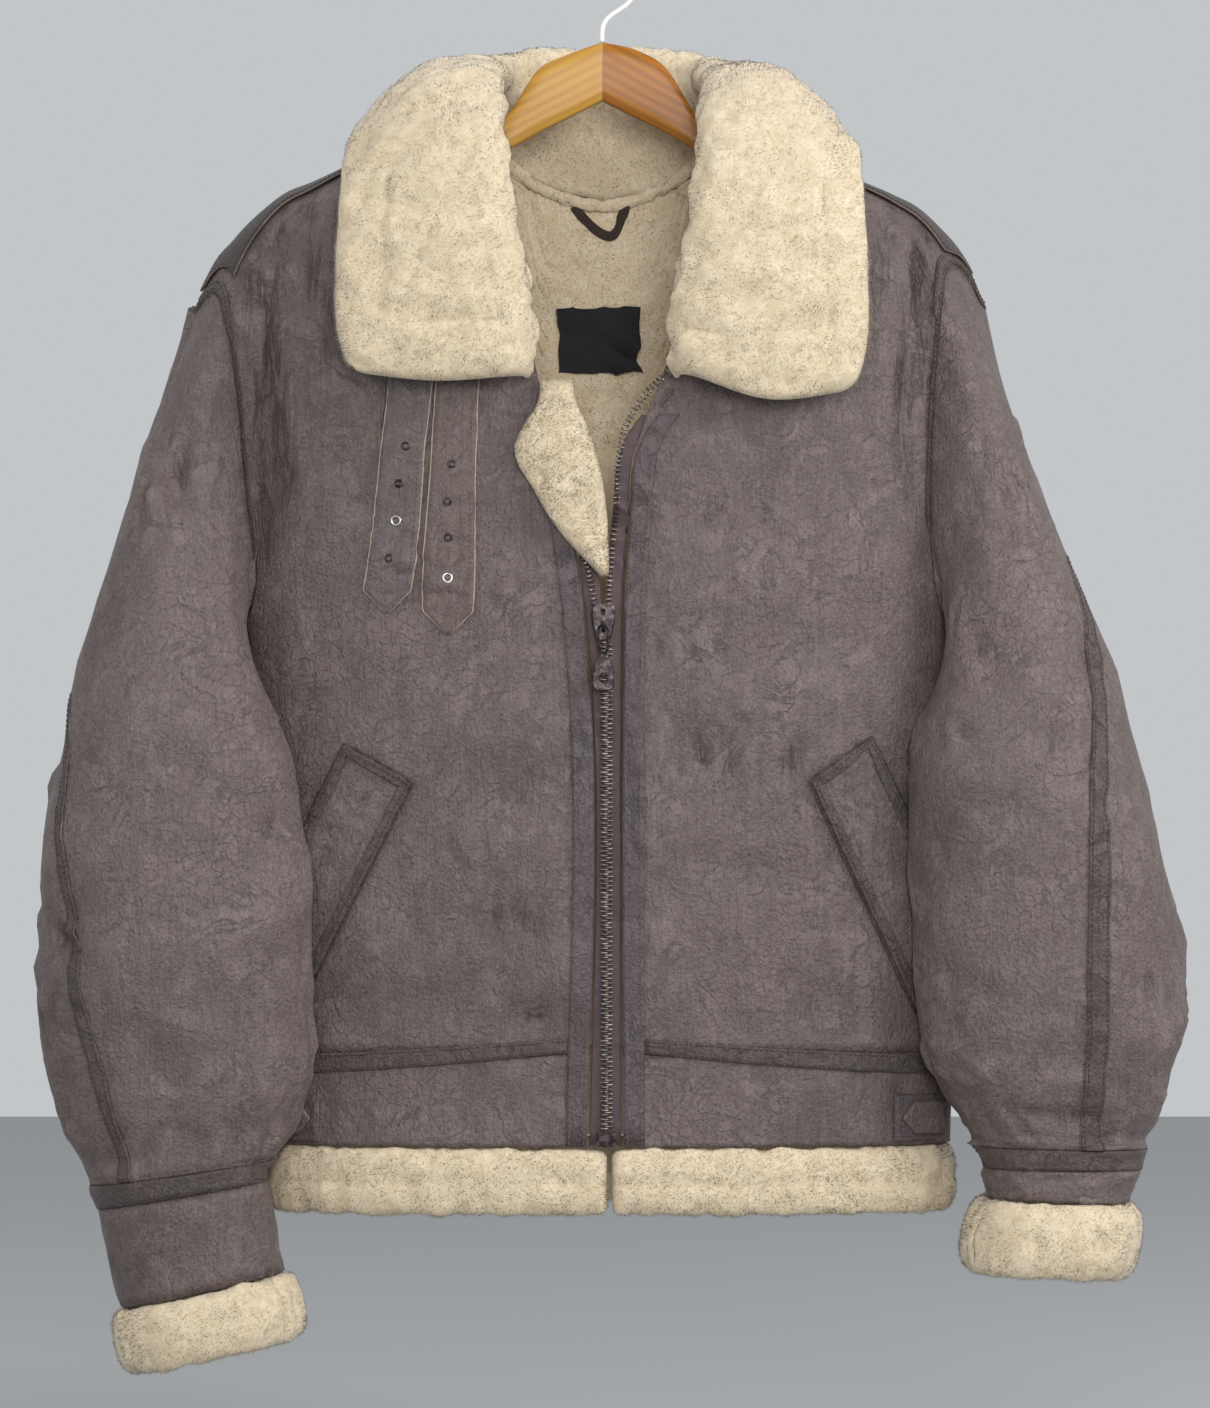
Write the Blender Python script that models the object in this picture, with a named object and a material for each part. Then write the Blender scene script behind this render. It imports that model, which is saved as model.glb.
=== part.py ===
"""Shearling coat hanging on a wooden hanger.

Metres, +Z up. The origin is the seat of the hanger's hook, the coat faces -Y and the viewer's right is +X.
Tables are in millimetres: "out" is the distance sideways from the middle plane, "drop" the distance below the
hook's seat, and "deep" the distance in front of (negative Y) or behind the shoulder line.
"""

import math

import bmesh
import bpy
import numpy as np

MM = 0.001
GAP = 0.3  # between two pieces that meet at a seam
ARMHOLE_GAP = 1.9
UNDERARM_GAP = 4.0  # more room in the armpit, where the sleeve folds down onto the body
UNDERARM_SPREAD = 0.8
RIDGE_GAP = 5.0
RIDGE_SPREAD = 0.35
TURNED_RINGS = 1.2  # the wall's direction turns from the seam's to the sleeve's own over these rings
LIFT = 0.5  # between a panel and what is sewn on it
SIDES = {"left": -1.0, "right": 1.0}

# Shearling: the leather skin is the outer face and the sheared wool the inner one.
HIDE = 8.0  # body and sleeves, skin and wool together
COLLAR_HIDE = 13.0
STRAP = 2.2  # two layers of garment leather
TAPE = 1.4  # a single folded leather tape

# Heights on the body, as drops below the hook's seat.
NECK_FRONT = 290.0
NECK_BACK = 168.0
NECK_OUT = 95.0  # the neck point on the shoulder line
SLIDER_DROP = 435.0
ARMPIT_LEVEL = 0.625
ARMPIT_DROP = 452.0
WAIST = 727.0
BAND_END = 787.0
HEM_END = 832.0
SHOULDER_ROLL = 58.0  # radius with which the shoulder rolls from front to back
TIP_SHARE = 0.938  # where the armhole crosses the shoulder line


class Table:
    """A short table with named columns, read smoothly between its rows; the first column is the place."""

    def __init__(self, columns, rows):
        names = columns.split()
        data = np.array(rows, float)
        self.place = data[:, 0]
        self.columns = {name: data[:, i + 1] for i, name in enumerate(names[1:])}

    def __call__(self, name, place):
        """A cubic through the rows, with each row's slope taken from its neighbours."""
        y = self.columns[name]
        slope = np.gradient(y, self.place)
        place = np.clip(place, self.place[0], self.place[-1])
        i = np.clip(np.searchsorted(self.place, place) - 1, 0, len(y) - 2)
        step = self.place[i + 1] - self.place[i]
        t = (place - self.place[i]) / step
        rise = (3 - 2 * t) * t * t
        return (
            y[i] * (1 - rise)
            + y[i + 1] * rise
            + step * slope[i] * t * (1 - t) ** 2
            - step * slope[i + 1] * t * t * (1 - t)
        )


# Half widths and half depths of the body at each height.
BODY = Table(
    "drop left right front back",
    [
        (60, 290, 268, 66, 62),
        (240, 290, 268, 66, 62),
        (300, 272, 256, 72, 66),
        (380, 254, 244, 77, 70),
        (458, 238, 236, 80, 72),
        (560, 236, 238, 80, 74),
        (660, 232, 236, 79, 73),
        (727, 226, 232, 76, 70),
        (787, 222, 229, 75, 69),
        (832, 222, 229, 75, 69),
    ],
)
# The shoulder line, from the neck to the sleeve head.
ROOF = Table(
    "out left right",
    [
        (0, 92, 92),
        (60, 103, 106),
        (95, 114, 118),
        (130, 128, 135),
        (165, 147, 156),
        (190, 159, 167),
        (207, 166, 176),
        (220, 176, 188),
        (232, 187, 201),
        (242, 198, 216),
        (250, 206, 232),
        (262, 224, 246),
        (272, 240, 256),
    ],
)
# How far out the armhole seam runs, as a share of the body's half width; the armpit is at the first row.
SCYE = Table(
    "level left right back",
    [
        (0.625, 1.0, 1.0, 1.0),
        (0.645, 0.983, 0.970, 0.985),
        (0.67, 0.955, 0.930, 0.960),
        (0.73, 0.915, 0.885, 0.920),
        (0.82, 0.900, 0.860, 0.905),
        (0.91, 0.880, 0.843, 0.890),
        (1.0, 0.855, 0.825, 0.870),
    ],
)
# The front edges: closed below the slider, and turned away from each other above it.
FRONT_EDGE = Table(
    "drop left right",
    [
        (240, -58, 66),
        (290, -42, 52),
        (330, -33, 25),
        (380, -20.5, 18),
        (430, -13, 14.5),
        (460, -10, 14),
        (832, -10, 14),
    ],
)
SECTION_POWER = 2.5  # roundness of the body's level sections: 2 is an ellipse
# Soft vertical troughs in the body: out and drop of the middle, half width, half height, depth.
BODY_FOLDS = {
    "left": [
        (207, 235, 16, 90, 7.0),
        (222, 330, 14, 130, 8.0),
        (180, 300, 20, 60, 3.0),
        (150, 690, 60, 20, 2.5),
        (95, 560, 70, 26, 2.0),
    ],
    "right": [
        (200, 225, 12, 80, 6.0),
        (214, 330, 14, 120, 8.0),
        (176, 330, 22, 60, 3.0),
        (120, 610, 70, 24, 2.5),
        (170, 700, 60, 18, 2.0),
    ],
}


def roof_drop(side, share):
    """Drop of the shoulder line above a point at this share of the half width."""
    return ROOF(side, share * BODY(side, np.full_like(share, 200.0)))


def body_drop(side, share, level):
    """Level 0 is the waist seam, 1 the foot of the shoulder's roll and 2 the shoulder line itself."""
    top = roof_drop(side, share)
    foot = top + SHOULDER_ROLL
    lower = WAIST + (foot - WAIST) * np.clip(level, None, 1)
    roll = np.clip(level - 1, 0, 1) * math.pi / 2
    return np.where(level > 1, top + SHOULDER_ROLL * (1 - np.sin(roll)), lower)


def body_level(side, share, drop):
    """The level at which the body reaches this drop; the other way round from body_drop."""
    top = roof_drop(side, share)
    foot = top + SHOULDER_ROLL
    roll = np.arcsin(np.clip(1 - (drop - top) / SHOULDER_ROLL, 0, 1)) / (math.pi / 2)
    return np.where(drop < foot, 1 + roll, (WAIST - drop) / (WAIST - foot))


def trough_depth(side, out, drop):
    """Depth of the soft troughs: each one is a bell across and along."""
    deep = np.zeros(np.broadcast(out, drop).shape)
    for middle, height, wide, tall, depth in BODY_FOLDS[side]:
        bell = ((out - middle) / wide) ** 2 + ((drop - height) / tall) ** 2
        deep = deep + depth * np.exp(-bell)
    return deep


def body_point(side, turn, level):
    """Outer face of the body.

    turn goes round a level section from the side seam: 90 degrees is the middle of the front and -90 degrees that
    of the back. The section is a squared ellipse, out = a |cos|^(2/n) and depth = b |sin|^(2/n). Over the
    shoulder its depth closes as a quarter circle, and past level 2 the surface comes down on the other face.
    """
    turn, level = np.broadcast_arrays(np.asarray(turn, float), np.asarray(level, float))
    over = level > 2
    turn = np.where(over, -turn, turn)
    level = np.where(over, 4 - level, level)
    share = np.abs(np.cos(turn)) ** (2 / SECTION_POWER)
    spread = np.abs(np.sin(turn)) ** (2 / SECTION_POWER)
    drop = body_drop(side, share, level)
    out = share * BODY(side, drop) * np.sign(np.cos(turn))
    closing = np.cos(np.clip(level - 1, 0, 1) * math.pi / 2)
    half = np.where(turn > 0, BODY("front", drop), BODY("back", drop))
    trough = trough_depth(side, np.abs(out), drop) * np.where(turn > 0, 1.0, 0.5)
    depth = (half - trough) * spread * closing
    return np.stack([SIDES[side] * out, -np.sign(turn) * depth, -drop], axis=-1)


def body_normal(side, turn, level):
    """Unit normal of body_point, from central differences, pointing out of the body."""
    turn_step = 0.01
    level_step = 0.01
    across = body_point(side, turn + turn_step, level) - body_point(side, turn - turn_step, level)
    along = body_point(side, turn, level + level_step) - body_point(side, turn, level - level_step)
    normal = np.cross(across, along) * -SIDES[side]
    return normal / np.linalg.norm(normal, axis=-1, keepdims=True)


def turn_of(share):
    return np.arccos(np.clip(share, 0, 1) ** (SECTION_POWER / 2))


def body_at(face, x, drop, lift=0.0):
    """Point of the front or back at a signed x and a drop, moved out along the normal by lift."""
    x, drop, lift = np.broadcast_arrays(np.asarray(x, float), np.asarray(drop, float), lift)
    points = np.zeros(x.shape + (3,))
    for side, sign in SIDES.items():
        share = np.abs(x) / BODY(side, drop)
        turn = turn_of(share) * (1 if face == "front" else -1)
        level = body_level(side, np.clip(share, 0, 1), drop)
        found = body_point(side, turn, level) + body_normal(side, turn, level) * lift[..., None]
        chosen = (x * sign > 0) | ((x == 0) & (sign > 0))
        points = np.where(chosen[..., None], found, points)
    return points


# ---------------------------------------------------------------------------------------------------------------
# Meshes


def material(name, colour, roughness, metallic=0.0):
    made = bpy.data.materials.get(name)
    if made is None:
        made = bpy.data.materials.new(name)
        made.use_nodes = True
        shader = made.node_tree.nodes["Principled BSDF"]
        shader.inputs["Base Color"].default_value = (*colour, 1.0)
        shader.inputs["Roughness"].default_value = roughness
        shader.inputs["Metallic"].default_value = metallic
    return made


MATERIALS = {
    "leather": ((0.155, 0.118, 0.112), 0.55, 0.0),
    "leather_dark": ((0.075, 0.052, 0.052), 0.5, 0.0),
    "shearling": ((0.62, 0.52, 0.37), 0.95, 0.0),
    "zip_tape": ((0.11, 0.07, 0.075), 0.8, 0.0),
    "gunmetal": ((0.16, 0.15, 0.15), 0.35, 1.0),
    "white_wire": ((0.8, 0.8, 0.78), 0.35, 0.0),
    "wood_light": ((0.62, 0.40, 0.17), 0.4, 0.0),
    "wood_dark": ((0.44, 0.22, 0.07), 0.4, 0.0),
    "loop_cloth": ((0.03, 0.018, 0.012), 0.8, 0.0),
    "label_cloth": ((0.02, 0.02, 0.022), 0.8, 0.0),
}


def add_object(name, mesh, finish):
    mesh.materials.append(material(finish, *MATERIALS[finish]))
    obj = bpy.data.objects.new(name, mesh)
    bpy.data.collections["shearling_coat"].objects.link(obj)
    mesh.shade_smooth()
    mesh.set_sharp_from_angle(angle=math.radians(40))
    return obj


def solid(name, points, faces, finish):
    """A closed mesh from points in millimetres, with its faces turned outwards."""
    mesh = bpy.data.meshes.new(name)
    mesh.from_pydata((points * MM).tolist(), [], [list(map(int, face)) for face in faces])
    shape = bmesh.new()
    shape.from_mesh(mesh)
    bmesh.ops.recalc_face_normals(shape, faces=shape.faces)
    shape.to_mesh(mesh)
    shape.free()
    return add_object(name, mesh, finish)


def quads(rows, columns, round_columns=False, start=0):
    """Faces of a grid whose points are numbered row by row from start."""
    across = columns if round_columns else columns - 1
    i, j = np.meshgrid(np.arange(rows - 1), np.arange(across), indexing="ij")
    after = (j + 1) % columns
    corners = [i * columns + j, i * columns + after, (i + 1) * columns + after, (i + 1) * columns + j]
    return np.stack(corners, axis=-1).reshape(-1, 4) + start


def wall(name, outer, inner, finish, round_columns=False):
    """A wall between two grids of the same shape (rows, columns, 3), closed along every open edge."""
    rows, columns = outer.shape[:2]
    count = rows * columns
    faces = [quads(rows, columns, round_columns), quads(rows, columns, round_columns, count)]
    number = np.arange(count).reshape(rows, columns)
    edges = [number[0], number[-1]]
    if not round_columns:
        edges += [number[:, 0], number[:, -1]]
    for edge in edges:
        after = np.roll(edge, -1) if round_columns else edge[1:]
        edge = edge if round_columns else edge[:-1]
        faces.append(np.stack([edge, after, after + count, edge + count], axis=-1))
    points = np.concatenate([outer.reshape(-1, 3), inner.reshape(-1, 3)])
    return solid(name, points, np.concatenate(faces), finish)


def drawn_in(grid, edges, by=GAP / 2):
    """Moves the named edges of a grid back along its own rows or columns, to leave the gap at a seam."""
    grid = grid.copy()
    ends = {"first_row": (0, 1), "last_row": (-1, -2)}
    sides = {"first_column": (0, 1), "last_column": (-1, -2)}
    for edge in edges:
        if edge in ends:
            at, near = ends[edge]
            step = grid[near] - grid[at]
            grid[at] += step / np.linalg.norm(step, axis=-1, keepdims=True) * by
        else:
            at, near = sides[edge]
            step = grid[:, near] - grid[:, at]
            grid[:, at] += step / np.linalg.norm(step, axis=-1, keepdims=True) * by
    return grid


def sweep(name, loops, finish, closed=False):
    """A skin over a row of closed loops (stations, points, 3), with flat ends unless the row itself is closed."""
    stations, count = loops.shape[:2]
    faces = list(quads(stations, count, round_columns=True))
    if closed:
        last = (stations - 1) * count
        j = np.arange(count)
        after = (j + 1) % count
        faces += list(np.stack([last + j, last + after, after, j], axis=-1))
    else:
        faces += [list(range(count)), list(range((stations - 1) * count, stations * count))]
    return solid(name, loops.reshape(-1, 3), faces, finish)


# ---------------------------------------------------------------------------------------------------------------
# Body

ABOVE_ARMPIT = ARMPIT_LEVEL + (1 - ARMPIT_LEVEL) * np.linspace(0, 1, 8)[1:] ** 1.5
LOWER_LEVELS = np.concatenate([np.linspace(0, ARMPIT_LEVEL, 7), ABOVE_ARMPIT])
ROLL_LEVELS = np.linspace(1, 2, 6)[1:]
LEVELS = np.concatenate([LOWER_LEVELS, ROLL_LEVELS])
FAN_ROW = 5  # rows run level up to this one, and fan out from there to the neckline and the shoulder
NECK_PART = 0.145  # the column that ends at the neck point
FRONT_COLUMNS = np.concatenate([[0, 0.04, 0.08, 0.115, NECK_PART], np.linspace(0.2, 1, 9)])
BACK_COLUMNS = np.concatenate([[0, 0.07, 0.15, 0.21], np.linspace(0.31, 1, 8)])


def scye_share(side, face, level):
    """Share of the half width at the armhole seam: 1 below the armpit, and out to 1 again on the shoulder line."""
    column = side if face == "front" else "back"
    inner = np.where(level < ARMPIT_LEVEL, 1.0, SCYE(column, np.clip(level, ARMPIT_LEVEL, 1)))
    roll = np.sin(np.clip(level - 1, 0, 1) * math.pi / 2)
    return inner + (TIP_SHARE - inner) * roll**6


def neckline_drop(side, face, out):
    """The neckline falls from the neck point on the shoulder line to the middle of the front or back."""
    start = FRONT_EDGE(side, np.array(NECK_FRONT)) * SIDES[side] if face == "front" else 0.0
    lowest = NECK_FRONT if face == "front" else NECK_BACK
    ridge = ROOF(side, np.array(NECK_OUT))
    along = np.clip((out - start) / (NECK_OUT - start), 0, 1)
    return lowest - (lowest - ridge) * (along**0.8 if face == "front" else along**2)


def middle_drops(side):
    """Drops of the rows at the middle edge: level up to the fan row, then evenly spread up to the neck."""
    fan_drop = float(body_drop(side, np.array(0.05), LEVELS[FAN_ROW]))
    lower = WAIST + (fan_drop - WAIST) * LEVELS[:FAN_ROW] / LEVELS[FAN_ROW]
    return np.concatenate([lower, np.linspace(fan_drop, NECK_FRONT, len(LEVELS) - FAN_ROW)])


def panel_parameters(side, face):
    """Turns and levels of a panel's grid, from the waist up and from the middle to the side."""
    columns = FRONT_COLUMNS if face == "front" else BACK_COLUMNS
    part = columns[None, :]
    drop = middle_drops(side)
    start = np.abs(FRONT_EDGE(side, drop)) if face == "front" else 0 * drop
    middle_turn = turn_of(start / BODY(side, drop))[:, None]
    side_turn = turn_of(scye_share(side, face, LEVELS))[:, None]
    neck_turn = middle_turn[-1]
    turn = neck_turn + (side_turn - neck_turn) * part
    turn = turn + (middle_turn - neck_turn) * np.clip(1 - part / NECK_PART, 0, 1) ** 1.5
    top_share = np.cos(turn[-1]) ** (2 / SECTION_POWER)
    top_out = top_share * BODY(side, np.full_like(top_share, 200.0))
    for _ in range(3):
        top_out = top_share * BODY(side, neckline_drop(side, face, top_out))
        top_out[0] = start[-1]
    top = np.where(top_out < NECK_OUT, body_level(side, top_share, neckline_drop(side, face, top_out)), 2.0)
    fan = np.clip(np.arange(len(LEVELS)) - FAN_ROW, 0, None)[:, None] / (len(LEVELS) - 1 - FAN_ROW)
    rise = np.clip(LEVELS - LEVELS[FAN_ROW], 0, None)[:, None] / (2 - LEVELS[FAN_ROW])
    way = rise * part + fan * (1 - part)
    return turn, np.minimum(LEVELS, LEVELS[FAN_ROW])[:, None] + (top - LEVELS[FAN_ROW]) * way


def panel_grids(side, face):
    turn, level = panel_parameters(side, face)
    if face == "back":
        turn = -turn
    outer = body_point(side, turn, level)
    normal = body_normal(side, turn, level)
    inner = outer - normal * HIDE
    if face == "front":
        inner[..., 1] = np.minimum(inner[..., 1], -GAP / 2)
    else:
        inner[..., 1] = np.maximum(inner[..., 1], GAP / 2)
    return outer, inner, normal


def armhole(side):
    """The armhole seam once round: ridge, front, armpit, back. Points, inner points and shares of the way."""
    armpit = int(np.argmin(np.abs(LEVELS - ARMPIT_LEVEL)))
    front, front_in, _ = panel_grids(side, "front")
    back, back_in, _ = panel_grids(side, "back")
    down = slice(len(LEVELS) - 1, armpit, -1)
    up = slice(armpit, len(LEVELS) - 1)
    outer = np.concatenate([front[down, -1], back[up, -1]])
    inner = np.concatenate([front_in[down, -1], back_in[up, -1]])
    away = outer - np.concatenate([front[down, -2], back[up, -2]])
    away /= np.linalg.norm(away, axis=-1, keepdims=True)
    away[0] = [SIDES[side], 0, 0]
    length = np.linalg.norm(np.roll(outer, -1, axis=0) - outer, axis=1)
    half = len(LEVELS) - 1 - armpit
    turn = np.zeros(len(outer))
    turn[: half + 1] = np.concatenate([[0], np.cumsum(length[:half])]) / length[:half].sum() * math.pi
    rest = np.cumsum(length[half:]) / length[half:].sum() * math.pi
    turn[half + 1 :] = math.pi + rest[:-1]
    underarm = np.exp(-(((turn - math.pi) / UNDERARM_SPREAD) ** 2))
    ridge = np.exp(-((np.sin(turn / 2) / RIDGE_SPREAD) ** 2))
    away *= (ARMHOLE_GAP + UNDERARM_GAP * underarm + RIDGE_GAP * ridge)[:, None]
    upward = np.array([SIDES[side] * 0.6, 0, 0.8])
    inward = (inner - outer) * (1 - underarm[:, None]) + HIDE * upward * underarm[:, None]
    inward *= HIDE / np.linalg.norm(inward, axis=-1, keepdims=True)
    return outer + away, outer + away + inward, turn


def build_panels():
    for side in SIDES:
        outer, inner, _ = panel_grids(side, "front")
        seams = ["first_row", "last_row", "last_column"]
        wall(f"front_{side}", drawn_in(outer, seams), drawn_in(inner, seams), "leather")
    left, left_in, _ = panel_grids("left", "back")
    right, right_in, _ = panel_grids("right", "back")
    outer = np.concatenate([left[:, ::-1], right[:, 1:]], axis=1)
    inner = np.concatenate([left_in[:, ::-1], right_in[:, 1:]], axis=1)
    seams = ["first_row", "last_row", "first_column", "last_column"]
    wall("back", drawn_in(outer, seams), drawn_in(inner, seams), "leather")


def band_grids(face, side, drops):
    """Rows of the body's own surface at level drops, from the middle to the side."""
    columns = FRONT_COLUMNS if face == "front" else BACK_COLUMNS
    start = np.abs(FRONT_EDGE(side, drops)) if face == "front" else np.zeros(len(drops))
    middle = turn_of(start / BODY(side, drops))[:, None]
    turn = middle * (1 - columns)
    if face == "back":
        turn = -turn
    share = np.abs(np.cos(turn)) ** (2 / SECTION_POWER)
    level = body_level(side, share, drops[:, None] * np.ones_like(share))
    outer = body_point(side, turn, level)
    return outer, body_normal(side, turn, level)


def build_waistband():
    drops = np.array([WAIST, WAIST + 30, BAND_END])
    for side in SIDES:
        outer, normal = band_grids("front", side, drops)
        seams = ["first_row", "last_column"]
        inner = outer - normal * HIDE
        wall(f"waistband_{side}", drawn_in(outer, seams), drawn_in(inner, seams), "leather")
    left, left_normal = band_grids("back", "left", drops)
    right, right_normal = band_grids("back", "right", drops)
    outer = np.concatenate([left[:, ::-1], right[:, 1:]], axis=1)
    normal = np.concatenate([left_normal[:, ::-1], right_normal[:, 1:]], axis=1)
    seams = ["first_row", "first_column", "last_column"]
    inner = outer - normal * HIDE
    wall("waistband_back", drawn_in(outer, seams), drawn_in(inner, seams), "leather")


def round_profile(count, power=2.6):
    """A squared circle of unit half width, as (across, along) pairs."""
    turn = np.arange(count) / count * 2 * math.pi
    across, along = np.cos(turn), np.sin(turn)
    return (
        np.sign(across) * np.abs(across) ** (2 / power),
        np.sign(along) * np.abs(along) ** (2 / power),
    )


HEM_PROUD = 5.0  # the turned hem stands this far out of the leather
HEM_THICK = 19.0
HEM_MEET = {"left": 3.3, "right": 6.6}  # x at which the two front rolls meet under the zip


def hem_roll(name, path, normal):
    """The hem's wool, turned up as a soft roll: a squared circle carried along the foot of the waistband."""
    across, along = round_profile(10)
    along = along / along.max()
    middle = path + normal * (HEM_PROUD - HEM_THICK / 2)
    tall = (HEM_END - BAND_END) / 2 - GAP
    loops = middle[:, None] + normal[:, None] * (across * HEM_THICK / 2)[None, :, None]
    loops[..., 2] = -(BAND_END + HEM_END) / 2 - GAP + (along * tall)[None, :]
    sweep(name, loops, "shearling")


def build_hem():
    drops = np.array([(BAND_END + HEM_END) / 2])
    for side in SIDES:
        outer, normal = band_grids("front", side, drops)
        outer, normal = outer[0], normal[0]
        normal[..., 2] = 0
        normal /= np.linalg.norm(normal, axis=-1, keepdims=True)
        outer[0, 0] = HEM_MEET[side]
        hem_roll(f"hem_wool_{side}", drawn_in(outer[None], ["last_column"])[0], normal)
    left, left_normal = band_grids("back", "left", drops)
    right, right_normal = band_grids("back", "right", drops)
    outer = np.concatenate([left[0, ::-1], right[0, 1:]])
    normal = np.concatenate([left_normal[0, ::-1], right_normal[0, 1:]])
    normal[..., 2] = 0
    normal /= np.linalg.norm(normal, axis=-1, keepdims=True)
    outer = drawn_in(outer[None], ["first_column", "last_column"])[0]
    hem_roll("hem_wool_back", outer, normal)


# ---------------------------------------------------------------------------------------------------------------
# Sleeves

# Each ring of a sleeve passes through a point of its outer outline and one of its inner outline.
SLEEVE_LEFT = Table(
    "ring outer outer_drop inner inner_drop half_deep deep",
    [
        (0, 270, 240, 238, 458, 44, 0),
        (1, 279, 272, 236, 472, 52, -8),
        (2, 293, 314, 226, 486, 57, -16),
        (3, 308, 356, 214, 502, 60, -24),
        (4, 330, 432, 202, 524, 62, -32),
        (5, 350, 510, 194, 550, 62, -38),
        (6, 360, 564, 188, 584, 62, -41),
        (7, 366, 630, 184, 638, 61, -43),
        (8, 368, 685, 184, 694, 60, -44),
        (9, 361, 745, 189, 746, 57, -45),
        (10, 350, 778, 198, 774, 53, -45),
        (11, 338, 800, 209, 792, 50, -45),
        (12, 334, 813, 214, 796, 50, -45),
        (13, 329, 828, 216, 809, 50, -45),
        (14, 321, 862, 212, 840, 50, -45),
        (15, 314, 892, 206, 868, 51, -45),
    ],
)
SLEEVE_RIGHT = Table(
    "ring outer outer_drop inner inner_drop half_deep deep",
    [
        (0, 252, 256, 236, 458, 44, 0),
        (1, 262, 292, 232, 472, 52, -8),
        (2, 278, 338, 222, 486, 57, -17),
        (3, 300, 388, 210, 502, 60, -26),
        (4, 322, 448, 198, 522, 63, -34),
        (5, 345, 512, 195, 550, 63, -39),
        (6, 362, 580, 196, 592, 63, -42),
        (7, 376, 655, 199, 655, 62, -43),
        (8, 378, 705, 204, 702, 60, -44),
        (9, 371, 742, 214, 740, 57, -44),
        (10, 361, 770, 229, 764, 54, -44),
        (11, 355, 782, 239, 779, 51, -44),
        (12, 354, 789, 243, 787, 50, -44),
        (13, 351, 802, 248, 801, 50, -44),
        (14, 348, 813, 249, 810, 50, -44),
        (15, 344, 824, 250, 820, 50, -44),
    ],
)
SLEEVES = {"left": SLEEVE_LEFT, "right": SLEEVE_RIGHT}
BAND_RING = 12.0
CUFF_RING = 13.0
CUFF_END_RING = 15.0
SLEEVE_RINGS = np.array([0, 0.5, 1, 1.75, 2.5, 3.25, 4, 5, 6, 7, 7.75, 8.5, 9.25, 10, 11, 12])
ALL_RINGS = np.append(SLEEVE_RINGS, [CUFF_RING, (CUFF_RING + CUFF_END_RING) / 2, CUFF_END_RING])
HEAD_RINGS = 4.0  # the armhole's own shape fades into round rings over this many rings
BODY_CLEAR = 7.2
SLEEVE_POWER = 2.5  # roundness of the sleeve's rings
# Soft folds of the sleeves: ring and turn (degrees) of the middle, half length, half width, depth.
SLEEVE_FOLDS = {
    "left": [
        (2.2, 55, 1.2, 16, 6.0),
        (2.6, 95, 1.4, 15, 5.0),
        (5.6, 120, 0.7, 40, 3.0),
        (9.8, 60, 1.0, 9, 4.0),
        (10.2, 118, 1.1, 8, 5.0),
        (10.4, 240, 1.1, 12, 4.5),
        (6.4, 255, 0.8, 35, 4.0),
        (2.2, 300, 1.2, 20, 4.0),
    ],
    "right": [
        (2.2, 60, 1.1, 15, 5.0),
        (2.6, 100, 1.4, 15, 5.0),
        (6.0, 110, 0.6, 45, 2.5),
        (10.4, 62, 1.2, 9, 5.0),
        (10.4, 135, 1.1, 9, 5.0),
        (10.3, 245, 1.1, 12, 4.5),
        (6.0, 250, 0.9, 35, 4.0),
        (2.4, 295, 1.2, 20, 4.0),
    ],
}


def sleeve_ring(side, turn, ring):
    """Round rings: centre + cos(turn) towards the outer outline + sin(turn) forwards."""
    table = SLEEVES[side]
    outer = np.stack([table("outer", ring), 0 * ring, -table("outer_drop", ring)], axis=-1)
    inner = np.stack([table("inner", ring), 0 * ring, -table("inner_drop", ring)], axis=-1)
    middle = (outer + inner) / 2
    reach = (outer - inner) / 2
    fold = np.zeros(np.broadcast(turn, ring).shape)
    degrees = np.degrees(turn)
    for at, angle, long, wide, depth in SLEEVE_FOLDS[side]:
        away = (degrees - angle + 180) % 360 - 180
        fold = fold + depth * np.exp(-(((ring - at) / long) ** 2) - (away / wide) ** 2)
    shrink = 1 - fold / 60.0
    outward = np.sign(np.cos(turn)) * np.abs(np.cos(turn)) ** (2 / SLEEVE_POWER)
    forward = np.sign(np.sin(turn)) * np.abs(np.sin(turn)) ** (2 / SLEEVE_POWER)
    points = middle + reach * (outward * shrink)[..., None]
    points[..., 1] = table("deep", ring) - table("half_deep", ring) * forward * shrink
    points[..., 0] *= SIDES[side]
    return points


def outside_body(side, points, centre):
    """Draws points that come nearer to the body than BODY_CLEAR towards the sleeve's own centre line."""
    drop = -points[..., 2]
    level = body_level(side, np.full_like(drop, 0.9), drop)
    seam = SCYE(side, np.clip(level, ARMPIT_LEVEL, 1)) * BODY(side, drop)
    low = np.zeros_like(drop)
    high = np.ones_like(drop)

    def clear(share_kept):
        moved = centre + (points - centre) * share_kept[..., None]
        half = np.where(moved[..., 1] < 0, BODY("front", drop), BODY("back", drop)) + BODY_CLEAR
        wide = BODY(side, drop) + BODY_CLEAR
        beside_hem = np.where(drop > BAND_END - BODY_CLEAR, HEM_PROUD, 0)
        half, wide = half + beside_hem, wide + beside_hem
        out = np.clip(moved[..., 0] * SIDES[side], 0, None)
        apart = (out / wide) ** SECTION_POWER + (np.abs(moved[..., 1]) / half) ** SECTION_POWER > 1
        return apart | ((drop < ARMPIT_DROP) & (out > seam + BODY_CLEAR / 2))

    whole = clear(high)
    for _ in range(18):
        middle = (low + high) / 2
        good = clear(middle)
        low = np.where(good, middle, low)
        high = np.where(good, high, middle)
    kept = np.where(whole, 1.0, low)
    return centre + (points - centre) * kept[..., None]


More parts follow.
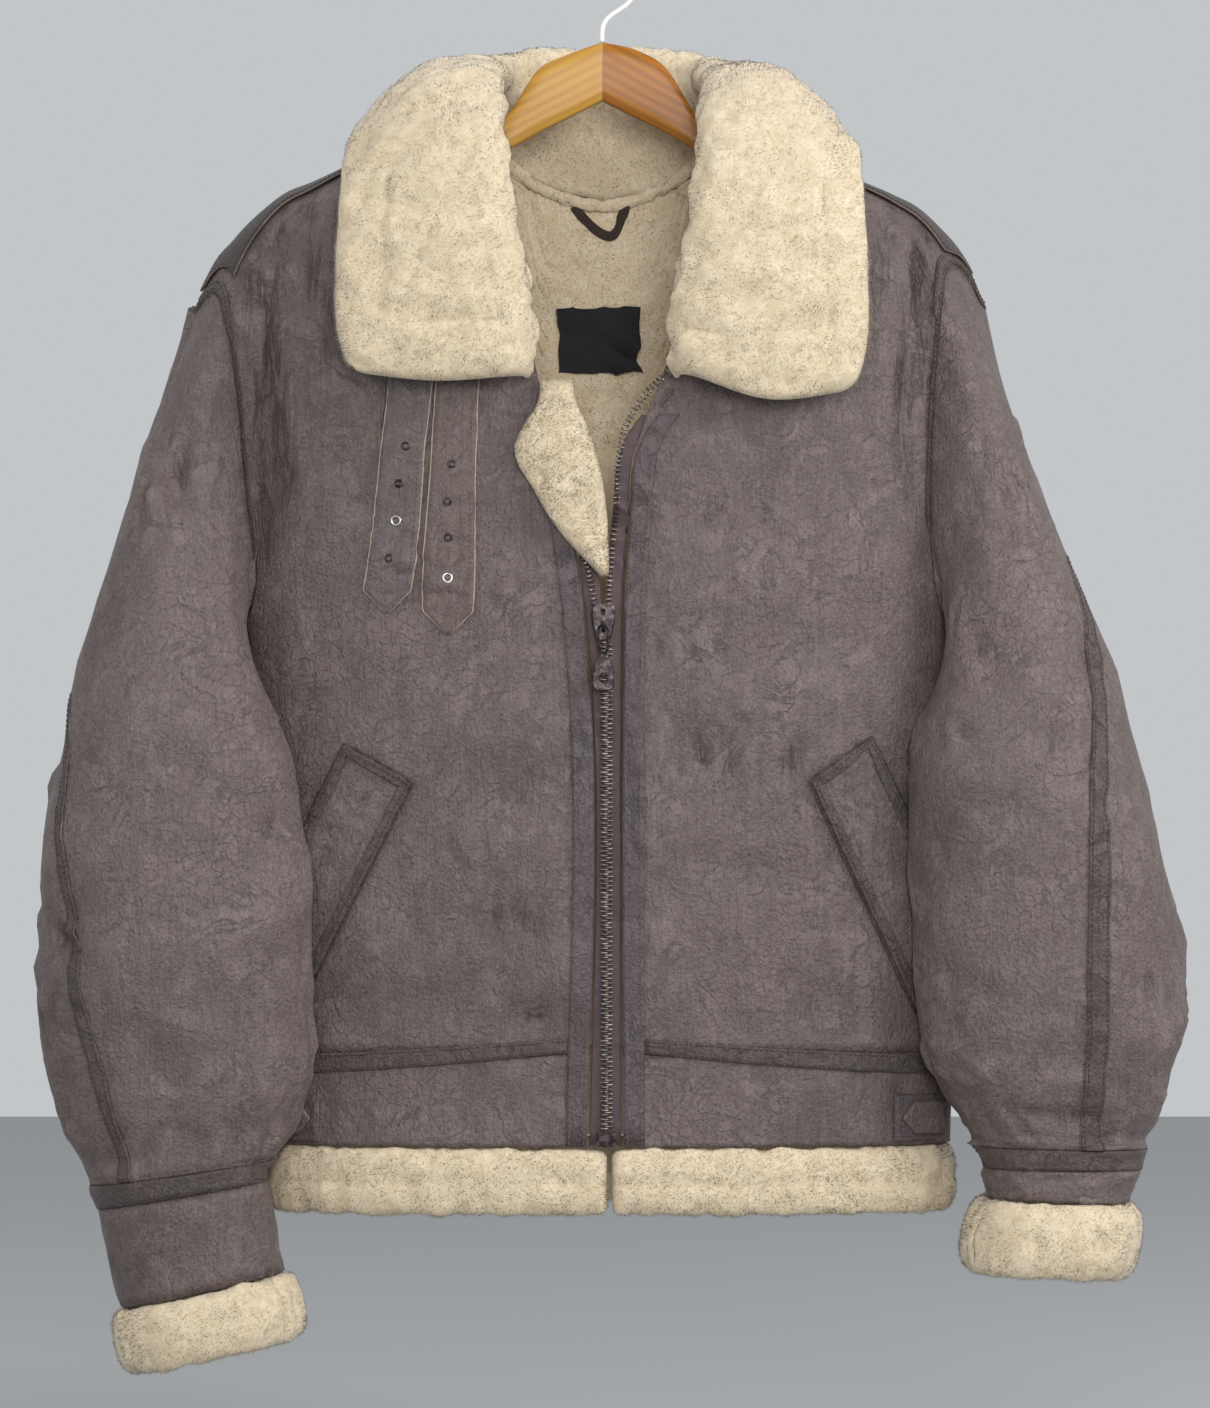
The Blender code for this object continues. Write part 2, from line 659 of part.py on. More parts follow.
def sleeve_grid(side, rings):
    """Outer face, inner face and normals of a stretch of sleeve, ring by ring round from the ridge."""
    seam, seam_inner, turn = armhole(side)
    reach = 0.35
    padded = np.concatenate([[rings[0] - reach], rings, [rings[-1] + reach]])
    ring, angle = np.meshgrid(padded, turn, indexing="ij")
    points = sleeve_ring(side, angle, np.clip(ring, 0, CUFF_END_RING))
    first = sleeve_ring(side, turn, np.zeros_like(turn))
    fade = np.clip(1 - ring / HEAD_RINGS, 0, 1) ** 2
    points = points + (seam - first)[None] * fade[..., None]
    table = SLEEVES[side]
    centre = np.stack(
        [
            SIDES[side] * (table("outer", ring) * 0.62 + table("inner", ring) * 0.38),
            table("deep", ring) - 8.0,
            points[..., 2],
        ],
        axis=-1,
    )
    pushed = outside_body(side, points, centre)
    weight = np.clip(ring / 0.5, 0, 1)[..., None]
    points = points * (1 - weight) + pushed * weight
    along = np.gradient(points, axis=0)
    across = np.roll(points, -1, axis=1) - np.roll(points, 1, axis=1)
    normal = np.cross(across, along)[1:-1] * SIDES[side]
    normal /= np.linalg.norm(normal, axis=-1, keepdims=True)
    points = points[1:-1]
    turned = np.clip(1 - rings / TURNED_RINGS, 0, 1)[:, None, None]
    inward = (seam_inner - seam)[None] / HIDE * turned - normal * (1 - turned)
    inward *= HIDE / np.linalg.norm(inward, axis=-1, keepdims=True)
    inner = points + inward
    if rings[0] == 0:
        points[0], inner[0] = seam, seam_inner
        inner[1:] = outside_body(side, inner[1:], centre[2:-1])
    return points, inner, normal


CUFF_ROLLS = Table("side tall thick proud", [(-1, 44, 24, 9), (1, 50, 26, 12)])
BAND_PROUD = 1.2


def build_sleeves():
    for side, sign in SIDES.items():
        outer, inner, normal = sleeve_grid(side, ALL_RINGS)
        outer = outer + normal * np.where(ALL_RINGS == BAND_RING, BAND_PROUD, 0)[:, None, None]
        sleeve, band, cuff = slice(None, -3), slice(-4, -2), slice(-3, None)
        parts = ((f"sleeve_{side}", sleeve), (f"cuff_band_{side}", band), (f"cuff_{side}", cuff))
        for name, rows in parts:
            seams = ["last_row"] if rows is sleeve else ["first_row", "last_row"]
            wall(name, drawn_in(outer[rows], seams), drawn_in(inner[rows], seams), "leather", True)
        build_cuff_wool(side, sign, outer[cuff], normal[-1])


def build_cuff_wool(side, sign, outer, normal):
    """The cuff's wool, turned back as a soft ring: a squared circle carried round the end of the cuff."""
    tall, thick, proud = (float(CUFF_ROLLS(name, np.array(sign))) for name in ("tall", "thick", "proud"))
    down = (outer[-1] - outer[0]).mean(axis=0)
    down /= np.linalg.norm(down)
    normal = normal - down * (normal @ down)[:, None]
    normal /= np.linalg.norm(normal, axis=-1, keepdims=True)
    across, along = round_profile(8)
    middle = outer[-1] + normal * (proud - thick / 2) + down * (tall / 2 + 2 * GAP)
    loops = middle[:, None] + normal[:, None] * (across * thick / 2)[None, :, None]
    loops = loops + down * (along * tall / 2)[None, :, None]
    sweep(f"cuff_wool_{side}", loops, "shearling", closed=True)


# ---------------------------------------------------------------------------------------------------------------
# Collar

# Four points of the collar's leather side at each station from its front end to the middle of the back: where it
# is sewn to the neck, the top of its roll, the middle of its fall and its edge. The last columns lower the right.
COLLAR = Table(
    "station n_out n_deep n_drop r_out r_deep r_drop m_out m_deep m_drop e_out e_deep e_drop right_neck right_fall",
    [
        (0, 50, -79, 289, 60, -90, 288, 108, -92, 291, 163, -84, 285, 0, 12),
        (1, 55, -77, 241, 66, -96, 240, 116, -95, 241, 171, -84, 256, 0, 8),
        (2, 67, -74, 198, 72, -96, 188, 120, -93, 185, 171, -82, 210, 1, 4),
        (3, 80, -66, 151, 75, -86, 140, 118, -80, 133, 167, -66, 162, 3, 3),
        (4, 90, -42, 119.5, 77, -50, 101, 116, -44, 98, 160, -30, 138, 3, 3),
        (5, 93, 0, 109.5, 77, 6, 87, 110, 30, 90, 144, 44, 140, 4, 4),
        (6, 70, 54, 132, 64, 52, 80, 86, 78, 98, 104, 80, 172, 2, 2),
        (7, 38, 60, 155, 38, 64, 76, 48, 90, 106, 56, 90, 190, 1, 1),
        (8, 0, 61, 165, 0, 68, 76, 0, 92, 108, 0, 92, 195, 0, 0),
    ],
)
COLLAR_STATIONS = np.linspace(0, 8, 17)
COLLAR_WAY = np.array([0, 0.12, 0.24, 0.34, 0.42, 0.52, 0.64, 0.76, 0.88, 1.0])
COLLAR_KNOTS = (0.0, 0.36, 0.68, 1.0)


def collar_surface(side):
    """Leather side of half a collar, as (stations, way, 3): a cubic through the four points of each station."""
    corners = []
    for place, shift in (("n", "right_neck"), ("r", "right_neck"), ("m", "right_fall"), ("e", "right_fall")):
        out, deep, drop = (COLLAR(f"{place}_{part}", COLLAR_STATIONS) for part in ("out", "deep", "drop"))
        if side == "right":
            drop = drop + COLLAR(shift, COLLAR_STATIONS)
        corners.append(np.stack([SIDES[side] * out, deep, -drop], axis=-1))
    grid = np.zeros((len(COLLAR_STATIONS), len(COLLAR_WAY), 3))
    for axis in range(3):
        for i in range(len(COLLAR_STATIONS)):
            rows = [(knot, corner[i, axis]) for knot, corner in zip(COLLAR_KNOTS, corners)]
            grid[i, :, axis] = Table("way value", rows)("value", COLLAR_WAY)
    return grid


def grid_normals(grid):
    normal = np.cross(np.gradient(grid, axis=0), np.gradient(grid, axis=1))
    return normal / np.linalg.norm(normal, axis=-1, keepdims=True)


def collar_grids():
    """Leather side and wool side of the whole collar, from its left front end round to the right one."""
    grid = np.concatenate([collar_surface("left"), collar_surface("right")[::-1][1:]])
    normal = grid_normals(grid)
    if normal[2, 6, 1] > 0:
        normal = -normal
    return grid, grid + normal * COLLAR_HIDE


def build_collar():
    under, wool = collar_grids()
    wall("collar", wool, under, "shearling")


# ---------------------------------------------------------------------------------------------------------------
# Leather sewn on the body


def patch(name, face, x, drop, finish, thick=TAPE, lift=LIFT):
    """A flat piece that lies on the body: a wall between two lifts over a grid of places."""
    wall(name, body_at(face, x, drop, lift + thick), body_at(face, x, drop, lift), finish)


FACING_WIDE = 14.0
FACING_FROM = 312.0
ZIP_TAPE_GAP = 1.4
OPEN_FROM = 350.0  # above this the front edges lean away quickly
ZIP_TAPE_SUNK = -2.2
ZIP_TAPE_THICK = 1.2
ZIP_X = 2.9  # middle of the closed chain
WAIST_LIFT = 1.0
WAIST_TAPE = Table("out drop half", [(10, 720, 4.5), (90, 727, 5.5), (160, 732, 6.0), (226, 735, 6.5)])


def build_front_edges():
    for side, sign in SIDES.items():
        drop = middle_drops(side)
        drop = np.concatenate([[BAND_END - 1, WAIST + 30], drop[drop > FACING_FROM], [FACING_FROM]])[:, None]
        edge = FRONT_EDGE(side, drop)
        x = edge + sign * np.array([[0.4, FACING_WIDE / 2, FACING_WIDE]])
        patch(f"facing_{side}", "front", x, drop + 0 * x, "leather_dark")
        free = np.minimum if side == "left" else np.maximum
        reach = ZIP_X + sign * GAP / 2
        inner = free(edge - sign * 12.4, reach) if side == "left" else free(edge - sign * 11.0, reach)
        slanted = np.clip((OPEN_FROM - drop) / (OPEN_FROM - FACING_FROM), 0, 1)
        x = np.concatenate([edge - sign * (ZIP_TAPE_GAP + ZIP_TAPE_GAP * slanted), inner], axis=1)
        patch(f"zip_tape_{side}", "front", x, drop + 0 * x, "zip_tape", ZIP_TAPE_THICK, ZIP_TAPE_SUNK)


def build_waist_tapes():
    across = np.array([-1, 0, 1])[None, :]
    for side, sign in SIDES.items():
        edge = abs(float(FRONT_EDGE(side, np.array(WAIST))))
        width = BODY(side, np.array(WAIST))
        turn = np.linspace(turn_of((edge + FACING_WIDE + 0.6) / width), turn_of(0.985), 16)[:, None]
        out = np.cos(turn) ** (2 / SECTION_POWER) * width
        drop = WAIST_TAPE("drop", out) + WAIST_TAPE("half", out) * across
        patch(f"waist_tape_{side}", "front", sign * out + 0 * drop, drop, "leather_dark", TAPE, WAIST_LIFT)
    turn = np.linspace(-math.pi / 2, math.pi / 2, 25)[1:-1, None]
    x = np.sign(turn) * (1 - np.abs(np.cos(turn))) ** 0.5 * 0.985 * BODY("left", np.array(WAIST))
    drop = WAIST_TAPE("drop", np.abs(x)) + WAIST_TAPE("half", np.abs(x)) * across
    patch("waist_tape_back", "back", x + 0 * drop, drop, "leather_dark", TAPE, WAIST_LIFT)


# Corners of the pocket welts: top inner, top outer, bottom inner, bottom outer, as out and drop.
WELTS = {
    "left": ((124, 551), (166, 527), (199, 701), (216, 690)),
    "right": ((136, 550), (174, 522), (205, 700), (219, 690)),
}
WELT_OUTER_BEND = {"left": (211, 622), "right": (215, 612)}
TRIM_WIDE = 6.0
POCKET_LIFT = 1.0


def build_pockets():
    for side, sign in SIDES.items():
        top_in, top_out, low_in, low_out = (np.array(corner, float) for corner in WELTS[side])
        bend = np.array(WELT_OUTER_BEND[side], float)
        way = np.linspace(0, 1, 12)[:, None]
        inner_edge = top_in + (low_in - top_in) * way
        turn_at = 0.55
        upper = top_out + (bend - top_out) * np.clip(way / turn_at, 0, 1)
        outer_edge = upper + (low_out - bend) * np.clip((way - turn_at) / (1 - turn_at), 0, 1)
        part = np.linspace(0, 1, 4)[None, :, None]
        grid = inner_edge[:, None] + (outer_edge - inner_edge)[:, None] * part
        patch(f"pocket_{side}", "front", sign * grid[..., 0], grid[..., 1], "leather", STRAP, POCKET_LIFT)
        path = np.concatenate([outer_edge[6::-1], top_out + (top_in - top_out) * way[4:-1:3], inner_edge])
        ahead = np.gradient(path, axis=0)
        ahead /= np.linalg.norm(ahead, axis=1, keepdims=True)
        aside = np.stack([ahead[:, 1], -ahead[:, 0]], axis=1)
        corner = 1 / np.maximum(np.abs(ahead @ np.array([1.0, 0.0])), 1.0)
        edge = path[:, None] + aside[:, None] * (np.array([-1.0, TRIM_WIDE]) * corner[:, None])[..., None]
        patch(
            f"pocket_trim_{side}",
            "front",
            sign * edge[..., 0],
            edge[..., 1],
            "leather_dark",
            TAPE,
            POCKET_LIFT + STRAP + LIFT,
        )


# Centre line and half width of the two throat straps, from under the collar down to where the point begins.
STRAPS = {
    "throat_strap_outer": Table(
        "drop x half", [(262, -121, 14.5), (290, -124, 14.5), (326, -128, 14), (391, -134, 15.2), (426, -139, 15.5)]
    ),
    "throat_strap_inner": Table(
        "drop x half", [(262, -91, 13.5), (291, -93.5, 13.8), (360, -97, 15), (415, -99, 17), (440, -99.5, 16.5)]
    ),
}
STRAP_FROM = 279.0
STRAP_POINT = 15.0
STRAP_LIFT = 1.0


def build_straps():
    for name, table in STRAPS.items():
        start, end = STRAP_FROM, table.place[-1]
        drop = np.append(np.linspace(start, end, 12), end + STRAP_POINT)[:, None]
        half = table("half", drop)
        half[-1] = 1.0
        middle = table("x", drop)
        across = np.array([[-1, 0, 1]])
        x = middle + half * across
        patch(name, "front", x, drop + 0 * x, "leather", STRAP, STRAP_LIFT)


# Keepers and straps of the side adjusters on the waistband: inner and outer end, top and bottom.
KEEPER = {"left": (184, 214), "right": (190, 217)}
KEEPER_TOP, KEEPER_END = 754.0, 785.0
ADJUSTER_TOP, ADJUSTER_END = 759.0, 780.0
ADJUSTER_POINT = 8.0


def build_adjusters():
    for side, sign in SIDES.items():
        inner, outer = KEEPER[side]
        out = np.linspace(inner, outer, 5)[None, :]
        drop = np.linspace(KEEPER_TOP, KEEPER_END, 4)[:, None]
        patch(f"keeper_{side}", "front", sign * out + 0 * drop, drop + 0 * out, "leather", STRAP)
        drop = np.linspace(ADJUSTER_TOP, ADJUSTER_END, 5)[:, None]
        middle = (ADJUSTER_TOP + ADJUSTER_END) / 2
        start = inner + 4 + ADJUSTER_POINT * np.abs(drop - middle) / (middle - ADJUSTER_TOP)
        out = start + (outer + 4 - start) * np.linspace(0, 1, 5)[None, :]
        lift = LIFT + STRAP + 2 * LIFT
        patch(f"adjuster_{side}", "front", sign * out, drop + 0 * out, "leather", TAPE, lift)


TAPE_START = 118.0
TAPE_END = 3.0  # between the shoulder tape and the armhole tape
SHOULDER_TAPE = Table("out front back", [(150, 0.2, 0.2), (190, 0.28, 0.2), (220, 0.4, 0.24), (243, 0.62, 0.3)])


def build_shoulder_tapes():
    """A tape over the shoulder seam that widens outwards, laid on the roll of the shoulder up to the armhole tape."""
    for side in SIDES:
        width = float(BODY(side, np.array(200.0)))
        part = np.linspace(0, 1, 9)[:, None]
        over = np.array([[1, 0.55, 0.2, 0, 0.2, 0.55, 1]])
        on_front = np.array([[True, True, True, False, False, False, False]])
        reach = width * TIP_SHARE - ARMHOLE_TAPE_WIDE - TAPE_END
        for _ in range(3):
            out = TAPE_START + (reach - TAPE_START) * part
            wide = np.where(on_front, -SHOULDER_TAPE("front", out), SHOULDER_TAPE("back", out))
            level = 2 + wide * over
            face_level = 2 - np.abs(level - 2)
            seam = np.where(on_front, scye_share(side, "front", face_level), scye_share(side, "back", face_level))
            reach = width * seam - ARMHOLE_TAPE_WIDE - TAPE_END
        turn = turn_of(out / width) + 0 * level
        points = body_point(side, turn, level)
        normal = body_normal(side, turn, level)
        low = LIFT + 1.1
        wall(f"shoulder_tape_{side}", points + normal * (low + TAPE), points + normal * low, "leather_dark")


ARMHOLE_TAPE_WIDE = 9.0


def build_armhole_tapes():
    """A tape beside the armhole seam on the panels' own edges, up to the shoulder tape."""
    first = int(np.argmin(np.abs(LEVELS - 0.74)))
    for side in SIDES:
        for face in ("front", "back"):
            outer, _, normal = (grid[first:-2] for grid in panel_grids(side, face))
            aside = outer[:, -2] - outer[:, -1]
            aside /= np.linalg.norm(aside, axis=-1, keepdims=True)
            strip = outer[:, -1:] + aside[:, None] * np.array([0.6, ARMHOLE_TAPE_WIDE])[None, :, None]
            normal = normal[:, -1:]
            low = LIFT + 0.2
            wall(f"armhole_tape_{face}_{side}", strip + normal * (low + TAPE), strip + normal * low, "leather_dark")


# Where the taped seam of each sleeve runs: ring, turn in degrees and half width in degrees.
SLEEVE_TAPES = {
    "left": Table("ring turn half", [(4.75, 14, 3), (6.25, 34, 3.2), (8.5, 56, 3.4), (12, 62, 4.6)]),
    "right": Table("ring turn half", [(3.25, 12, 6), (5.5, 58, 5.5), (7, 73, 5), (8.5, 75, 5), (12, 75, 8)]),
}
SLEEVE_TAPE_LIFT = 2.1


def build_sleeve_tapes():
    """The taped seam of each sleeve, laid on the straight facets between the sleeve's own columns."""
    for side, table in SLEEVE_TAPES.items():
        outer, _, normal = sleeve_grid(side, ALL_RINGS)
        _, _, turn = armhole(side)
        columns = np.append(np.degrees(turn), 360.0)
        start = table.place[0]
        strip, lifted = [], []
        for ring in np.concatenate([np.arange(start, 7, 0.34), [7, 7.75, 8.5, 9.25, 10, 11, 11.9]]):
            row = int(np.searchsorted(ALL_RINGS, ring, side="right")) - 1
            part = (ring - ALL_RINGS[row]) / (ALL_RINGS[row + 1] - ALL_RINGS[row])
            places = table("turn", ring) + table("half", ring) * np.array([-1, 0, 1])
            for grid, kept in ((outer, strip), (normal, lifted)):
                around = grid[row] * (1 - part) + grid[row + 1] * part
                around = np.concatenate([around, around[:1]])
                kept.append([[np.interp(place, columns, around[:, axis]) for axis in range(3)] for place in places])
        strip, lifted = np.array(strip), np.array(lifted)
        lifted /= np.linalg.norm(lifted, axis=-1, keepdims=True)
        low, high = SLEEVE_TAPE_LIFT, SLEEVE_TAPE_LIFT + TAPE
        wall(f"sleeve_tape_{side}", strip + lifted * high, strip + lifted * low, "leather_dark")


# The wind flap of the left front, folded out over its edge: drop, left and right x, and lift off the front.
FLAP = Table(
    "drop left right lift",
    [
        (290, -40, -20, 2.3),
        (306, -42, -16, 2.4),
        (319, -50, -10, 2.8),
        (331, -56, -6, 3.2),
        (344, -54.6, -2, 3.4),
        (359, -45.5, 1, 3.2),
        (379, -34, 3, 2.8),
        (394, -23, 4, 2.6),
        (409, -9, 4.5, 2.5),
        (417, -1, 4, 2.5),
    ],
)
FLAP_THICK = 10.0


def build_flap():
    drop = np.linspace(290, 417, 13)[:, None]
    left, right = FLAP("left", drop), FLAP("right", drop)
    x = left + (right - left) * np.linspace(0, 1, 5)[None, :]
    puff = FLAP_THICK * (0.45 + 0.55 * np.sin(np.linspace(0, math.pi, 5)) ** 0.5)[None, :]
    lift = FLAP("lift", drop) + 0 * x
    outer = body_at("front", x, drop + 0 * x, lift + puff)
    wall("wind_flap", outer, body_at("front", x, drop + 0 * x, lift), "shearling")


# ---------------------------------------------------------------------------------------------------------------
# Inside the neck


LOOP_PATH = Table("way x drop", [(0, -19.5, 168), (1, -12, 177), (2, -3, 185), (3, 6, 188), (4, 12, 180), (5, 16, 166)])
LOOP_WIDE = 6.5
LOOP_THICK = 1.6
LABEL = (-29.0, 25.0, 235.0, 279.0)
LABEL_THICK = 1.0


def build_neck_pieces():
    way = np.linspace(0, 5, 16)
    path = np.stack([LOOP_PATH("x", way), LOOP_PATH("drop", way)], axis=-1)
    ahead = np.gradient(path, axis=0)
    ahead /= np.linalg.norm(ahead, axis=1, keepdims=True)
    aside = np.stack([-ahead[:, 1], ahead[:, 0]], axis=1) * LOOP_WIDE / 2
    edges = path[:, None] + aside[:, None] * np.array([-1, 1])[None, :, None]
    x, drop = edges[..., 0], edges[..., 1]
    under = -HIDE - LIFT
    near = body_at("back", x, np.maximum(drop, 172.0), under)
    near[..., 2] = -drop
    far = near - np.array([0, LOOP_THICK, 0])
    wall("hanging_loop", far, near, "loop_cloth")
    left, right, top, end = LABEL
    x, drop = np.meshgrid(np.linspace(left, right, 3), np.linspace(top, end, 3), indexing="ij")
    wall("label", body_at("back", x, drop, under - LABEL_THICK), body_at("back", x, drop, under), "label_cloth")


# ---------------------------------------------------------------------------------------------------------------
# Front zip

SLIDER_X = 0.9
SLIDER_END = 458.0
PLATE = Table("drop half", [(435, 6.0), (439, 7.6), (446, 7.4), (453, 5.6), (458, 4.6)])
PLATE_FRONT = 3.4
FRONT_Y = -80.0  # the leather's front face beside the slider
BRIDGE_TOP, BRIDGE_END = 438.0, 453.5
BRIDGE_WIDE = 2.6
BRIDGE_BAR = 1.6
WINDOW = 2.9
LINK_BAR = 0.8  # radius of the link's wire
LINK_AXIS = 449.0
LINK_LONG = 16.6
LINK_HALF = 3.3
PULL_HALF = 7.0
PULL_END = 490.5
PULL_THICK = 1.8
KNUCKLE_OUT = 2.2
KNUCKLE_BORE = 1.25
KNUCKLE_HALF = 1.4
PULL_HOLE = 3.2
PULL_HOLE_DROP = 483.0
BOX = (-3.4, 9.2, 777.5, 786.6)
PLATE_Y = FRONT_Y - PLATE_FRONT
LINK_Y = PLATE_Y - WINDOW / 2


def united(target, other):
    """Joins a second closed mesh to an object with an exact Boolean, and keeps the second one as a hidden helper."""
    other.hide_render = True
    other.display_type = "WIRE"
    bpy.data.collections["shearling_coat"].objects.unlink(other)
    bpy.data.collections["helpers"].objects.link(other)
    joined = target.modifiers.new(other.name, "BOOLEAN")
    joined.operation = "UNION"
    joined.solver = "EXACT"
    joined.object = other


def slab(name, half_width, drops, front, back, finish, middle=SLIDER_X):
    """An upright plate whose half width follows the given drops, with softened edges."""
    half_width, drops = np.broadcast_arrays(half_width, drops)
    corner = np.array([[-1, 0.12], [-0.88, 0], [0.88, 0], [1, 0.12], [1, 0.88], [0.88, 1], [-0.88, 1], [-1, 0.88]])
    x = middle + half_width[:, None] * corner[:, 0]
    y = front + (back - front) * corner[:, 1] + 0 * x
    loops = np.stack([x, y, -drops[:, None] + 0 * x], axis=-1)
    return sweep(name, loops, finish)


def build_slider():
    drops = np.array([435, 436, 439, 443, 447, 451, 455, 457.2, 458.0])
    half = PLATE("half", drops) * np.array([0.86, 1, 1, 1, 1, 1, 1, 1, 0.86])
    seat = ZIP_TAPE_SUNK + ZIP_TAPE_THICK + GAP
    back = float(body_at("front", SLIDER_X, drops, seat)[:, 1].min())
    plate = slab("zip_slider", half, drops, PLATE_Y, back, "gunmetal")
    turn = np.linspace(0, math.pi, 9)
    middle, tall = (BRIDGE_TOP + BRIDGE_END) / 2, (BRIDGE_END - BRIDGE_TOP) / 2
    sine = np.sin(turn) ** 0.6
    outer = np.stack([PLATE_Y + 0.5 - (WINDOW + BRIDGE_BAR + 0.5) * sine, middle + tall * np.cos(turn)], axis=-1)
    inner_tall = tall - BRIDGE_BAR
    inner = np.stack([PLATE_Y + 0.5 - (WINDOW + 0.5) * sine, middle + inner_tall * np.cos(turn)], axis=-1)
    x = SLIDER_X + np.array([-1, 1]) * BRIDGE_WIDE / 2
    loops = np.zeros((len(turn), 4, 3))
    for column, (edge, side) in enumerate(((outer, 0), (outer, 1), (inner, 1), (inner, 0))):
        loops[:, column] = np.stack([0 * turn + x[side], edge[:, 0], -edge[:, 1]], axis=-1)
    united(plate, sweep("slider_bridge", loops, "gunmetal"))


def wire(name, path, radius, finish, closed=False, origin=(0.0, 0.0, 0.0)):
    """A round wire along a path, as a curve with a bevel and filled caps."""
    curve = bpy.data.curves.new(name, "CURVE")
    curve.dimensions = "3D"
    curve.bevel_depth = radius * MM
    curve.bevel_resolution = 2
    curve.use_fill_caps = not closed
    spline = curve.splines.new("POLY")
    spline.points.add(len(path) - 1)
    spline.use_cyclic_u = closed
    for point, place in zip(spline.points, (path - np.array(origin)) * MM):
        point.co = (*place, 1.0)
    curve.materials.append(material(finish, *MATERIALS[finish]))
    obj = bpy.data.objects.new(name, curve)
    obj.location = np.array(origin) * MM
    bpy.data.collections["shearling_coat"].objects.link(obj)
    return obj


def placed_on(obj, x, y, drop):
    """Gives a part its origin at the axis it turns about, leaving its shape where it is."""
    origin = np.array([x, y, -drop]) * MM
    points = np.array([vertex.co for vertex in obj.data.vertices]) - origin
    obj.data.vertices.foreach_set("co", points.ravel())
    obj.data.update()
    obj.location = origin


def build_link_and_pull():
    turn = np.arange(16) / 16 * 2 * math.pi
    square = 2 / 4.5
    x = SLIDER_X + LINK_HALF * np.sign(np.cos(turn)) * np.abs(np.cos(turn)) ** square
    half_long = LINK_LONG / 2
    drop = LINK_AXIS + half_long - half_long * np.sign(np.sin(turn)) * np.abs(np.sin(turn)) ** square
    path = np.stack([x, 0 * x + LINK_Y, -drop], axis=-1)
    wire("zip_link", path, LINK_BAR, "gunmetal", True, (SLIDER_X, LINK_Y, -LINK_AXIS))
    pull_axis = LINK_AXIS + LINK_LONG
    build_pull(pull_axis)


def build_pull(axis):
    """The tab: a plate with a round hole, hung on the link's lower bar by a knuckle."""
    turn = np.arange(14) / 14 * 2 * math.pi
    x = SLIDER_X + np.array([-1, 1, 1, -1]) * KNUCKLE_HALF
    radius = np.array([KNUCKLE_OUT, KNUCKLE_OUT, KNUCKLE_BORE, KNUCKLE_BORE])
    y = LINK_Y + np.cos(turn)[:, None] * radius
    z = -axis + np.sin(turn)[:, None] * radius
    pull = sweep("zip_pull", np.stack([x + 0 * y, y, z], axis=-1), "gunmetal", closed=True)
    start = axis + KNUCKLE_BORE + 0.5
    drops = np.array([start, start + 1.4, start + 2.6, start + 4.4, 478, 483, 487, 489.4, PULL_END])
    half = np.array([1.7, 1.7, 3.4, 5.4, 6.6, PULL_HALF, PULL_HALF, 6.2, 4.6])
    front, back = LINK_Y - PULL_THICK / 2, LINK_Y + PULL_THICK / 2
    plate = slab("pull_plate", half, drops, front, back, "gunmetal")
    united(pull, plate)
    ring = np.arange(20) / 20 * 2 * math.pi
    depths = np.array([front - 1, back + 1])
    x = SLIDER_X + PULL_HOLE * np.cos(ring)[None, :]
    z = -PULL_HOLE_DROP + PULL_HOLE * np.sin(ring)[None, :]
    loops = np.stack([x + 0 * depths[:, None], depths[:, None] + 0 * x, z + 0 * depths[:, None]], axis=-1)
    cutter = sweep("pull_hole", loops, "gunmetal")
    united(pull, cutter)
    pull.modifiers["pull_hole"].operation = "DIFFERENCE"
    placed_on(pull, SLIDER_X, LINK_Y, axis)


def build_zip_box():
    left, right, top, end = BOX
    x, drop = np.meshgrid(np.linspace(left, right, 3), np.linspace(top, end, 3), indexing="ij")
    patch("zip_box", "front", x, drop, "gunmetal", 3.6, ZIP_TAPE_SUNK + ZIP_TAPE_THICK + GAP)


# ---------------------------------------------------------------------------------------------------------------
# Hanger

# Upper and lower edge of each arm, from the middle out to its end, and half its thickness.
ARMS = {
    "left": Table(
        "out top low half",
        [
            (0, 64, 103, 6.5),
            (22, 72, 114, 6.5),
            (42, 82, 124, 6.5),
            (62, 111, 135, 6.2),
            (80, 121, 143, 6.1),
            (95, 127, 151, 6),
            (130, 139, 164, 5.6),
            (165, 158, 182, 5.2),
            (190, 170, 193, 4.8),
            (204, 177, 198, 4.4),
        ],
    ),
    "right": Table(
        "out top low half",
        [
            (0, 64, 103, 6.5),
            (22, 69, 114, 6.5),
            (42, 81, 124, 6.5),
            (64, 115, 137, 6.2),
            (80, 127, 146, 6.1),
            (95, 132, 153, 6),
            (130, 146, 169, 5.6),
            (165, 167, 189, 5.2),
            (190, 178, 200, 4.8),
            (200, 183, 203, 4.4),
        ],
    ),
}
ARM_SECTION = 12
HOOK_RADIUS = 23.6
HOOK_WIRE = 1.6
HOOK_FROM, HOOK_TO = -60.0, 200.0
SHAFT = [(0, 63.6), (0, 58), (0.4, 53.5), (2.4, 49.4), (6.6, 45.4)]


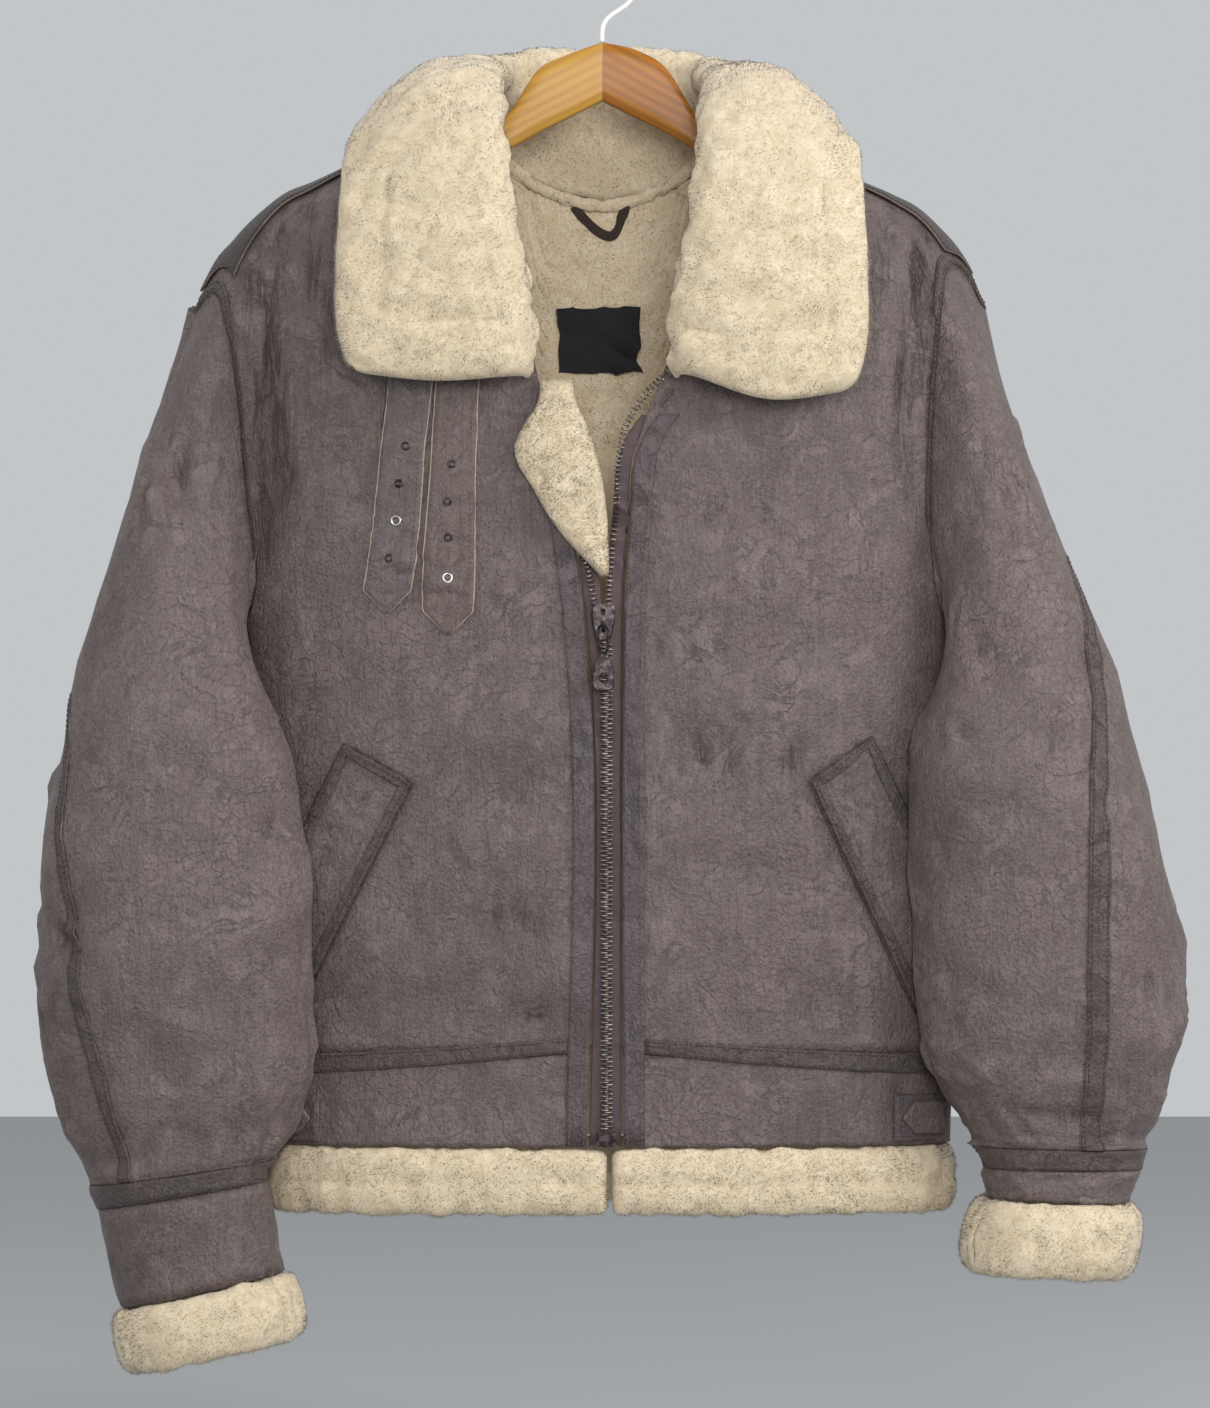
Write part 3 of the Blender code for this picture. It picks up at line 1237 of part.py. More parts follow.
def build_hanger():
    across, along = round_profile(ARM_SECTION, 4.5)
    for side, sign in SIDES.items():
        table = ARMS[side]
        end = table.place[-1]
        out = np.concatenate([[GAP / 2], np.linspace(12, end, 13), [end + 3.2]])
        small = np.ones(len(out))
        small[-1] = 0.6
        top, low, half = (table(name, out) for name in ("top", "low", "half"))
        middle, tall = (top + low) / 2, (low - top) / 2 * small
        x = sign * out[:, None] + 0 * across
        y = (half * small)[:, None] * across
        loops = np.stack([x, y, -middle[:, None] + tall[:, None] * along], axis=-1)
        sweep(f"hanger_{side}", loops, "wood_light" if side == "left" else "wood_dark")
    shaft = np.array([(x, 0, -drop) for x, drop in SHAFT])
    turn = np.radians(np.linspace(HOOK_FROM, HOOK_TO, 23))
    centre = HOOK_WIRE - HOOK_RADIUS
    arc = np.stack([HOOK_RADIUS * np.cos(turn), 0 * turn, centre + HOOK_RADIUS * np.sin(turn)], axis=-1)
    wire("hanger_hook", np.concatenate([shaft, arc]), HOOK_WIRE, "white_wire")


def main():
    for obj in list(bpy.data.objects):
        bpy.data.objects.remove(obj, do_unlink=True)
    coat = bpy.data.collections.new("shearling_coat")
    bpy.context.scene.collection.children.link(coat)
    helpers = bpy.data.collections.new("helpers")
    helpers.hide_render = True
    bpy.context.scene.collection.children.link(helpers)
    build_panels()
    build_waistband()
    build_hem()
    build_sleeves()
    build_collar()
    build_front_edges()
    build_waist_tapes()
    build_pockets()
    build_straps()
    build_adjusters()
    build_shoulder_tapes()
    build_armhole_tapes()
    build_sleeve_tapes()
    build_flap()
    build_neck_pieces()
    build_slider()
    build_link_and_pull()
    build_zip_box()
    build_hanger()


main()
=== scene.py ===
"""Shearling coat on its hanger: the finished model and its staging.

Tables are in millimetres as in the part's source: "out" is the distance sideways, "drop" the distance
below the hook's seat and "deep" the distance in front of (negative Y) or behind the shoulder line.
"""

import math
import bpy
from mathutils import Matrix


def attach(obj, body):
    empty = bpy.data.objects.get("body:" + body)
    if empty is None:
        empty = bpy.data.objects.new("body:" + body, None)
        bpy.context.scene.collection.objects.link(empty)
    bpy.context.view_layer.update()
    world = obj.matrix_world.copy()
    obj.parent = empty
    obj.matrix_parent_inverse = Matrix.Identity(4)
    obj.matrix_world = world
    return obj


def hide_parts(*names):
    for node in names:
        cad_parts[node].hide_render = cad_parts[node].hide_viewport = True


bl_info = {
    "name": "Shearling coat",
    "version": (1, 0, 0),
    "blender": (4, 2, 0),
    "location": "View3D > Sidebar > Coat",
    "description": "Finishes the shearling coat and stages it",
    "category": "Object",
}

import bmesh
import bpy
import numpy as np

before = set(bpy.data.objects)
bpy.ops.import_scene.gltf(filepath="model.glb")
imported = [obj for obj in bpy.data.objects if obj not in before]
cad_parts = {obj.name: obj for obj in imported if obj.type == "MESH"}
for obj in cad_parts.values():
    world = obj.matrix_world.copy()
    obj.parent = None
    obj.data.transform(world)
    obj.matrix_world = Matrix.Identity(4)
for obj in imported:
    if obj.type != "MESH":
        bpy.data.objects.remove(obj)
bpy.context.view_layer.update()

MM = 0.001
GAP = 0.3  # between two pieces that meet at a seam
ARMHOLE_GAP = 0.5
UNDERARM_GAP = 4.0  # more room in the armpit, where the sleeve folds down onto the body
UNDERARM_SPREAD = 0.8
RIDGE_GAP = 0.4
RIDGE_SPREAD = 0.35
TURNED_RINGS = 1.2  # the wall's direction turns from the seam's to the sleeve's own over these rings
LIFT = 0.5  # between a panel and what is sewn on it
SIDES = {"left": -1.0, "right": 1.0}
HIDE = 8.0  # body and sleeves, skin and wool together
COLLAR_HIDE = 13.0
STRAP = 2.2  # two layers of garment leather
TAPE = 1.4  # a single folded leather tape
NECK_FRONT = 290.0
NECK_BACK = 168.0
NECK_OUT = 95.0  # the neck point on the shoulder line
ARMPIT_LEVEL = 0.625
ARMPIT_DROP = 452.0
SHOULDER_DROP = 200.0  # where the half width of the shoulders is read
WAIST = 727.0
BAND_END = 787.0
HEM_END = 832.0
SHOULDER_ROLL = 58.0  # radius with which the shoulder rolls from front to back
TIP_SHARE = 0.938  # where the armhole crosses the shoulder line
SECTION_POWER = 2.5  # roundness of the body's level sections: 2 is an ellipse
NECK_PART = 0.145  # the column that ends at the neck point
HEM_PROUD = 5.0  # the turned hem stands this far out of the leather
HEM_THICK = 19.0
BAND_RING = 12.0
CUFF_RING = 13.0
CUFF_END_RING = 15.0
HEAD_RINGS = 4.0  # the armhole's own shape fades into round rings over this many rings
BODY_CLEAR = 7.2
SLEEVE_POWER = 2.5  # roundness of the sleeve's rings
BAND_PROUD = 1.2
FACING_WIDE = 14.0
FACING_FROM = 312.0
ZIP_TAPE_GAP = 1.4
OPEN_FROM = 350.0  # above this the front edges lean away quickly
ZIP_TAPE_SUNK = -2.2
ZIP_TAPE_THICK = 1.2
ZIP_X = 2.9  # middle of the closed chain
WAIST_LIFT = 1.0
TRIM_WIDE = 6.0
POCKET_LIFT = 1.0
STRAP_FROM = 279.0
STRAP_POINT = 15.0
STRAP_LIFT = 1.0
KEEPER = {"left": (184, 214), "right": (190, 217)}
KEEPER_TOP, KEEPER_END = 754.0, 785.0
ADJUSTER_TOP, ADJUSTER_END = 759.0, 780.0
ADJUSTER_POINT = 8.0
TAPE_START = 118.0
TAPE_END = 3.0  # between the shoulder tape and the armhole tape
ARMHOLE_TAPE_WIDE = 9.0
FLAP_THICK = 10.0
LOOP_WIDE = 6.5
LOOP_THICK = 1.6
LABEL = (-29.0, 25.0, 235.0, 279.0)
HOOK_RADIUS = 23.6
HOOK_WIRE = 1.6
HOOK_FROM, HOOK_TO = -60.0, 200.0
SHAFT = [(0, 63.6), (0, 58), (0.4, 53.5), (2.4, 49.4), (6.6, 45.4)]


def cubic(start, end, start_slope, end_slope, step, t):
    """Value at share t of a step, from the values and slopes at its two ends."""
    rise = (3 - 2 * t) * t * t
    bend = step * start_slope * t * (1 - t) ** 2
    return start * (1 - rise) + end * rise + bend - step * end_slope * t * t * (1 - t)


class Table:
    """A short table with named columns, read smoothly between its rows; the first column is the place."""

    def __init__(self, columns, rows):
        names = columns.split()
        data = np.array(rows, float)
        self.place = data[:, 0]
        self.columns = {name: data[:, i + 1] for i, name in enumerate(names[1:])}

    def __call__(self, name, place):
        """A cubic through the rows, with each row's slope taken from its neighbours."""
        y = self.columns[name]
        slope = np.gradient(y, self.place)
        place = np.clip(place, self.place[0], self.place[-1])
        i = np.clip(np.searchsorted(self.place, place) - 1, 0, len(y) - 2)
        step = self.place[i + 1] - self.place[i]
        return cubic(y[i], y[i + 1], slope[i], slope[i + 1], step, (place - self.place[i]) / step)


BODY = Table(
    "drop left right front back",
    [
        (60, 290, 268, 66, 62), (240, 290, 268, 66, 62), (300, 272, 256, 72, 66), (380, 254, 244, 77, 70),
        (458, 238, 236, 80, 72), (560, 236, 238, 80, 74), (660, 232, 236, 79, 73), (727, 226, 232, 76, 70),
        (787, 222, 229, 75, 69), (832, 222, 229, 75, 69),
    ],
)
ROOF = Table(
    "out left right",
    [
        (0, 92, 92), (60, 103, 106), (95, 114, 118), (130, 128, 135), (165, 147, 156), (190, 159, 167),
        (207, 166, 176), (220, 176, 188), (232, 187, 201), (242, 198, 216), (250, 206, 232),
        (262, 224, 246), (272, 240, 256),
    ],
)
SCYE = Table(
    "level left right back",
    [
        (0.625, 1.0, 1.0, 1.0), (0.645, 0.983, 0.970, 0.985), (0.67, 0.955, 0.930, 0.960),
        (0.73, 0.915, 0.885, 0.920), (0.82, 0.900, 0.860, 0.905), (0.91, 0.880, 0.843, 0.890),
        (1.0, 0.855, 0.825, 0.870),
    ],
)
FRONT_EDGE = Table(
    "drop left right",
    [
        (240, -58, 66), (290, -42, 52), (330, -33, 25), (380, -20.5, 18), (430, -13, 14.5), (460, -10, 14),
        (832, -10, 14),
    ],
)
BODY_FOLDS = {
    "left": [
        (207, 235, 16, 90, 7.0), (222, 330, 14, 130, 8.0), (180, 300, 20, 60, 3.0),
        (150, 690, 60, 20, 2.5), (95, 560, 70, 26, 2.0),
    ],
    "right": [
        (200, 225, 12, 80, 6.0), (214, 330, 14, 120, 8.0), (176, 330, 22, 60, 3.0),
        (120, 610, 70, 24, 2.5), (170, 700, 60, 18, 2.0),
    ],
}
SLEEVE_LEFT = Table(
    "ring outer outer_drop inner inner_drop half_deep deep",
    [
        (0, 270, 240, 238, 458, 44, 0), (1, 279, 272, 236, 472, 52, -8), (2, 293, 314, 226, 486, 57, -16),
        (3, 308, 356, 214, 502, 60, -24), (4, 330, 432, 202, 524, 62, -32),
        (5, 350, 510, 194, 550, 62, -38), (6, 360, 564, 188, 584, 62, -41),
        (7, 366, 630, 184, 638, 61, -43), (8, 368, 685, 184, 694, 60, -44),
        (9, 361, 745, 189, 746, 57, -45), (10, 350, 778, 198, 774, 53, -45),
        (11, 338, 800, 209, 792, 50, -45), (12, 334, 813, 214, 796, 50, -45),
        (13, 329, 828, 216, 809, 50, -45), (14, 321, 862, 212, 840, 50, -45),
        (15, 314, 892, 206, 868, 51, -45),
    ],
)
SLEEVE_RIGHT = Table(
    "ring outer outer_drop inner inner_drop half_deep deep",
    [
        (0, 252, 256, 236, 458, 44, 0), (1, 262, 292, 232, 472, 52, -8), (2, 278, 338, 222, 486, 57, -17),
        (3, 300, 388, 210, 502, 60, -26), (4, 322, 448, 198, 522, 63, -34),
        (5, 345, 512, 195, 550, 63, -39), (6, 362, 580, 196, 592, 63, -42),
        (7, 376, 655, 199, 655, 62, -43), (8, 378, 705, 204, 702, 60, -44),
        (9, 371, 742, 214, 740, 57, -44), (10, 361, 770, 229, 764, 54, -44),
        (11, 355, 782, 239, 779, 51, -44), (12, 354, 789, 243, 787, 50, -44),
        (13, 351, 802, 248, 801, 50, -44), (14, 348, 813, 249, 810, 50, -44),
        (15, 344, 824, 250, 820, 50, -44),
    ],
)
SLEEVES = {"left": SLEEVE_LEFT, "right": SLEEVE_RIGHT}
# Wide folds of the sleeves, in the columns of SLEEVE_CREASES.
SLEEVE_FOLDS = {
    "left": [
        (2.2, 55, 0, 1.2, 16, 6.0), (2.6, 95, 0, 1.4, 15, 5.0), (5.6, 120, 0, 0.7, 40, 3.0),
        (9.8, 60, 0, 1.0, 9, 4.0), (10.2, 118, 0, 1.1, 8, 5.0), (10.4, 240, 0, 1.1, 12, 4.5),
        (6.4, 255, 0, 0.8, 35, 4.0), (2.2, 300, 0, 1.2, 20, 4.0),
    ],
    "right": [
        (2.2, 60, 0, 1.1, 15, 5.0), (2.6, 100, 0, 1.4, 15, 5.0), (6.0, 110, 0, 0.6, 45, 2.5),
        (10.4, 62, 0, 1.2, 9, 5.0), (10.4, 135, 0, 1.1, 9, 5.0), (10.3, 245, 0, 1.1, 12, 4.5),
        (6.0, 250, 0, 0.9, 35, 4.0), (2.4, 295, 0, 1.2, 20, 4.0),
    ],
}
CUFF_ROLLS = Table("side tall thick proud", [(-1, 44, 24, 9), (1, 50, 26, 12)])
COLLAR = Table(
    "station n_out n_deep n_drop r_out r_deep r_drop m_out m_deep m_drop e_out e_deep e_drop "
    "right_neck right_fall",
    [
        (0, 50, -79, 289, 60, -90, 288, 108, -92, 291, 163, -84, 285, 0, 12),
        (1, 55, -77, 241, 66, -96, 240, 116, -95, 241, 171, -84, 256, 0, 8),
        (2, 67, -74, 198, 72, -96, 188, 120, -93, 185, 171, -82, 210, 1, 4),
        (3, 80, -66, 151, 75, -86, 140, 118, -80, 133, 167, -66, 162, 3, 3),
        (4, 90, -42, 119.5, 77, -50, 101, 116, -44, 98, 160, -30, 138, 3, 3),
        (5, 93, 0, 109.5, 77, 6, 87, 110, 30, 90, 144, 44, 140, 4, 4),
        (6, 70, 54, 132, 64, 52, 80, 86, 78, 98, 104, 80, 172, 2, 2),
        (7, 38, 60, 155, 38, 64, 76, 48, 90, 106, 56, 90, 190, 1, 1),
        (8, 0, 61, 165, 0, 68, 76, 0, 92, 108, 0, 92, 195, 0, 0),
    ],
)
COLLAR_KNOTS = (0.0, 0.36, 0.68, 1.0)
WAIST_TAPE = Table("out drop half", [(10, 720, 4.5), (90, 727, 5.5), (160, 732, 6.0), (226, 735, 6.5)])
WELTS = {
    "left": ((124, 551), (166, 527), (199, 701), (216, 690)),
    "right": ((136, 550), (174, 522), (205, 700), (219, 690)),
}
WELT_OUTER_BEND = {"left": (211, 622), "right": (215, 612)}
STRAPS = {
    "throat_strap_outer": Table(
        "drop x half",
        [(262, -121, 14.5), (290, -124, 14.5), (326, -128, 14), (391, -134, 15.2), (426, -139, 15.5)],
    ),
    "throat_strap_inner": Table(
        "drop x half",
        [(262, -91, 13.5), (291, -93.5, 13.8), (360, -97, 15), (415, -99, 17), (440, -99.5, 16.5)],
    ),
}
SHOULDER_TAPE = Table(
    "out front back", [(150, 0.2, 0.2), (190, 0.28, 0.2), (220, 0.4, 0.24), (243, 0.62, 0.3)]
)
SLEEVE_TAPES = {
    "left": Table("ring turn half", [(4.75, 14, 3), (6.25, 34, 3.2), (8.5, 56, 3.4), (12, 62, 4.6)]),
    "right": Table("ring turn half", [(3.25, 12, 6), (5.5, 58, 5.5), (7, 73, 5), (8.5, 75, 5), (12, 75, 8)]),
}
FLAP = Table(
    "drop left right lift",
    [
        (290, -40, -20, 2.3), (306, -42, -16, 2.4), (319, -50, -10, 2.8), (331, -56, -6, 3.2),
        (344, -54.6, -2, 3.4), (359, -45.5, 1, 3.2), (379, -34, 3, 2.8), (394, -23, 4, 2.6),
        (409, -9, 4.5, 2.5), (417, -1, 4, 2.5),
    ],
)
LOOP_PATH = Table(
    "way x drop", [(0, -19.5, 168), (1, -12, 177), (2, -3, 185), (3, 6, 188), (4, 12, 180), (5, 16, 166)]
)
ARMS = {
    "left": Table(
        "out top low half",
        [
            (0, 64, 103, 6.5), (22, 72, 114, 6.5), (42, 82, 124, 6.5), (62, 111, 135, 6.2),
            (80, 121, 143, 6.1), (95, 127, 151, 6), (130, 139, 164, 5.6), (165, 158, 182, 5.2),
            (190, 170, 193, 4.8), (204, 177, 198, 4.4),
        ],
    ),
    "right": Table(
        "out top low half",
        [
            (0, 64, 103, 6.5), (22, 69, 114, 6.5), (42, 81, 124, 6.5), (64, 115, 137, 6.2),
            (80, 127, 146, 6.1), (95, 132, 153, 6), (130, 146, 169, 5.6), (165, 167, 189, 5.2),
            (190, 178, 200, 4.8), (200, 183, 203, 4.4),
        ],
    ),
}

# Creases worn into the leather: out, drop, angle, half length, half width and depth. A negative depth is a
# ridge.
CREASES = {
    ("left", "front"): [
        (150, 330, 80, 60, 7, 1.7), (188, 300, 86, 66, 6, 2.2), (200, 398, 74, 46, 6, 1.9),
        (170, 470, -62, 40, 8, 1.4), (206, 520, 66, 60, 8, 2.2), (120, 480, 84, 60, 9, -1.0),
        (128, 520, 88, 52, 3.5, 1.2), (60, 560, 18, 40, 9, 1.4), (92, 600, -12, 46, 8, 1.2),
        (70, 650, 8, 50, 9, 1.6), (110, 690, -6, 46, 7, 1.8), (60, 705, 12, 34, 5, 1.5),
        (150, 712, -14, 40, 5, 1.7), (196, 660, 60, 40, 7, 1.6), (40, 480, 70, 40, 8, 1.1),
        (180, 590, 30, 30, 7, 1.3), (100, 420, 80, 40, 8, 1.0),
    ],
    ("right", "front"): [
        (205, 268, 84, 44, 6, 2.4), (196, 340, -76, 60, 7, 2.0), (214, 392, -70, 46, 6, 2.1),
        (150, 400, 80, 60, 10, 1.2), (90, 440, 66, 56, 9, 1.1), (60, 520, -14, 46, 9, 1.4),
        (120, 500, 12, 50, 8, 0.9), (176, 470, 40, 40, 8, 1.5), (86, 600, 10, 50, 8, 1.4),
        (50, 660, -8, 36, 8, 1.5), (110, 676, 14, 46, 7, 1.6), (170, 640, -40, 40, 7, 1.6),
        (80, 708, -10, 44, 5, 1.6), (150, 716, 12, 40, 5, 1.6), (206, 560, -64, 56, 8, 2.0),
    ],
    ("left", "back"): [
        (180, 320, 80, 70, 9, 2.4), (120, 300, 24, 60, 11, 2.0), (80, 420, -18, 70, 12, 2.2),
        (160, 480, 36, 60, 10, 2.2), (100, 560, 12, 70, 10, 2.0), (40, 640, -10, 60, 9, 2.2),
        (150, 680, 16, 60, 8, 2.4), (200, 600, 60, 60, 9, 2.2),
    ],
    ("right", "back"): [
        (184, 330, 78, 70, 9, 2.4), (110, 290, -20, 60, 11, 2.0), (70, 440, 16, 70, 12, 2.2),
        (150, 500, -34, 60, 10, 2.2), (90, 590, -12, 70, 10, 2.0), (50, 680, 10, 60, 9, 2.2),
        (160, 660, -18, 60, 8, 2.4), (204, 580, -60, 60, 9, 2.2),
    ],
}
# Creases of the sleeves, as (ring, degrees, slant, half length in rings, half width in degrees, depth).
SLEEVE_CREASES = {
    "left": [
        (1.4, 70, 6, 1.0, 6, 2.2), (2.6, 40, -8, 1.0, 6, 2.0), (3.4, 84, 10, 0.8, 6, 2.2),
        (4.6, 60, -14, 0.5, 9, 1.8), (5.2, 96, 16, 0.5, 9, 2.2), (6.2, 70, 26, 0.28, 16, 1.8),
        (7.0, 100, -26, 0.26, 16, 1.8), (7.4, 40, 20, 0.3, 14, 1.5), (8.6, 86, 10, 0.6, 7, 1.8),
        (9.4, 30, -8, 0.8, 7, 2.0), (9.8, 92, 5, 0.9, 6, 2.6), (10.3, 140, -6, 1.0, 6, 2.6),
        (10.5, 76, -4, 0.9, 5, 2.2), (10.2, 200, 6, 0.9, 9, 2.6), (10.4, 300, 6, 0.9, 9, 2.6),
        (6.0, 210, 20, 0.4, 18, 2.4), (4.0, 260, -20, 0.4, 18, 2.4), (7.2, 290, 20, 0.4, 18, 2.2),
    ],
    "right": [
        (1.6, 78, -6, 1.0, 6, 2.2), (2.8, 44, 8, 1.0, 6, 1.8), (3.6, 96, -10, 0.8, 6, 2.2),
        (4.8, 70, 16, 0.45, 10, 1.6), (5.6, 104, -20, 0.4, 12, 2.0), (6.8, 60, 24, 0.3, 14, 1.4),
        (7.6, 112, -22, 0.3, 14, 1.8), (8.8, 96, 10, 0.6, 7, 1.6), (9.8, 50, -6, 0.9, 6, 2.4),
        (10.2, 88, 5, 0.9, 5, 2.6), (10.6, 108, -4, 0.9, 5, 2.6), (10.2, 150, 5, 0.9, 7, 2.2),
        (10.2, 210, 6, 0.9, 9, 2.6), (10.4, 300, -6, 0.9, 9, 2.6), (6.0, 220, 20, 0.4, 18, 2.4),
        (4.2, 270, -20, 0.4, 18, 2.4),
    ],
}
RUMPLE = 0.8  # depth of the wide uneven swell of the leather
CRINKLE = 0.4  # depth of its short crinkles
SLEEVE_HALF, RING_PITCH = 60.0, 45.0  # usual half width of a sleeve, and the way from ring to ring


def unit(vectors):
    """The same directions with a length of one."""
    return vectors / np.maximum(np.linalg.norm(vectors, axis=-1, keepdims=True), 1e-9)


def along_row(places, known, row):
    """A row of points or other columns of numbers, known at some places, read at other places."""
    return np.stack([np.interp(places, known, column) for column in row.T], axis=-1)


def run_of(row):
    """The way gone along a row of points, from 0 at the first one."""
    return np.concatenate([[0], np.cumsum(np.linalg.norm(np.diff(row, axis=0), axis=1))])


def from_border(count):
    """For each place in a row, how many places it is from the nearer end."""
    return np.minimum(np.arange(count), np.arange(count)[::-1])


def ripple(points, wavelength, seed, waves=18):
    """A smooth uneven swell of about unit height: the sum of cosines along random directions."""
    made = np.random.RandomState(seed)
    total = np.zeros(points.shape[:-1])
    for _ in range(waves):
        way = made.normal(size=3)
        way *= 2 * math.pi / (wavelength * made.uniform(0.7, 1.5)) / np.linalg.norm(way)
        total += np.cos(points @ way + made.uniform(0, 2 * math.pi))
    return total / math.sqrt(waves / 2)


def creased(rows, across, along):
    """Summed depth of the creases: each is a bell, long along its own line and narrow across it."""
    deep = np.zeros(np.broadcast(across, along).shape)
    for a, b, angle, long, wide, depth in rows:
        turn = math.radians(angle)
        ahead = (across - a) * math.cos(turn) + (along - b) * math.sin(turn)
        aside = (along - b) * math.cos(turn) - (across - a) * math.sin(turn)
        bent = aside + 0.12 * long * np.sin(ahead / long * 1.7 + a)
        deep = deep + depth * np.exp(-((ahead / long) ** 2) - (bent / wide) ** 2)
    return deep


def trough_depth(side, face, out, drop):
    """Depth of the body's wide troughs and of its worn creases."""
    deep = np.zeros(np.broadcast(out, drop).shape)
    for middle, height, wide, tall, depth in BODY_FOLDS[side]:
        bell = ((out - middle) / wide) ** 2 + ((drop - height) / tall) ** 2
        deep = deep + depth * np.exp(-bell) * (1.0 if face == "front" else 0.5)
    deep = deep + creased(CREASES[side, face], out, drop)
    place = np.stack([out * SIDES[side], drop, 0 * drop + (0 if face == "front" else 400)], axis=-1)
    crinkle = np.abs(ripple(place, 26, 5)) * ripple(place, 60, 6)
    fading = np.clip((WAIST + 4 - drop) / 30, 0.35, 1)
    return deep + (ripple(place, 75, 3) * RUMPLE + crinkle * CRINKLE * 2) * fading


def body_point(side, turn, level):
    """Outer face of the body.

    turn goes round a level section from the side seam: 90 degrees is the middle of the front and -90
    degrees that of the back. The section is a squared ellipse, out = a |cos|^(2/n) and depth = b
    |sin|^(2/n), less the depth of its folds. Over the shoulder its depth closes as a quarter circle, and
    past level 2 it comes down behind.
    """
    turn, level = np.broadcast_arrays(np.asarray(turn, float), np.asarray(level, float))
    over = level > 2
    turn = np.where(over, -turn, turn)
    level = np.where(over, 4 - level, level)
    share = np.abs(np.cos(turn)) ** (2 / SECTION_POWER)
    spread = np.abs(np.sin(turn)) ** (2 / SECTION_POWER)
    drop = body_drop(side, share, level)
    out = share * BODY(side, drop) * np.sign(np.cos(turn))
    closing = np.cos(np.clip(level - 1, 0, 1) * math.pi / 2)
    half = np.where(turn > 0, BODY("front", drop), BODY("back", drop))
    front = trough_depth(side, "front", np.abs(out), drop)
    trough = np.where(turn > 0, front, trough_depth(side, "back", np.abs(out), drop))
    depth = (half - trough) * spread * closing
    return np.stack([SIDES[side] * out, -np.sign(turn) * depth, -drop], axis=-1)


def roof_drop(side, share):
    """Drop of the shoulder line above a point at this share of the half width."""
    return ROOF(side, share * BODY(side, np.full_like(share, SHOULDER_DROP)))


def body_drop(side, share, level):
    """Level 0 is the waist seam, 1 the foot of the shoulder's roll and 2 the shoulder line itself."""
    top = roof_drop(side, share)
    foot = top + SHOULDER_ROLL
    lower = WAIST + (foot - WAIST) * np.clip(level, None, 1)
    roll = np.clip(level - 1, 0, 1) * math.pi / 2
    return np.where(level > 1, top + SHOULDER_ROLL * (1 - np.sin(roll)), lower)


def body_level(side, share, drop):
    """The level at which the body reaches this drop; the other way round from body_drop."""
    top = roof_drop(side, share)
    foot = top + SHOULDER_ROLL
    roll = np.arcsin(np.clip(1 - (drop - top) / SHOULDER_ROLL, 0, 1)) / (math.pi / 2)
    return np.where(drop < foot, 1 + roll, (WAIST - drop) / (WAIST - foot))


def body_normal(side, turn, level):
    """Unit normal of body_point, from central differences, pointing out of the body."""
    step = 0.01
    across = body_point(side, turn + step, level) - body_point(side, turn - step, level)
    along = body_point(side, turn, level + step) - body_point(side, turn, level - step)
    return unit(np.cross(across, along) * -SIDES[side])


def turn_of(share):
    return np.arccos(np.clip(share, 0, 1) ** (SECTION_POWER / 2))


def body_at(face, x, drop, lift=0.0):
    """Point of the front or back at a signed x and a drop, moved out along the normal by lift."""
    x, drop, lift = np.broadcast_arrays(np.asarray(x, float), np.asarray(drop, float), lift)
    points = np.zeros(x.shape + (3,))
    for side, sign in SIDES.items():
        share = np.abs(x) / BODY(side, drop)
        turn = turn_of(share) * (1 if face == "front" else -1)
        level = body_level(side, np.clip(share, 0, 1), drop)
        found = body_point(side, turn, level) + body_normal(side, turn, level) * lift[..., None]
        chosen = (x * sign > 0) | ((x == 0) & (sign > 0))
        points = np.where(chosen[..., None], found, points)
    return points


def quads(rows, columns, round_columns=False, start=0):
    """Faces of a grid whose points are numbered row by row from start."""
    across = columns if round_columns else columns - 1
    i, j = np.meshgrid(np.arange(rows - 1), np.arange(across), indexing="ij")
    after = (j + 1) % columns
    corners = [i * columns + j, i * columns + after, (i + 1) * columns + after, (i + 1) * columns + j]
    return np.stack(corners, axis=-1).reshape(-1, 4) + start


def drawn_in(grid, edges):
    """Moves the named edges of a grid back along its own rows or columns, to leave the gap at a seam."""
    grid = grid.copy()
    for edge in edges:
        lines = grid if edge.endswith("row") else grid.swapaxes(0, 1)
        at, near = (0, 1) if edge.startswith("first") else (-1, -2)
        lines[at] += unit(lines[near] - lines[at]) * (GAP / 2)
    return grid


def finer(row, times):
    """The same row of numbers with each step cut into equal parts."""
    steps = len(row) - 1
    return np.interp(np.linspace(0, steps, steps * times + 1), np.arange(steps + 1), row)


ROWS_FINER = 7
COLUMNS_FINER = 8
ABOVE_ARMPIT = ARMPIT_LEVEL + (1 - ARMPIT_LEVEL) * np.linspace(0, 1, 8)[1:] ** 1.5
LOWER_LEVELS = np.concatenate([np.linspace(0, ARMPIT_LEVEL, 7), ABOVE_ARMPIT])
LEVELS = finer(np.concatenate([LOWER_LEVELS, np.linspace(1, 2, 6)[1:]]), ROWS_FINER)
FAN_ROW = 5 * ROWS_FINER
NEAR_OPENING = [0, 0.04, 0.08, 0.115, NECK_PART]
COLUMNS = {
    "front": finer(np.concatenate([NEAR_OPENING, np.linspace(0.2, 1, 9)]), COLUMNS_FINER),
    "back": finer(np.concatenate([[0, 0.07, 0.15, 0.21], np.linspace(0.31, 1, 8)]), COLUMNS_FINER - 3),
}
SLEEVE_RINGS = finer(np.array([0, 0.5, 1, 1.75, 2.5, 3.25, 4, 5, 6, 7, 7.75, 8.5, 9.25, 10, 11, 12]), 6)
CUFF_RINGS = finer(np.array([CUFF_RING, CUFF_END_RING]), 8)
BAND_RINGS = finer(np.array([BAND_RING, CUFF_RING]), 5)
COLLAR_STATIONS = np.linspace(0, 8, 113)
COLLAR_WAY = finer(np.array([0, 0.12, 0.24, 0.34, 0.42, 0.52, 0.64, 0.76, 0.88, 1.0]), 7)


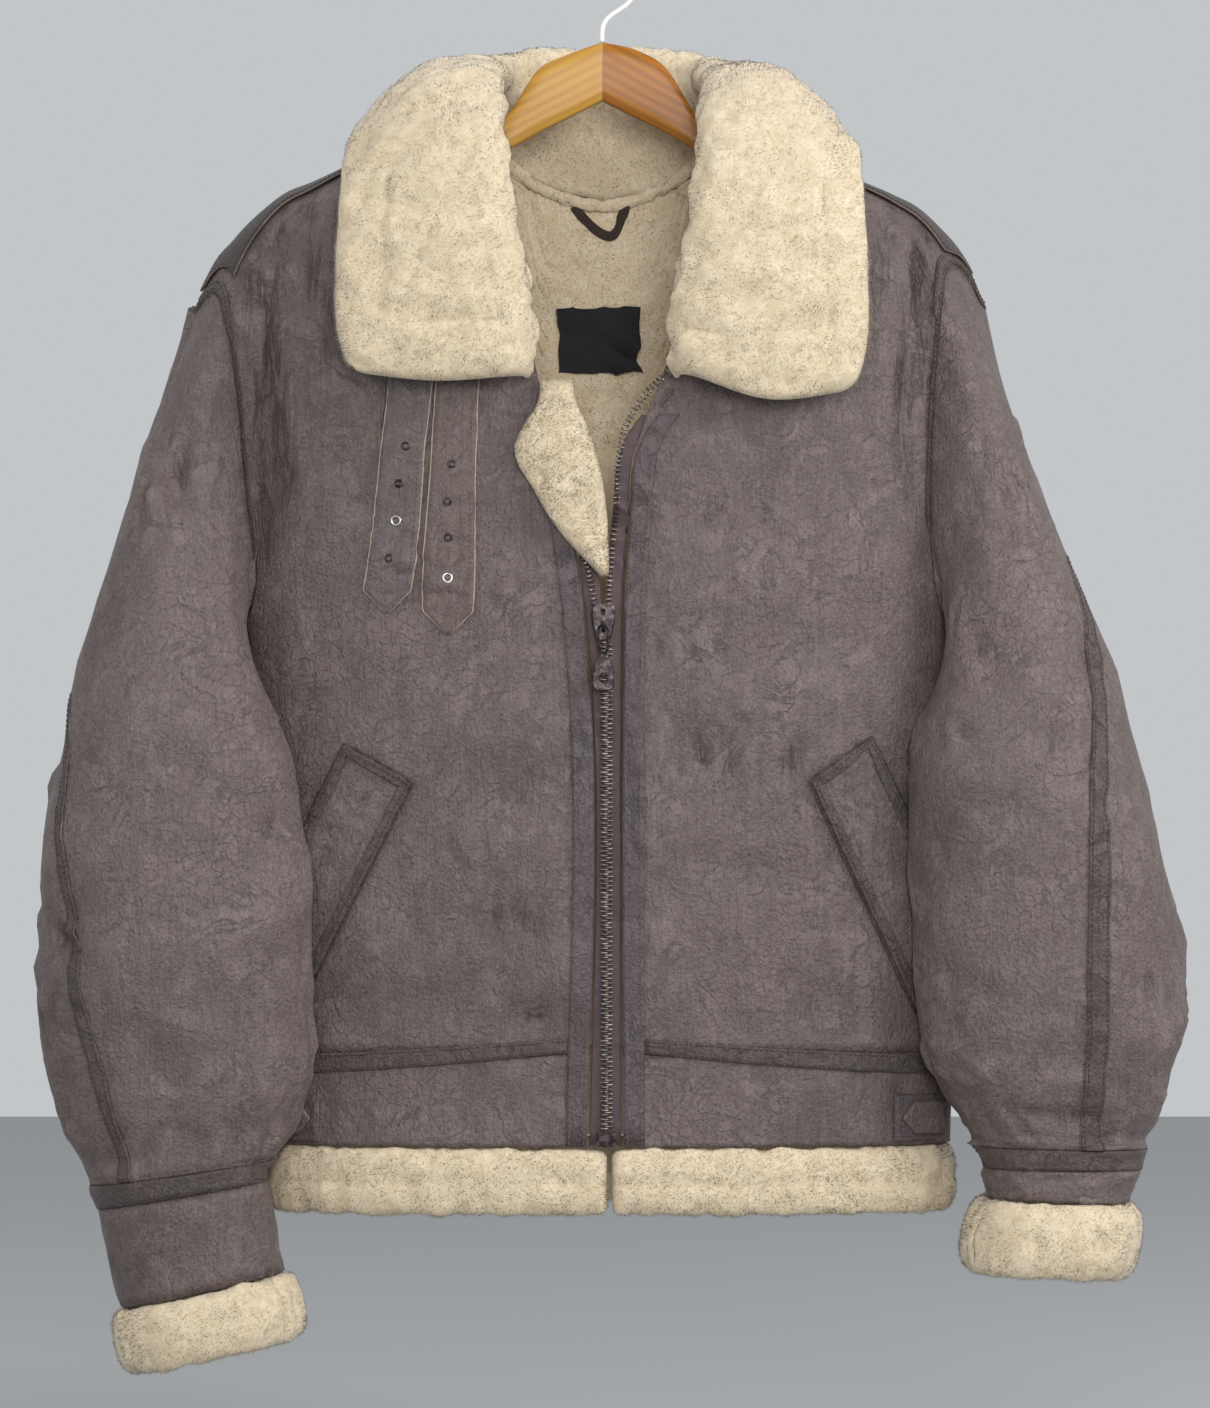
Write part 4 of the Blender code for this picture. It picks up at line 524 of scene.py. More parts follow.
def scye_share(side, face, level):
    """Share of the half width at the armhole seam: 1 below the armpit, and 1 again on the shoulder line."""
    column = side if face == "front" else "back"
    inner = np.where(level < ARMPIT_LEVEL, 1.0, SCYE(column, np.clip(level, ARMPIT_LEVEL, 1)))
    roll = np.sin(np.clip(level - 1, 0, 1) * math.pi / 2)
    return inner + (TIP_SHARE - inner) * roll**6


def neckline_drop(side, face, out):
    """The neckline falls from the neck point on the shoulder line to the middle of the front or back."""
    start = FRONT_EDGE(side, np.array(NECK_FRONT)) * SIDES[side] if face == "front" else 0.0
    lowest = NECK_FRONT if face == "front" else NECK_BACK
    ridge = ROOF(side, np.array(NECK_OUT))
    along = np.clip((out - start) / (NECK_OUT - start), 0, 1)
    return lowest - (lowest - ridge) * (along**0.8 if face == "front" else along**2)


def middle_drops(side):
    """Drops of the rows at the middle edge: level up to the fan row, then evenly spread up to the neck."""
    fan_drop = float(body_drop(side, np.array(0.05), LEVELS[FAN_ROW]))
    lower = WAIST + (fan_drop - WAIST) * LEVELS[:FAN_ROW] / LEVELS[FAN_ROW]
    return np.concatenate([lower, np.linspace(fan_drop, NECK_FRONT, len(LEVELS) - FAN_ROW)])


def panel_parameters(side, face):
    """Turns and levels of a panel's grid, from the waist up and from the middle to the side."""
    part = COLUMNS[face][None, :]
    drop = middle_drops(side)
    start = np.abs(FRONT_EDGE(side, drop)) if face == "front" else 0 * drop
    middle_turn = turn_of(start / BODY(side, drop))[:, None]
    side_turn = turn_of(scye_share(side, face, LEVELS))[:, None]
    neck_turn = middle_turn[-1]
    turn = neck_turn + (side_turn - neck_turn) * part
    turn = turn + (middle_turn - neck_turn) * np.clip(1 - part / NECK_PART, 0, 1) ** 1.5
    top_share = np.cos(turn[-1]) ** (2 / SECTION_POWER)
    top_out = top_share * BODY(side, np.full_like(top_share, SHOULDER_DROP))
    for _ in range(3):
        top_out = top_share * BODY(side, neckline_drop(side, face, top_out))
        top_out[0] = start[-1]
    top = np.where(top_out < NECK_OUT, body_level(side, top_share, neckline_drop(side, face, top_out)), 2.0)
    fan = np.clip(np.arange(len(LEVELS)) - FAN_ROW, 0, None)[:, None] / (len(LEVELS) - 1 - FAN_ROW)
    rise = np.clip(LEVELS - LEVELS[FAN_ROW], 0, None)[:, None] / (2 - LEVELS[FAN_ROW])
    way = rise * part + fan * (1 - part)
    return turn, np.minimum(LEVELS, LEVELS[FAN_ROW])[:, None] + (top - LEVELS[FAN_ROW]) * way


def panel_grids(side, face):
    turn, level = panel_parameters(side, face)
    if face == "back":
        turn = -turn
    outer = body_point(side, turn, level)
    normal = body_normal(side, turn, level)
    inner = outer - normal * HIDE
    if face == "front":
        inner[..., 1] = np.minimum(inner[..., 1], -GAP / 2)
    else:
        inner[..., 1] = np.maximum(inner[..., 1], GAP / 2)
    return outer, inner, normal


def armhole(side):
    """The armhole seam once round: ridge, front, armpit, back. Points, inner points and shares of the way."""
    armpit = int(np.argmin(np.abs(LEVELS - ARMPIT_LEVEL)))
    front, front_in, _ = panel_grids(side, "front")
    back, back_in, _ = panel_grids(side, "back")
    down = slice(len(LEVELS) - 1, armpit, -1)
    up = slice(armpit, len(LEVELS) - 1)
    outer = np.concatenate([front[down, -1], back[up, -1]])
    inner = np.concatenate([front_in[down, -1], back_in[up, -1]])
    away = unit(outer - np.concatenate([front[down, -2], back[up, -2]]))
    away[0] = [SIDES[side], 0, 0]
    length = np.linalg.norm(np.roll(outer, -1, axis=0) - outer, axis=1)
    half = len(LEVELS) - 1 - armpit
    turn = np.zeros(len(outer))
    turn[: half + 1] = np.concatenate([[0], np.cumsum(length[:half])]) / length[:half].sum() * math.pi
    rest = np.cumsum(length[half:]) / length[half:].sum() * math.pi
    turn[half + 1 :] = math.pi + rest[:-1]
    underarm = np.exp(-(((turn - math.pi) / UNDERARM_SPREAD) ** 2))
    ridge = np.exp(-((np.sin(turn / 2) / RIDGE_SPREAD) ** 2))
    away *= (ARMHOLE_GAP + UNDERARM_GAP * underarm + RIDGE_GAP * ridge)[:, None]
    upward = np.array([SIDES[side] * 0.6, 0, 0.8])  # the wall's way in the armpit
    inward = unit((inner - outer) * (1 - underarm[:, None]) + HIDE * upward * underarm[:, None]) * HIDE
    return outer + away, outer + away + inward, turn


def band_grids(face, side, drops):
    """Rows of the body's own surface at level drops, from the middle to the side."""
    start = np.abs(FRONT_EDGE(side, drops)) if face == "front" else np.zeros(len(drops))
    middle = turn_of(start / BODY(side, drops))[:, None]
    turn = middle * (1 - COLUMNS[face])
    if face == "back":
        turn = -turn
    share = np.abs(np.cos(turn)) ** (2 / SECTION_POWER)
    level = body_level(side, share, drops[:, None] * np.ones_like(share))
    outer = body_point(side, turn, level)
    return outer, body_normal(side, turn, level)


def squared(turn, power):
    """Cosine and sine drawn out to a squared circle; with the power 2 it is a circle."""
    return [np.sign(way) * np.abs(way) ** (2 / power) for way in (np.cos(turn), np.sin(turn))]


def round_profile(count, power=2.6):
    """A squared circle of unit half width, as (across, along) pairs."""
    return squared(np.arange(count) / count * 2 * math.pi, power)


def sleeve_ring(side, turn, ring):
    """Round rings: centre + cos(turn) towards the outer outline + sin(turn) forwards."""
    table = SLEEVES[side]
    outer = np.stack([table("outer", ring), 0 * ring, -table("outer_drop", ring)], axis=-1)
    inner = np.stack([table("inner", ring), 0 * ring, -table("inner_drop", ring)], axis=-1)
    middle = (outer + inner) / 2
    reach = (outer - inner) / 2
    fold = np.zeros(np.broadcast(turn, ring).shape)
    degrees = np.degrees(turn)
    for at, angle, slant, long, wide, depth in SLEEVE_FOLDS[side] + SLEEVE_CREASES[side]:
        away = (degrees - angle - slant * (ring - at) / long + 180) % 360 - 180
        fold = fold + depth * np.exp(-(((ring - at) / long) ** 2) - (away / wide) ** 2)
    around = np.cos(turn) * SLEEVE_HALF, np.sin(turn) * SLEEVE_HALF
    place = np.stack(np.broadcast_arrays(*around, ring * RING_PITCH), axis=-1)
    own = place + SIDES[side] * 500
    swell = ripple(own, 70, 8) * RUMPLE
    crinkle = np.abs(ripple(own, 24, 9)) * ripple(place, 60, 10) * CRINKLE * 2
    fold = fold + (swell + crinkle) * np.clip(ring / 1.5, 0, 1)
    shrink = 1 - fold / SLEEVE_HALF
    outward, forward = squared(turn, SLEEVE_POWER)
    points = middle + reach * (outward * shrink)[..., None]
    points[..., 1] = table("deep", ring) - table("half_deep", ring) * forward * shrink
    points[..., 0] *= SIDES[side]
    return points


def outside_body(side, points, centre):
    """Draws points that come nearer to the body than BODY_CLEAR towards the sleeve's own centre line."""
    drop = -points[..., 2]
    level = body_level(side, np.full_like(drop, 0.9), drop)
    seam = SCYE(side, np.clip(level, ARMPIT_LEVEL, 1)) * BODY(side, drop)
    low = np.zeros_like(drop)
    high = np.ones_like(drop)

    def clear(share_kept):
        moved = centre + (points - centre) * share_kept[..., None]
        half = np.where(moved[..., 1] < 0, BODY("front", drop), BODY("back", drop)) + BODY_CLEAR
        wide = BODY(side, drop) + BODY_CLEAR
        beside_hem = np.where(drop > BAND_END - BODY_CLEAR, HEM_PROUD, 0)
        half, wide = half + beside_hem, wide + beside_hem
        out = np.clip(moved[..., 0] * SIDES[side], 0, None)
        apart = (out / wide) ** SECTION_POWER + (np.abs(moved[..., 1]) / half) ** SECTION_POWER > 1
        return apart | ((drop < ARMPIT_DROP) & (out > seam + BODY_CLEAR / 2))

    whole = clear(high)
    for _ in range(18):
        middle = (low + high) / 2
        good = clear(middle)
        low = np.where(good, middle, low)
        high = np.where(good, high, middle)
    kept = np.where(whole, 1.0, low)
    return centre + (points - centre) * kept[..., None]


# The line towards which a sleeve is drawn off the body: a share of the way out, and forwards of its middle.
CENTRE_OUT, CENTRE_FORWARD = 0.62, 8.0


def sleeve_grid(side, rings):
    """Outer face, inner face and normals of a stretch of sleeve, ring by ring round from the ridge."""
    seam, seam_inner, turn = armhole(side)
    beyond = 0.35
    padded = np.concatenate([[rings[0] - beyond], rings, [rings[-1] + beyond]])
    ring, angle = np.meshgrid(padded, turn, indexing="ij")
    points = sleeve_ring(side, angle, np.clip(ring, 0, CUFF_END_RING))
    first = sleeve_ring(side, turn, np.zeros_like(turn))
    fade = np.clip(1 - ring / HEAD_RINGS, 0, 1) ** 2
    points = points + (seam - first)[None] * fade[..., None]
    table = SLEEVES[side]
    out = table("outer", ring) * CENTRE_OUT + table("inner", ring) * (1 - CENTRE_OUT)
    centre = np.stack([SIDES[side] * out, table("deep", ring) - CENTRE_FORWARD, points[..., 2]], axis=-1)
    pushed = outside_body(side, points, centre)
    weight = np.clip(ring / 0.5, 0, 1)[..., None]
    points = points * (1 - weight) + pushed * weight
    along = np.gradient(points, axis=0)
    across = np.roll(points, -1, axis=1) - np.roll(points, 1, axis=1)
    normal = unit(np.cross(across, along)[1:-1] * SIDES[side])
    points = points[1:-1]
    turned = np.clip(1 - rings / TURNED_RINGS, 0, 1)[:, None, None]
    inward = unit((seam_inner - seam)[None] / HIDE * turned - normal * (1 - turned)) * HIDE
    inner = points + inward
    if rings[0] == 0:
        points[0], inner[0] = seam, seam_inner
        inner[1:] = outside_body(side, inner[1:], centre[2:-1])
    return points, inner, normal


def collar_surface(side):
    """Leather side of half a collar, (stations, way, 3): a cubic through the four points of each station."""
    knots = np.array(COLLAR_KNOTS)
    corners = []
    for place, shift in (("n", "right_neck"), ("r", "right_neck"), ("m", "right_fall"), ("e", "right_fall")):
        out, deep, drop = (COLLAR(f"{place}_{part}", COLLAR_STATIONS) for part in ("out", "deep", "drop"))
        if side == "right":
            drop = drop + COLLAR(shift, COLLAR_STATIONS)
        corners.append(np.stack([SIDES[side] * out, deep, -drop], axis=-1))
    corners = np.stack(corners, axis=1)
    slope = np.gradient(corners, knots, axis=1)
    i = np.clip(np.searchsorted(knots, COLLAR_WAY) - 1, 0, len(knots) - 2)
    step = (knots[i + 1] - knots[i])[None, :, None]
    t = ((COLLAR_WAY - knots[i])[None, :, None]) / step
    return cubic(corners[:, i], corners[:, i + 1], slope[:, i], slope[:, i + 1], step, t)


def grid_normals(grid):
    normal = np.cross(np.gradient(grid, axis=0), np.gradient(grid, axis=1))
    return unit(normal)


# --------------------------------------------------------------------------------------------------
# Meshes


def piece(name, points, faces, finishes, which=None, sharp=None, closed=False):
    """An object from points in millimetres and faces with equal corners, turned to face outwards."""
    points = np.asarray(points, float).reshape(-1, 3) * MM
    faces = np.asarray(faces, np.int32)
    corners = points[faces]
    outward = np.einsum("ij,ij->i", corners[:, 0], np.cross(corners[:, 1], corners[:, 2])).sum()
    if outward < 0:
        faces = faces[:, ::-1]
    count, sides = faces.shape
    mesh = bpy.data.meshes.new(name)
    mesh.vertices.add(len(points))
    mesh.vertices.foreach_set("co", points.ravel())
    mesh.loops.add(count * sides)
    mesh.loops.foreach_set("vertex_index", np.ascontiguousarray(faces).ravel())
    mesh.polygons.add(count)
    mesh.polygons.foreach_set("loop_start", np.arange(count, dtype=np.int32) * sides)
    mesh.update(calc_edges=True)
    for finish in finishes:
        mesh.materials.append(PAINTS[finish])
    if which is not None:
        mesh.polygons.foreach_set("material_index", np.asarray(which, np.int32))
    if closed:
        shape = bmesh.new()
        shape.from_mesh(mesh)
        bmesh.ops.recalc_face_normals(shape, faces=shape.faces)
        shape.to_mesh(mesh)
        shape.free()
    mesh.shade_smooth()
    if sharp:
        mesh.set_sharp_from_angle(angle=math.radians(sharp))
    made = bpy.data.objects.new(name, mesh)
    bpy.context.scene.collection.objects.link(made)
    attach(made, "coat")
    return made


def attribute(made, name, values):
    """A number at every point of the mesh, which its material reads."""
    layer = made.data.attributes.new(name, "FLOAT", "POINT")
    layer.data.foreach_set("value", np.asarray(values, np.float32).ravel())


def relief(grid, reach=3):
    """How far each point of a grid stands above its neighbours a few cells away: ridges and valleys."""
    total = np.zeros_like(grid)
    for axis in (0, 1):
        size = grid.shape[axis]
        ahead = np.take(grid, np.clip(np.arange(size) + reach, 0, size - 1), axis=axis)
        behind = np.take(grid, np.clip(np.arange(size) - reach, 0, size - 1), axis=axis)
        inside = np.ones(size)
        inside[:reach] = 0
        inside[-reach:] = 0
        shape = [1, 1, 1]
        shape[axis] = size
        total += (grid - (ahead + behind) / 2) * inside.reshape(shape)
    normal = grid_normals(grid)
    middle = grid.reshape(-1, 3).mean(axis=0)
    sign = np.sign(np.einsum("ijk,ijk->ij", normal, grid - middle).sum())
    return np.einsum("ijk,ijk->ij", total, normal) * sign


RELIEF_WEAR_AND_SHADE = 0.15  # lighter wear on ridges and painted shade in hollows, per mm of relief
RELIEF_CELLS = 8  # smaller grids carry no relief


def wall(name, outer, inner, finishes, round_columns=False, skin=None, sharp=None, shade=0.0):
    """A wall between two grids: outer face in the first finish, the rest in the last one.

    With a skin depth the edge is cut in two, leather first and wool below it. Each point carries its relief
    (lighter wear on ridges, painted shade in hollows), less a given painted shade that darkens a valley.
    """
    rows, columns = outer.shape[:2]
    count = rows * columns
    number = np.arange(count).reshape(rows, columns)
    edges = [number[0], number[-1]]
    if not round_columns:
        edges += [number[:, 0], number[:, -1]]
    points = [outer.reshape(-1, 3), inner.reshape(-1, 3)]
    faces = [quads(rows, columns, round_columns), quads(rows, columns, round_columns, count)[:, ::-1]]
    which = [np.zeros(len(faces[0])), np.full(len(faces[1]), len(finishes) - 1)]
    flat_outer, flat_inner = points[0], points[1]
    if skin is not None:
        depth = np.linalg.norm(flat_inner - flat_outer, axis=1)
        share = skin / np.maximum(depth, np.multiply(skin, 1.2))
        points.append(flat_outer + (flat_inner - flat_outer) * share[:, None])
    for edge in edges:
        after = np.roll(edge, -1) if round_columns else edge[1:]
        edge = edge if round_columns else edge[:-1]
        if skin is not None:
            faces.append(np.stack([edge, after, after + 2 * count, edge + 2 * count], axis=-1))
            which.append(np.zeros(len(edge)))
            below = [edge + 2 * count, after + 2 * count, after + count, edge + count]
            faces.append(np.stack(below, axis=-1))
        else:
            faces.append(np.stack([edge, after, after + count, edge + count], axis=-1))
        which.append(np.full(len(edge), len(finishes) - 1))
    points, faces, which = np.concatenate(points), np.concatenate(faces), np.concatenate(which)
    # Wear and painted shade: the ridges of the relief read as wear, its hollows and the given shade as
    # painted shade
    wear_and_painted_shade = np.zeros(len(points))
    if min(rows, columns) > RELIEF_CELLS:
        wear_and_painted_shade[:count] = (relief(outer) * RELIEF_WEAR_AND_SHADE - shade).ravel()
    used = np.zeros(len(points), bool)
    used[faces.ravel()] = True
    renumber = np.cumsum(used) - 1
    made = piece(name, points[used], renumber[faces], finishes, which, sharp, closed=True)
    attribute(made, "wear_and_painted_shade", wear_and_painted_shade[used])
    return made


def sweep(name, loops, finish, closed=False, sharp=None):
    """A skin over a row of closed loops, with its ends drawn to a point unless the row itself is closed."""
    stations, count = loops.shape[:2]
    if closed:
        faces = quads(stations, count, round_columns=True)
        last = (stations - 1) * count
        j = np.arange(count)
        after = (j + 1) % count
        faces = np.concatenate([faces, np.stack([last + j, last + after, after, j], axis=-1)])
        return piece(name, loops, faces, [finish], sharp=sharp, closed=True)
    first = loops[:1].mean(axis=1, keepdims=True) + 0 * loops[:1]
    last = loops[-1:].mean(axis=1, keepdims=True) + 0 * loops[-1:]
    loops = np.concatenate([first, loops, last])
    faces = quads(stations + 2, count, round_columns=True)
    made = piece(name, loops, faces, [finish], sharp=sharp, closed=True)
    shape = bmesh.new()
    shape.from_mesh(made.data)
    bmesh.ops.remove_doubles(shape, verts=shape.verts, dist=1e-6)
    bmesh.ops.recalc_face_normals(shape, faces=shape.faces)
    shape.to_mesh(made.data)
    shape.free()
    made.data.shade_smooth()
    if sharp:
        made.data.set_sharp_from_angle(angle=math.radians(sharp))
    return made


FIBRE_LEAN = 0.5  # in radians from upright, before its random share
FIBRE_ROOT = 0.5  # depth of a fibre's root below the wool's surface


def pile(
    name, grid, back, count, seed, long=2.3, wide=0.34, down=0.6, round_columns=False, keep=None,
    finish="wool_fibre", parting_shade=None, host=None,
):
    """Wool fibres standing on a grid: each is one narrow triangle, shaded with the normal of the wool below.

    A fibre starts at an even random place in the grid, on the side away from back, and leans the way of a
    slow random swell, a little downwards. With a host it is added to that piece's list in SEWN.
    """
    made = np.random.RandomState(seed)
    if round_columns:
        grid = np.concatenate([grid, grid[:, :1]], axis=1)
        back = np.concatenate([back, back[:, :1]], axis=1)
    columns = grid.shape[1]
    a, b, c, d = grid[:-1, :-1], grid[:-1, 1:], grid[1:, 1:], grid[1:, :-1]
    normal = np.cross(c - a, d - b).reshape(-1, 3)
    if (normal * (grid - back)[:-1, :-1].reshape(-1, 3)).sum() < 0:
        normal = -normal
    area = np.linalg.norm(normal, axis=1)
    if keep is not None:
        area = area * keep(((a + c) / 2).reshape(-1, 3))
    cell = made.choice(len(area), count, p=area / area.sum())
    u, v = made.rand(count, 1), made.rand(count, 1)
    i, j = cell // (columns - 1), cell % (columns - 1)
    root = (a[i, j] * (1 - v) + b[i, j] * v) * (1 - u) + (d[i, j] * (1 - v) + c[i, j] * v) * u
    up = unit(normal[cell])
    swell = np.stack([ripple(root, 30, seed + k, 8) for k in (1, 2, 3)], axis=-1)
    swell = swell + made.normal(size=(count, 3)) * 0.8 + np.array([0, 0, -down])
    swell = unit(swell - up * np.einsum("ij,ij->i", swell, up)[:, None])
    tilt = FIBRE_LEAN * made.uniform(0.6, 1.25, (count, 1))
    way = up * np.cos(tilt) + swell * np.sin(tilt)
    length = long * made.uniform(0.6, 1.15, (count, 1))
    side = np.cross(up, swell)
    root = root - up * FIBRE_ROOT
    half = wide * made.uniform(0.7, 1.2, (count, 1)) / 2
    points = np.stack([root + side * half, root - side * half, root + way * length], axis=1).reshape(-1, 3)
    faces = np.arange(count * 3).reshape(-1, 3)
    out = piece(name, points, faces, [finish])
    soft = unit(up + 0.1 * way)
    out.data.normals_split_custom_set_from_vertices(np.repeat(soft, 3, axis=0).tolist())
    clump = ripple(root, 16, seed + 9, 12)
    tone_and_shade = np.clip(0.5 + 0.16 * clump + made.normal(size=count) * 0.16, 0, 1)
    # Painted shade: the tone falls along the grooves given by parting
    if parting_shade is not None:
        tone_and_shade = tone_and_shade - parting_shade(root) * 0.5
    attribute(out, "tone_and_shade", np.repeat(tone_and_shade, 3))
    if host:
        SEWN[host].append(out)


# --------------------------------------------------------------------------------------------------
# Materials

COLOUR, NUMBER = "NodeSocketColor", "NodeSocketFloat"
RESULTS = (("Color", COLOUR), ("Roughness", NUMBER), ("Height", NUMBER))


def add_node(tree, kind, inputs, **settings):
    """A node with its settings, whose inputs are set to numbers or linked to the given sockets."""
    made = tree.nodes.new(f"ShaderNode{kind}")
    for key, value in settings.items():
        setattr(made, key, value)
    for key, value in inputs.items():
        if isinstance(value, bpy.types.NodeSocket):
            tree.links.new(value, made.inputs[key])
        else:
            made.inputs[key].default_value = value
    return made


class Recipe:
    """A shared node group in the making, with its given colours and numbers and the steps that fill it."""

    def __init__(self, name, colours, **numbers):
        self.tree = bpy.data.node_groups.new(name, "ShaderNodeTree")
        sockets = self.tree.interface
        for label in colours:
            sockets.new_socket(label, in_out="INPUT", socket_type=COLOUR)
        for label, value in numbers.items():
            sockets.new_socket(label, in_out="INPUT", socket_type=NUMBER).default_value = value
        for label, kind in RESULTS:
            sockets.new_socket(label, in_out="OUTPUT", socket_type=kind)
        self.given = self.tree.nodes.new("NodeGroupInput").outputs
        self.results = self.tree.nodes.new("NodeGroupOutput").inputs
        self.place = self.tree.nodes.new("ShaderNodeTexCoord").outputs["Object"]

    def node(self, kind, inputs, output=0, **settings):
        return add_node(self.tree, kind, inputs, **settings).outputs[output]

    def maths(self, operation, *values):
        return self.node("Math", dict(enumerate(values)), operation=operation)

    def times(self, *values):
        return self.maths("MULTIPLY", *values)

    def plus(self, base, value, factor):
        """The base with a share of the value added."""
        return self.maths("MULTIPLY_ADD", value, factor, base)

    def vector(self, operation, first, second):
        return self.node("VectorMath", {0: first, 1: second}, operation=operation)

    def mixed(self, share, low, high, blend="MIX"):
        """Two colours mixed; the inputs 0, 6 and 7 of the node are its factor and its two colours."""
        return self.node("Mix", {0: share, 6: low, 7: high}, 2, data_type="RGBA", blend_type=blend)

    def layered(self, colour, *layers):
        """The colour with given colours laid over it; a layer is (share, strength, name of the colour)."""
        for share, strength, label in layers:
            colour = self.mixed(self.times(share, strength), colour, self.given[label])
        return colour

    def ramp(self, value, low, high):
        """The value stretched from low..high to 0..1 and held there."""
        inputs = {"Value": value, "From Min": low, "From Max": high}
        return self.node("MapRange", inputs, "Result", clamp=True)

    def near(self, value, reach):
        """1 where the value is 0, falling to 0 where it reaches reach."""
        return self.maths("SUBTRACT", 1.0, self.ramp(value, 0.0, reach))

    def lines(self, value, width):
        """Fine lines along which the value crosses one half."""
        return self.near(self.maths("ABSOLUTE", self.maths("SUBTRACT", value, 0.5)), width)

    def noise(self, place, scale, detail=3.0, rough=0.5, distortion=0.0, output="Fac"):
        inputs = {"Vector": place, "Scale": scale, "Detail": detail, "Roughness": rough}
        inputs["Distortion"] = distortion
        return self.node("TexNoise", inputs, output)

    def cells(self, place, scale, feature, **inputs):
        inputs = {"Vector": place, "Scale": scale, **inputs}
        return self.node("TexVoronoi", inputs, "Distance", feature=feature)

    def carried(self, name):
        """A number that the mesh carries at its points."""
        return self.node("Attribute", {}, "Fac", attribute_name=name)

    def done(self, colour, roughness, height):
        for (label, _), value in zip(RESULTS, (colour, roughness, height)):
            if isinstance(value, float):
                self.results[label].default_value = value
            else:
                self.tree.links.new(value, self.results[label])
        return self.tree


def leather_group():
    """Worn leather: cloudy colour, pebbled grain, short wrinkles, lighter scuffs on what stands proud, and
    painted shade on what lies sunk.
    """
    made = Recipe("worn_leather", ("Base", "Dark", "Light"), Crinkle=1.0)
    place, base, dark = made.place, made.given["Base"], made.given["Dark"]
    clouds = made.noise(place, 7.0, 8.0, 0.62, 0.5)
    blotches = made.noise(place, 38.0, 6.0, 0.7, 0.6)
    fine = made.noise(place, 520.0, 4.0, 0.75)
    shift = made.vector("SUBTRACT", made.noise(place, 60.0, 2.0, output="Color"), (0.5, 0.5, 0.5))
    shift = made.node("VectorMath", {0: shift, "Scale": 0.004}, operation="SCALE")
    warped = made.vector("ADD", place, shift)
    pebble = made.cells(warped, 430.0, "SMOOTH_F1", Smoothness=0.4)
    crack = made.cells(warped, 130.0, "DISTANCE_TO_EDGE")
    wrinkle = made.lines(made.noise(warped, 30.0, 6.0, 0.6, 1.2), 0.04)
    wrinkle = made.times(wrinkle, made.ramp(blotches, 0.4, 0.6))
    vein = made.times(made.near(crack, 0.09), made.ramp(clouds, 0.4, 0.62))
    # Above zero this carries wear on the proud ridges, below zero painted shade in hollows and shaded valleys
    wear_and_painted_shade = made.carried("wear_and_painted_shade")
    proud = made.ramp(wear_and_painted_shade, 0.1, 1.6)
    painted_sunk_shade = made.ramp(made.times(wear_and_painted_shade, -1.0), 0.2, 1.8)
    drawn = made.vector("MULTIPLY", place, (1.0, 1.0, 0.12))
    stroke = made.lines(made.noise(drawn, 170.0, 4.0, 0.6, 0.6), 0.06)
    # The strokes grow darker where painted shade lies
    stroke = made.times(stroke, made.maths("ADD", made.times(painted_sunk_shade, 1.4), 0.3))
    speck = made.times(made.ramp(fine, 0.52, 0.68), made.maths("ADD", 0.45, proud))
    colour = made.layered(
        made.mixed(made.ramp(clouds, 0.3, 0.62), made.mixed(0.35, dark, base), base),
        (made.ramp(blotches, 0.42, 0.68), 0.42, "Light"),
        (wrinkle, 0.55, "Dark"),
        (vein, 0.4, "Dark"),
        (speck, 0.6, "Light"),
        (made.ramp(fine, 0.47, 0.36), 0.75, "Dark"),
        (proud, 0.3, "Light"),
        # Painted shade in the hollows and valleys
        (painted_sunk_shade, 0.8, "Dark"),
        (stroke, 0.6, "Dark"),
    )
    rough = made.plus(made.plus(0.25, clouds, 0.25), fine, 0.2)
    crinkle = made.given["Crinkle"]
    height = made.plus(made.times(fine, 0.9), pebble, -0.7)
    height = made.plus(made.plus(height, stroke, -1.1), vein, -0.5)
    height = made.plus(height, made.times(wrinkle, crinkle), -0.8)
    return made.done(colour, rough, made.plus(height, blotches, made.times(crinkle, 2.2)))


def wool_group():
    """Sheared wool: cream mottled with yellow, small partings dented and darkened with painted shade, painted
    shade where the carried tone falls below zero, and a short soft nap.
    """
    made = Recipe("sheared_wool", ("Base", "Dark", "Light"), Parting=1.0)
    clumps = made.noise(made.place, 95.0, 4.0, 0.6, 0.8)
    wide = made.noise(made.place, 16.0, 3.0, 0.5, 0.3)
    nap = made.noise(made.place, 900.0, 3.0, 0.7)
    # Partings: fine lines dented by the bump and darkened with painted shade
    parting_shade = made.lines(made.noise(made.place, 120.0, 3.0, 0.5, 1.2), 0.03)
    parting_shade = made.times(parting_shade, made.given["Parting"])
    tone_and_shade = made.carried("tone_and_shade")
    colour = made.layered(
        made.mixed(made.ramp(clumps, 0.34, 0.68), made.given["Base"], made.given["Light"]),
        (made.ramp(wide, 0.45, 0.7), 0.3, "Base"),
        (made.ramp(tone_and_shade, 0.1, 0.9), 0.8, "Light"),
        # A tone below zero is painted shade along the collar's grooves
        (made.ramp(made.times(tone_and_shade, -1.0), 0.0, 1.0), 0.8, "Dark"),
        (parting_shade, 0.45, "Dark"),
    )
    height = made.plus(made.times(nap, 0.35), clumps, 0.9)
    return made.done(colour, 0.95, made.plus(height, parting_shade, -0.7))


KNOT_COLOUR = (0.2, 0.11, 0.045, 1)
ARM_HEIGHT = -0.083  # where the grain turns along the slope of an arm, in metres


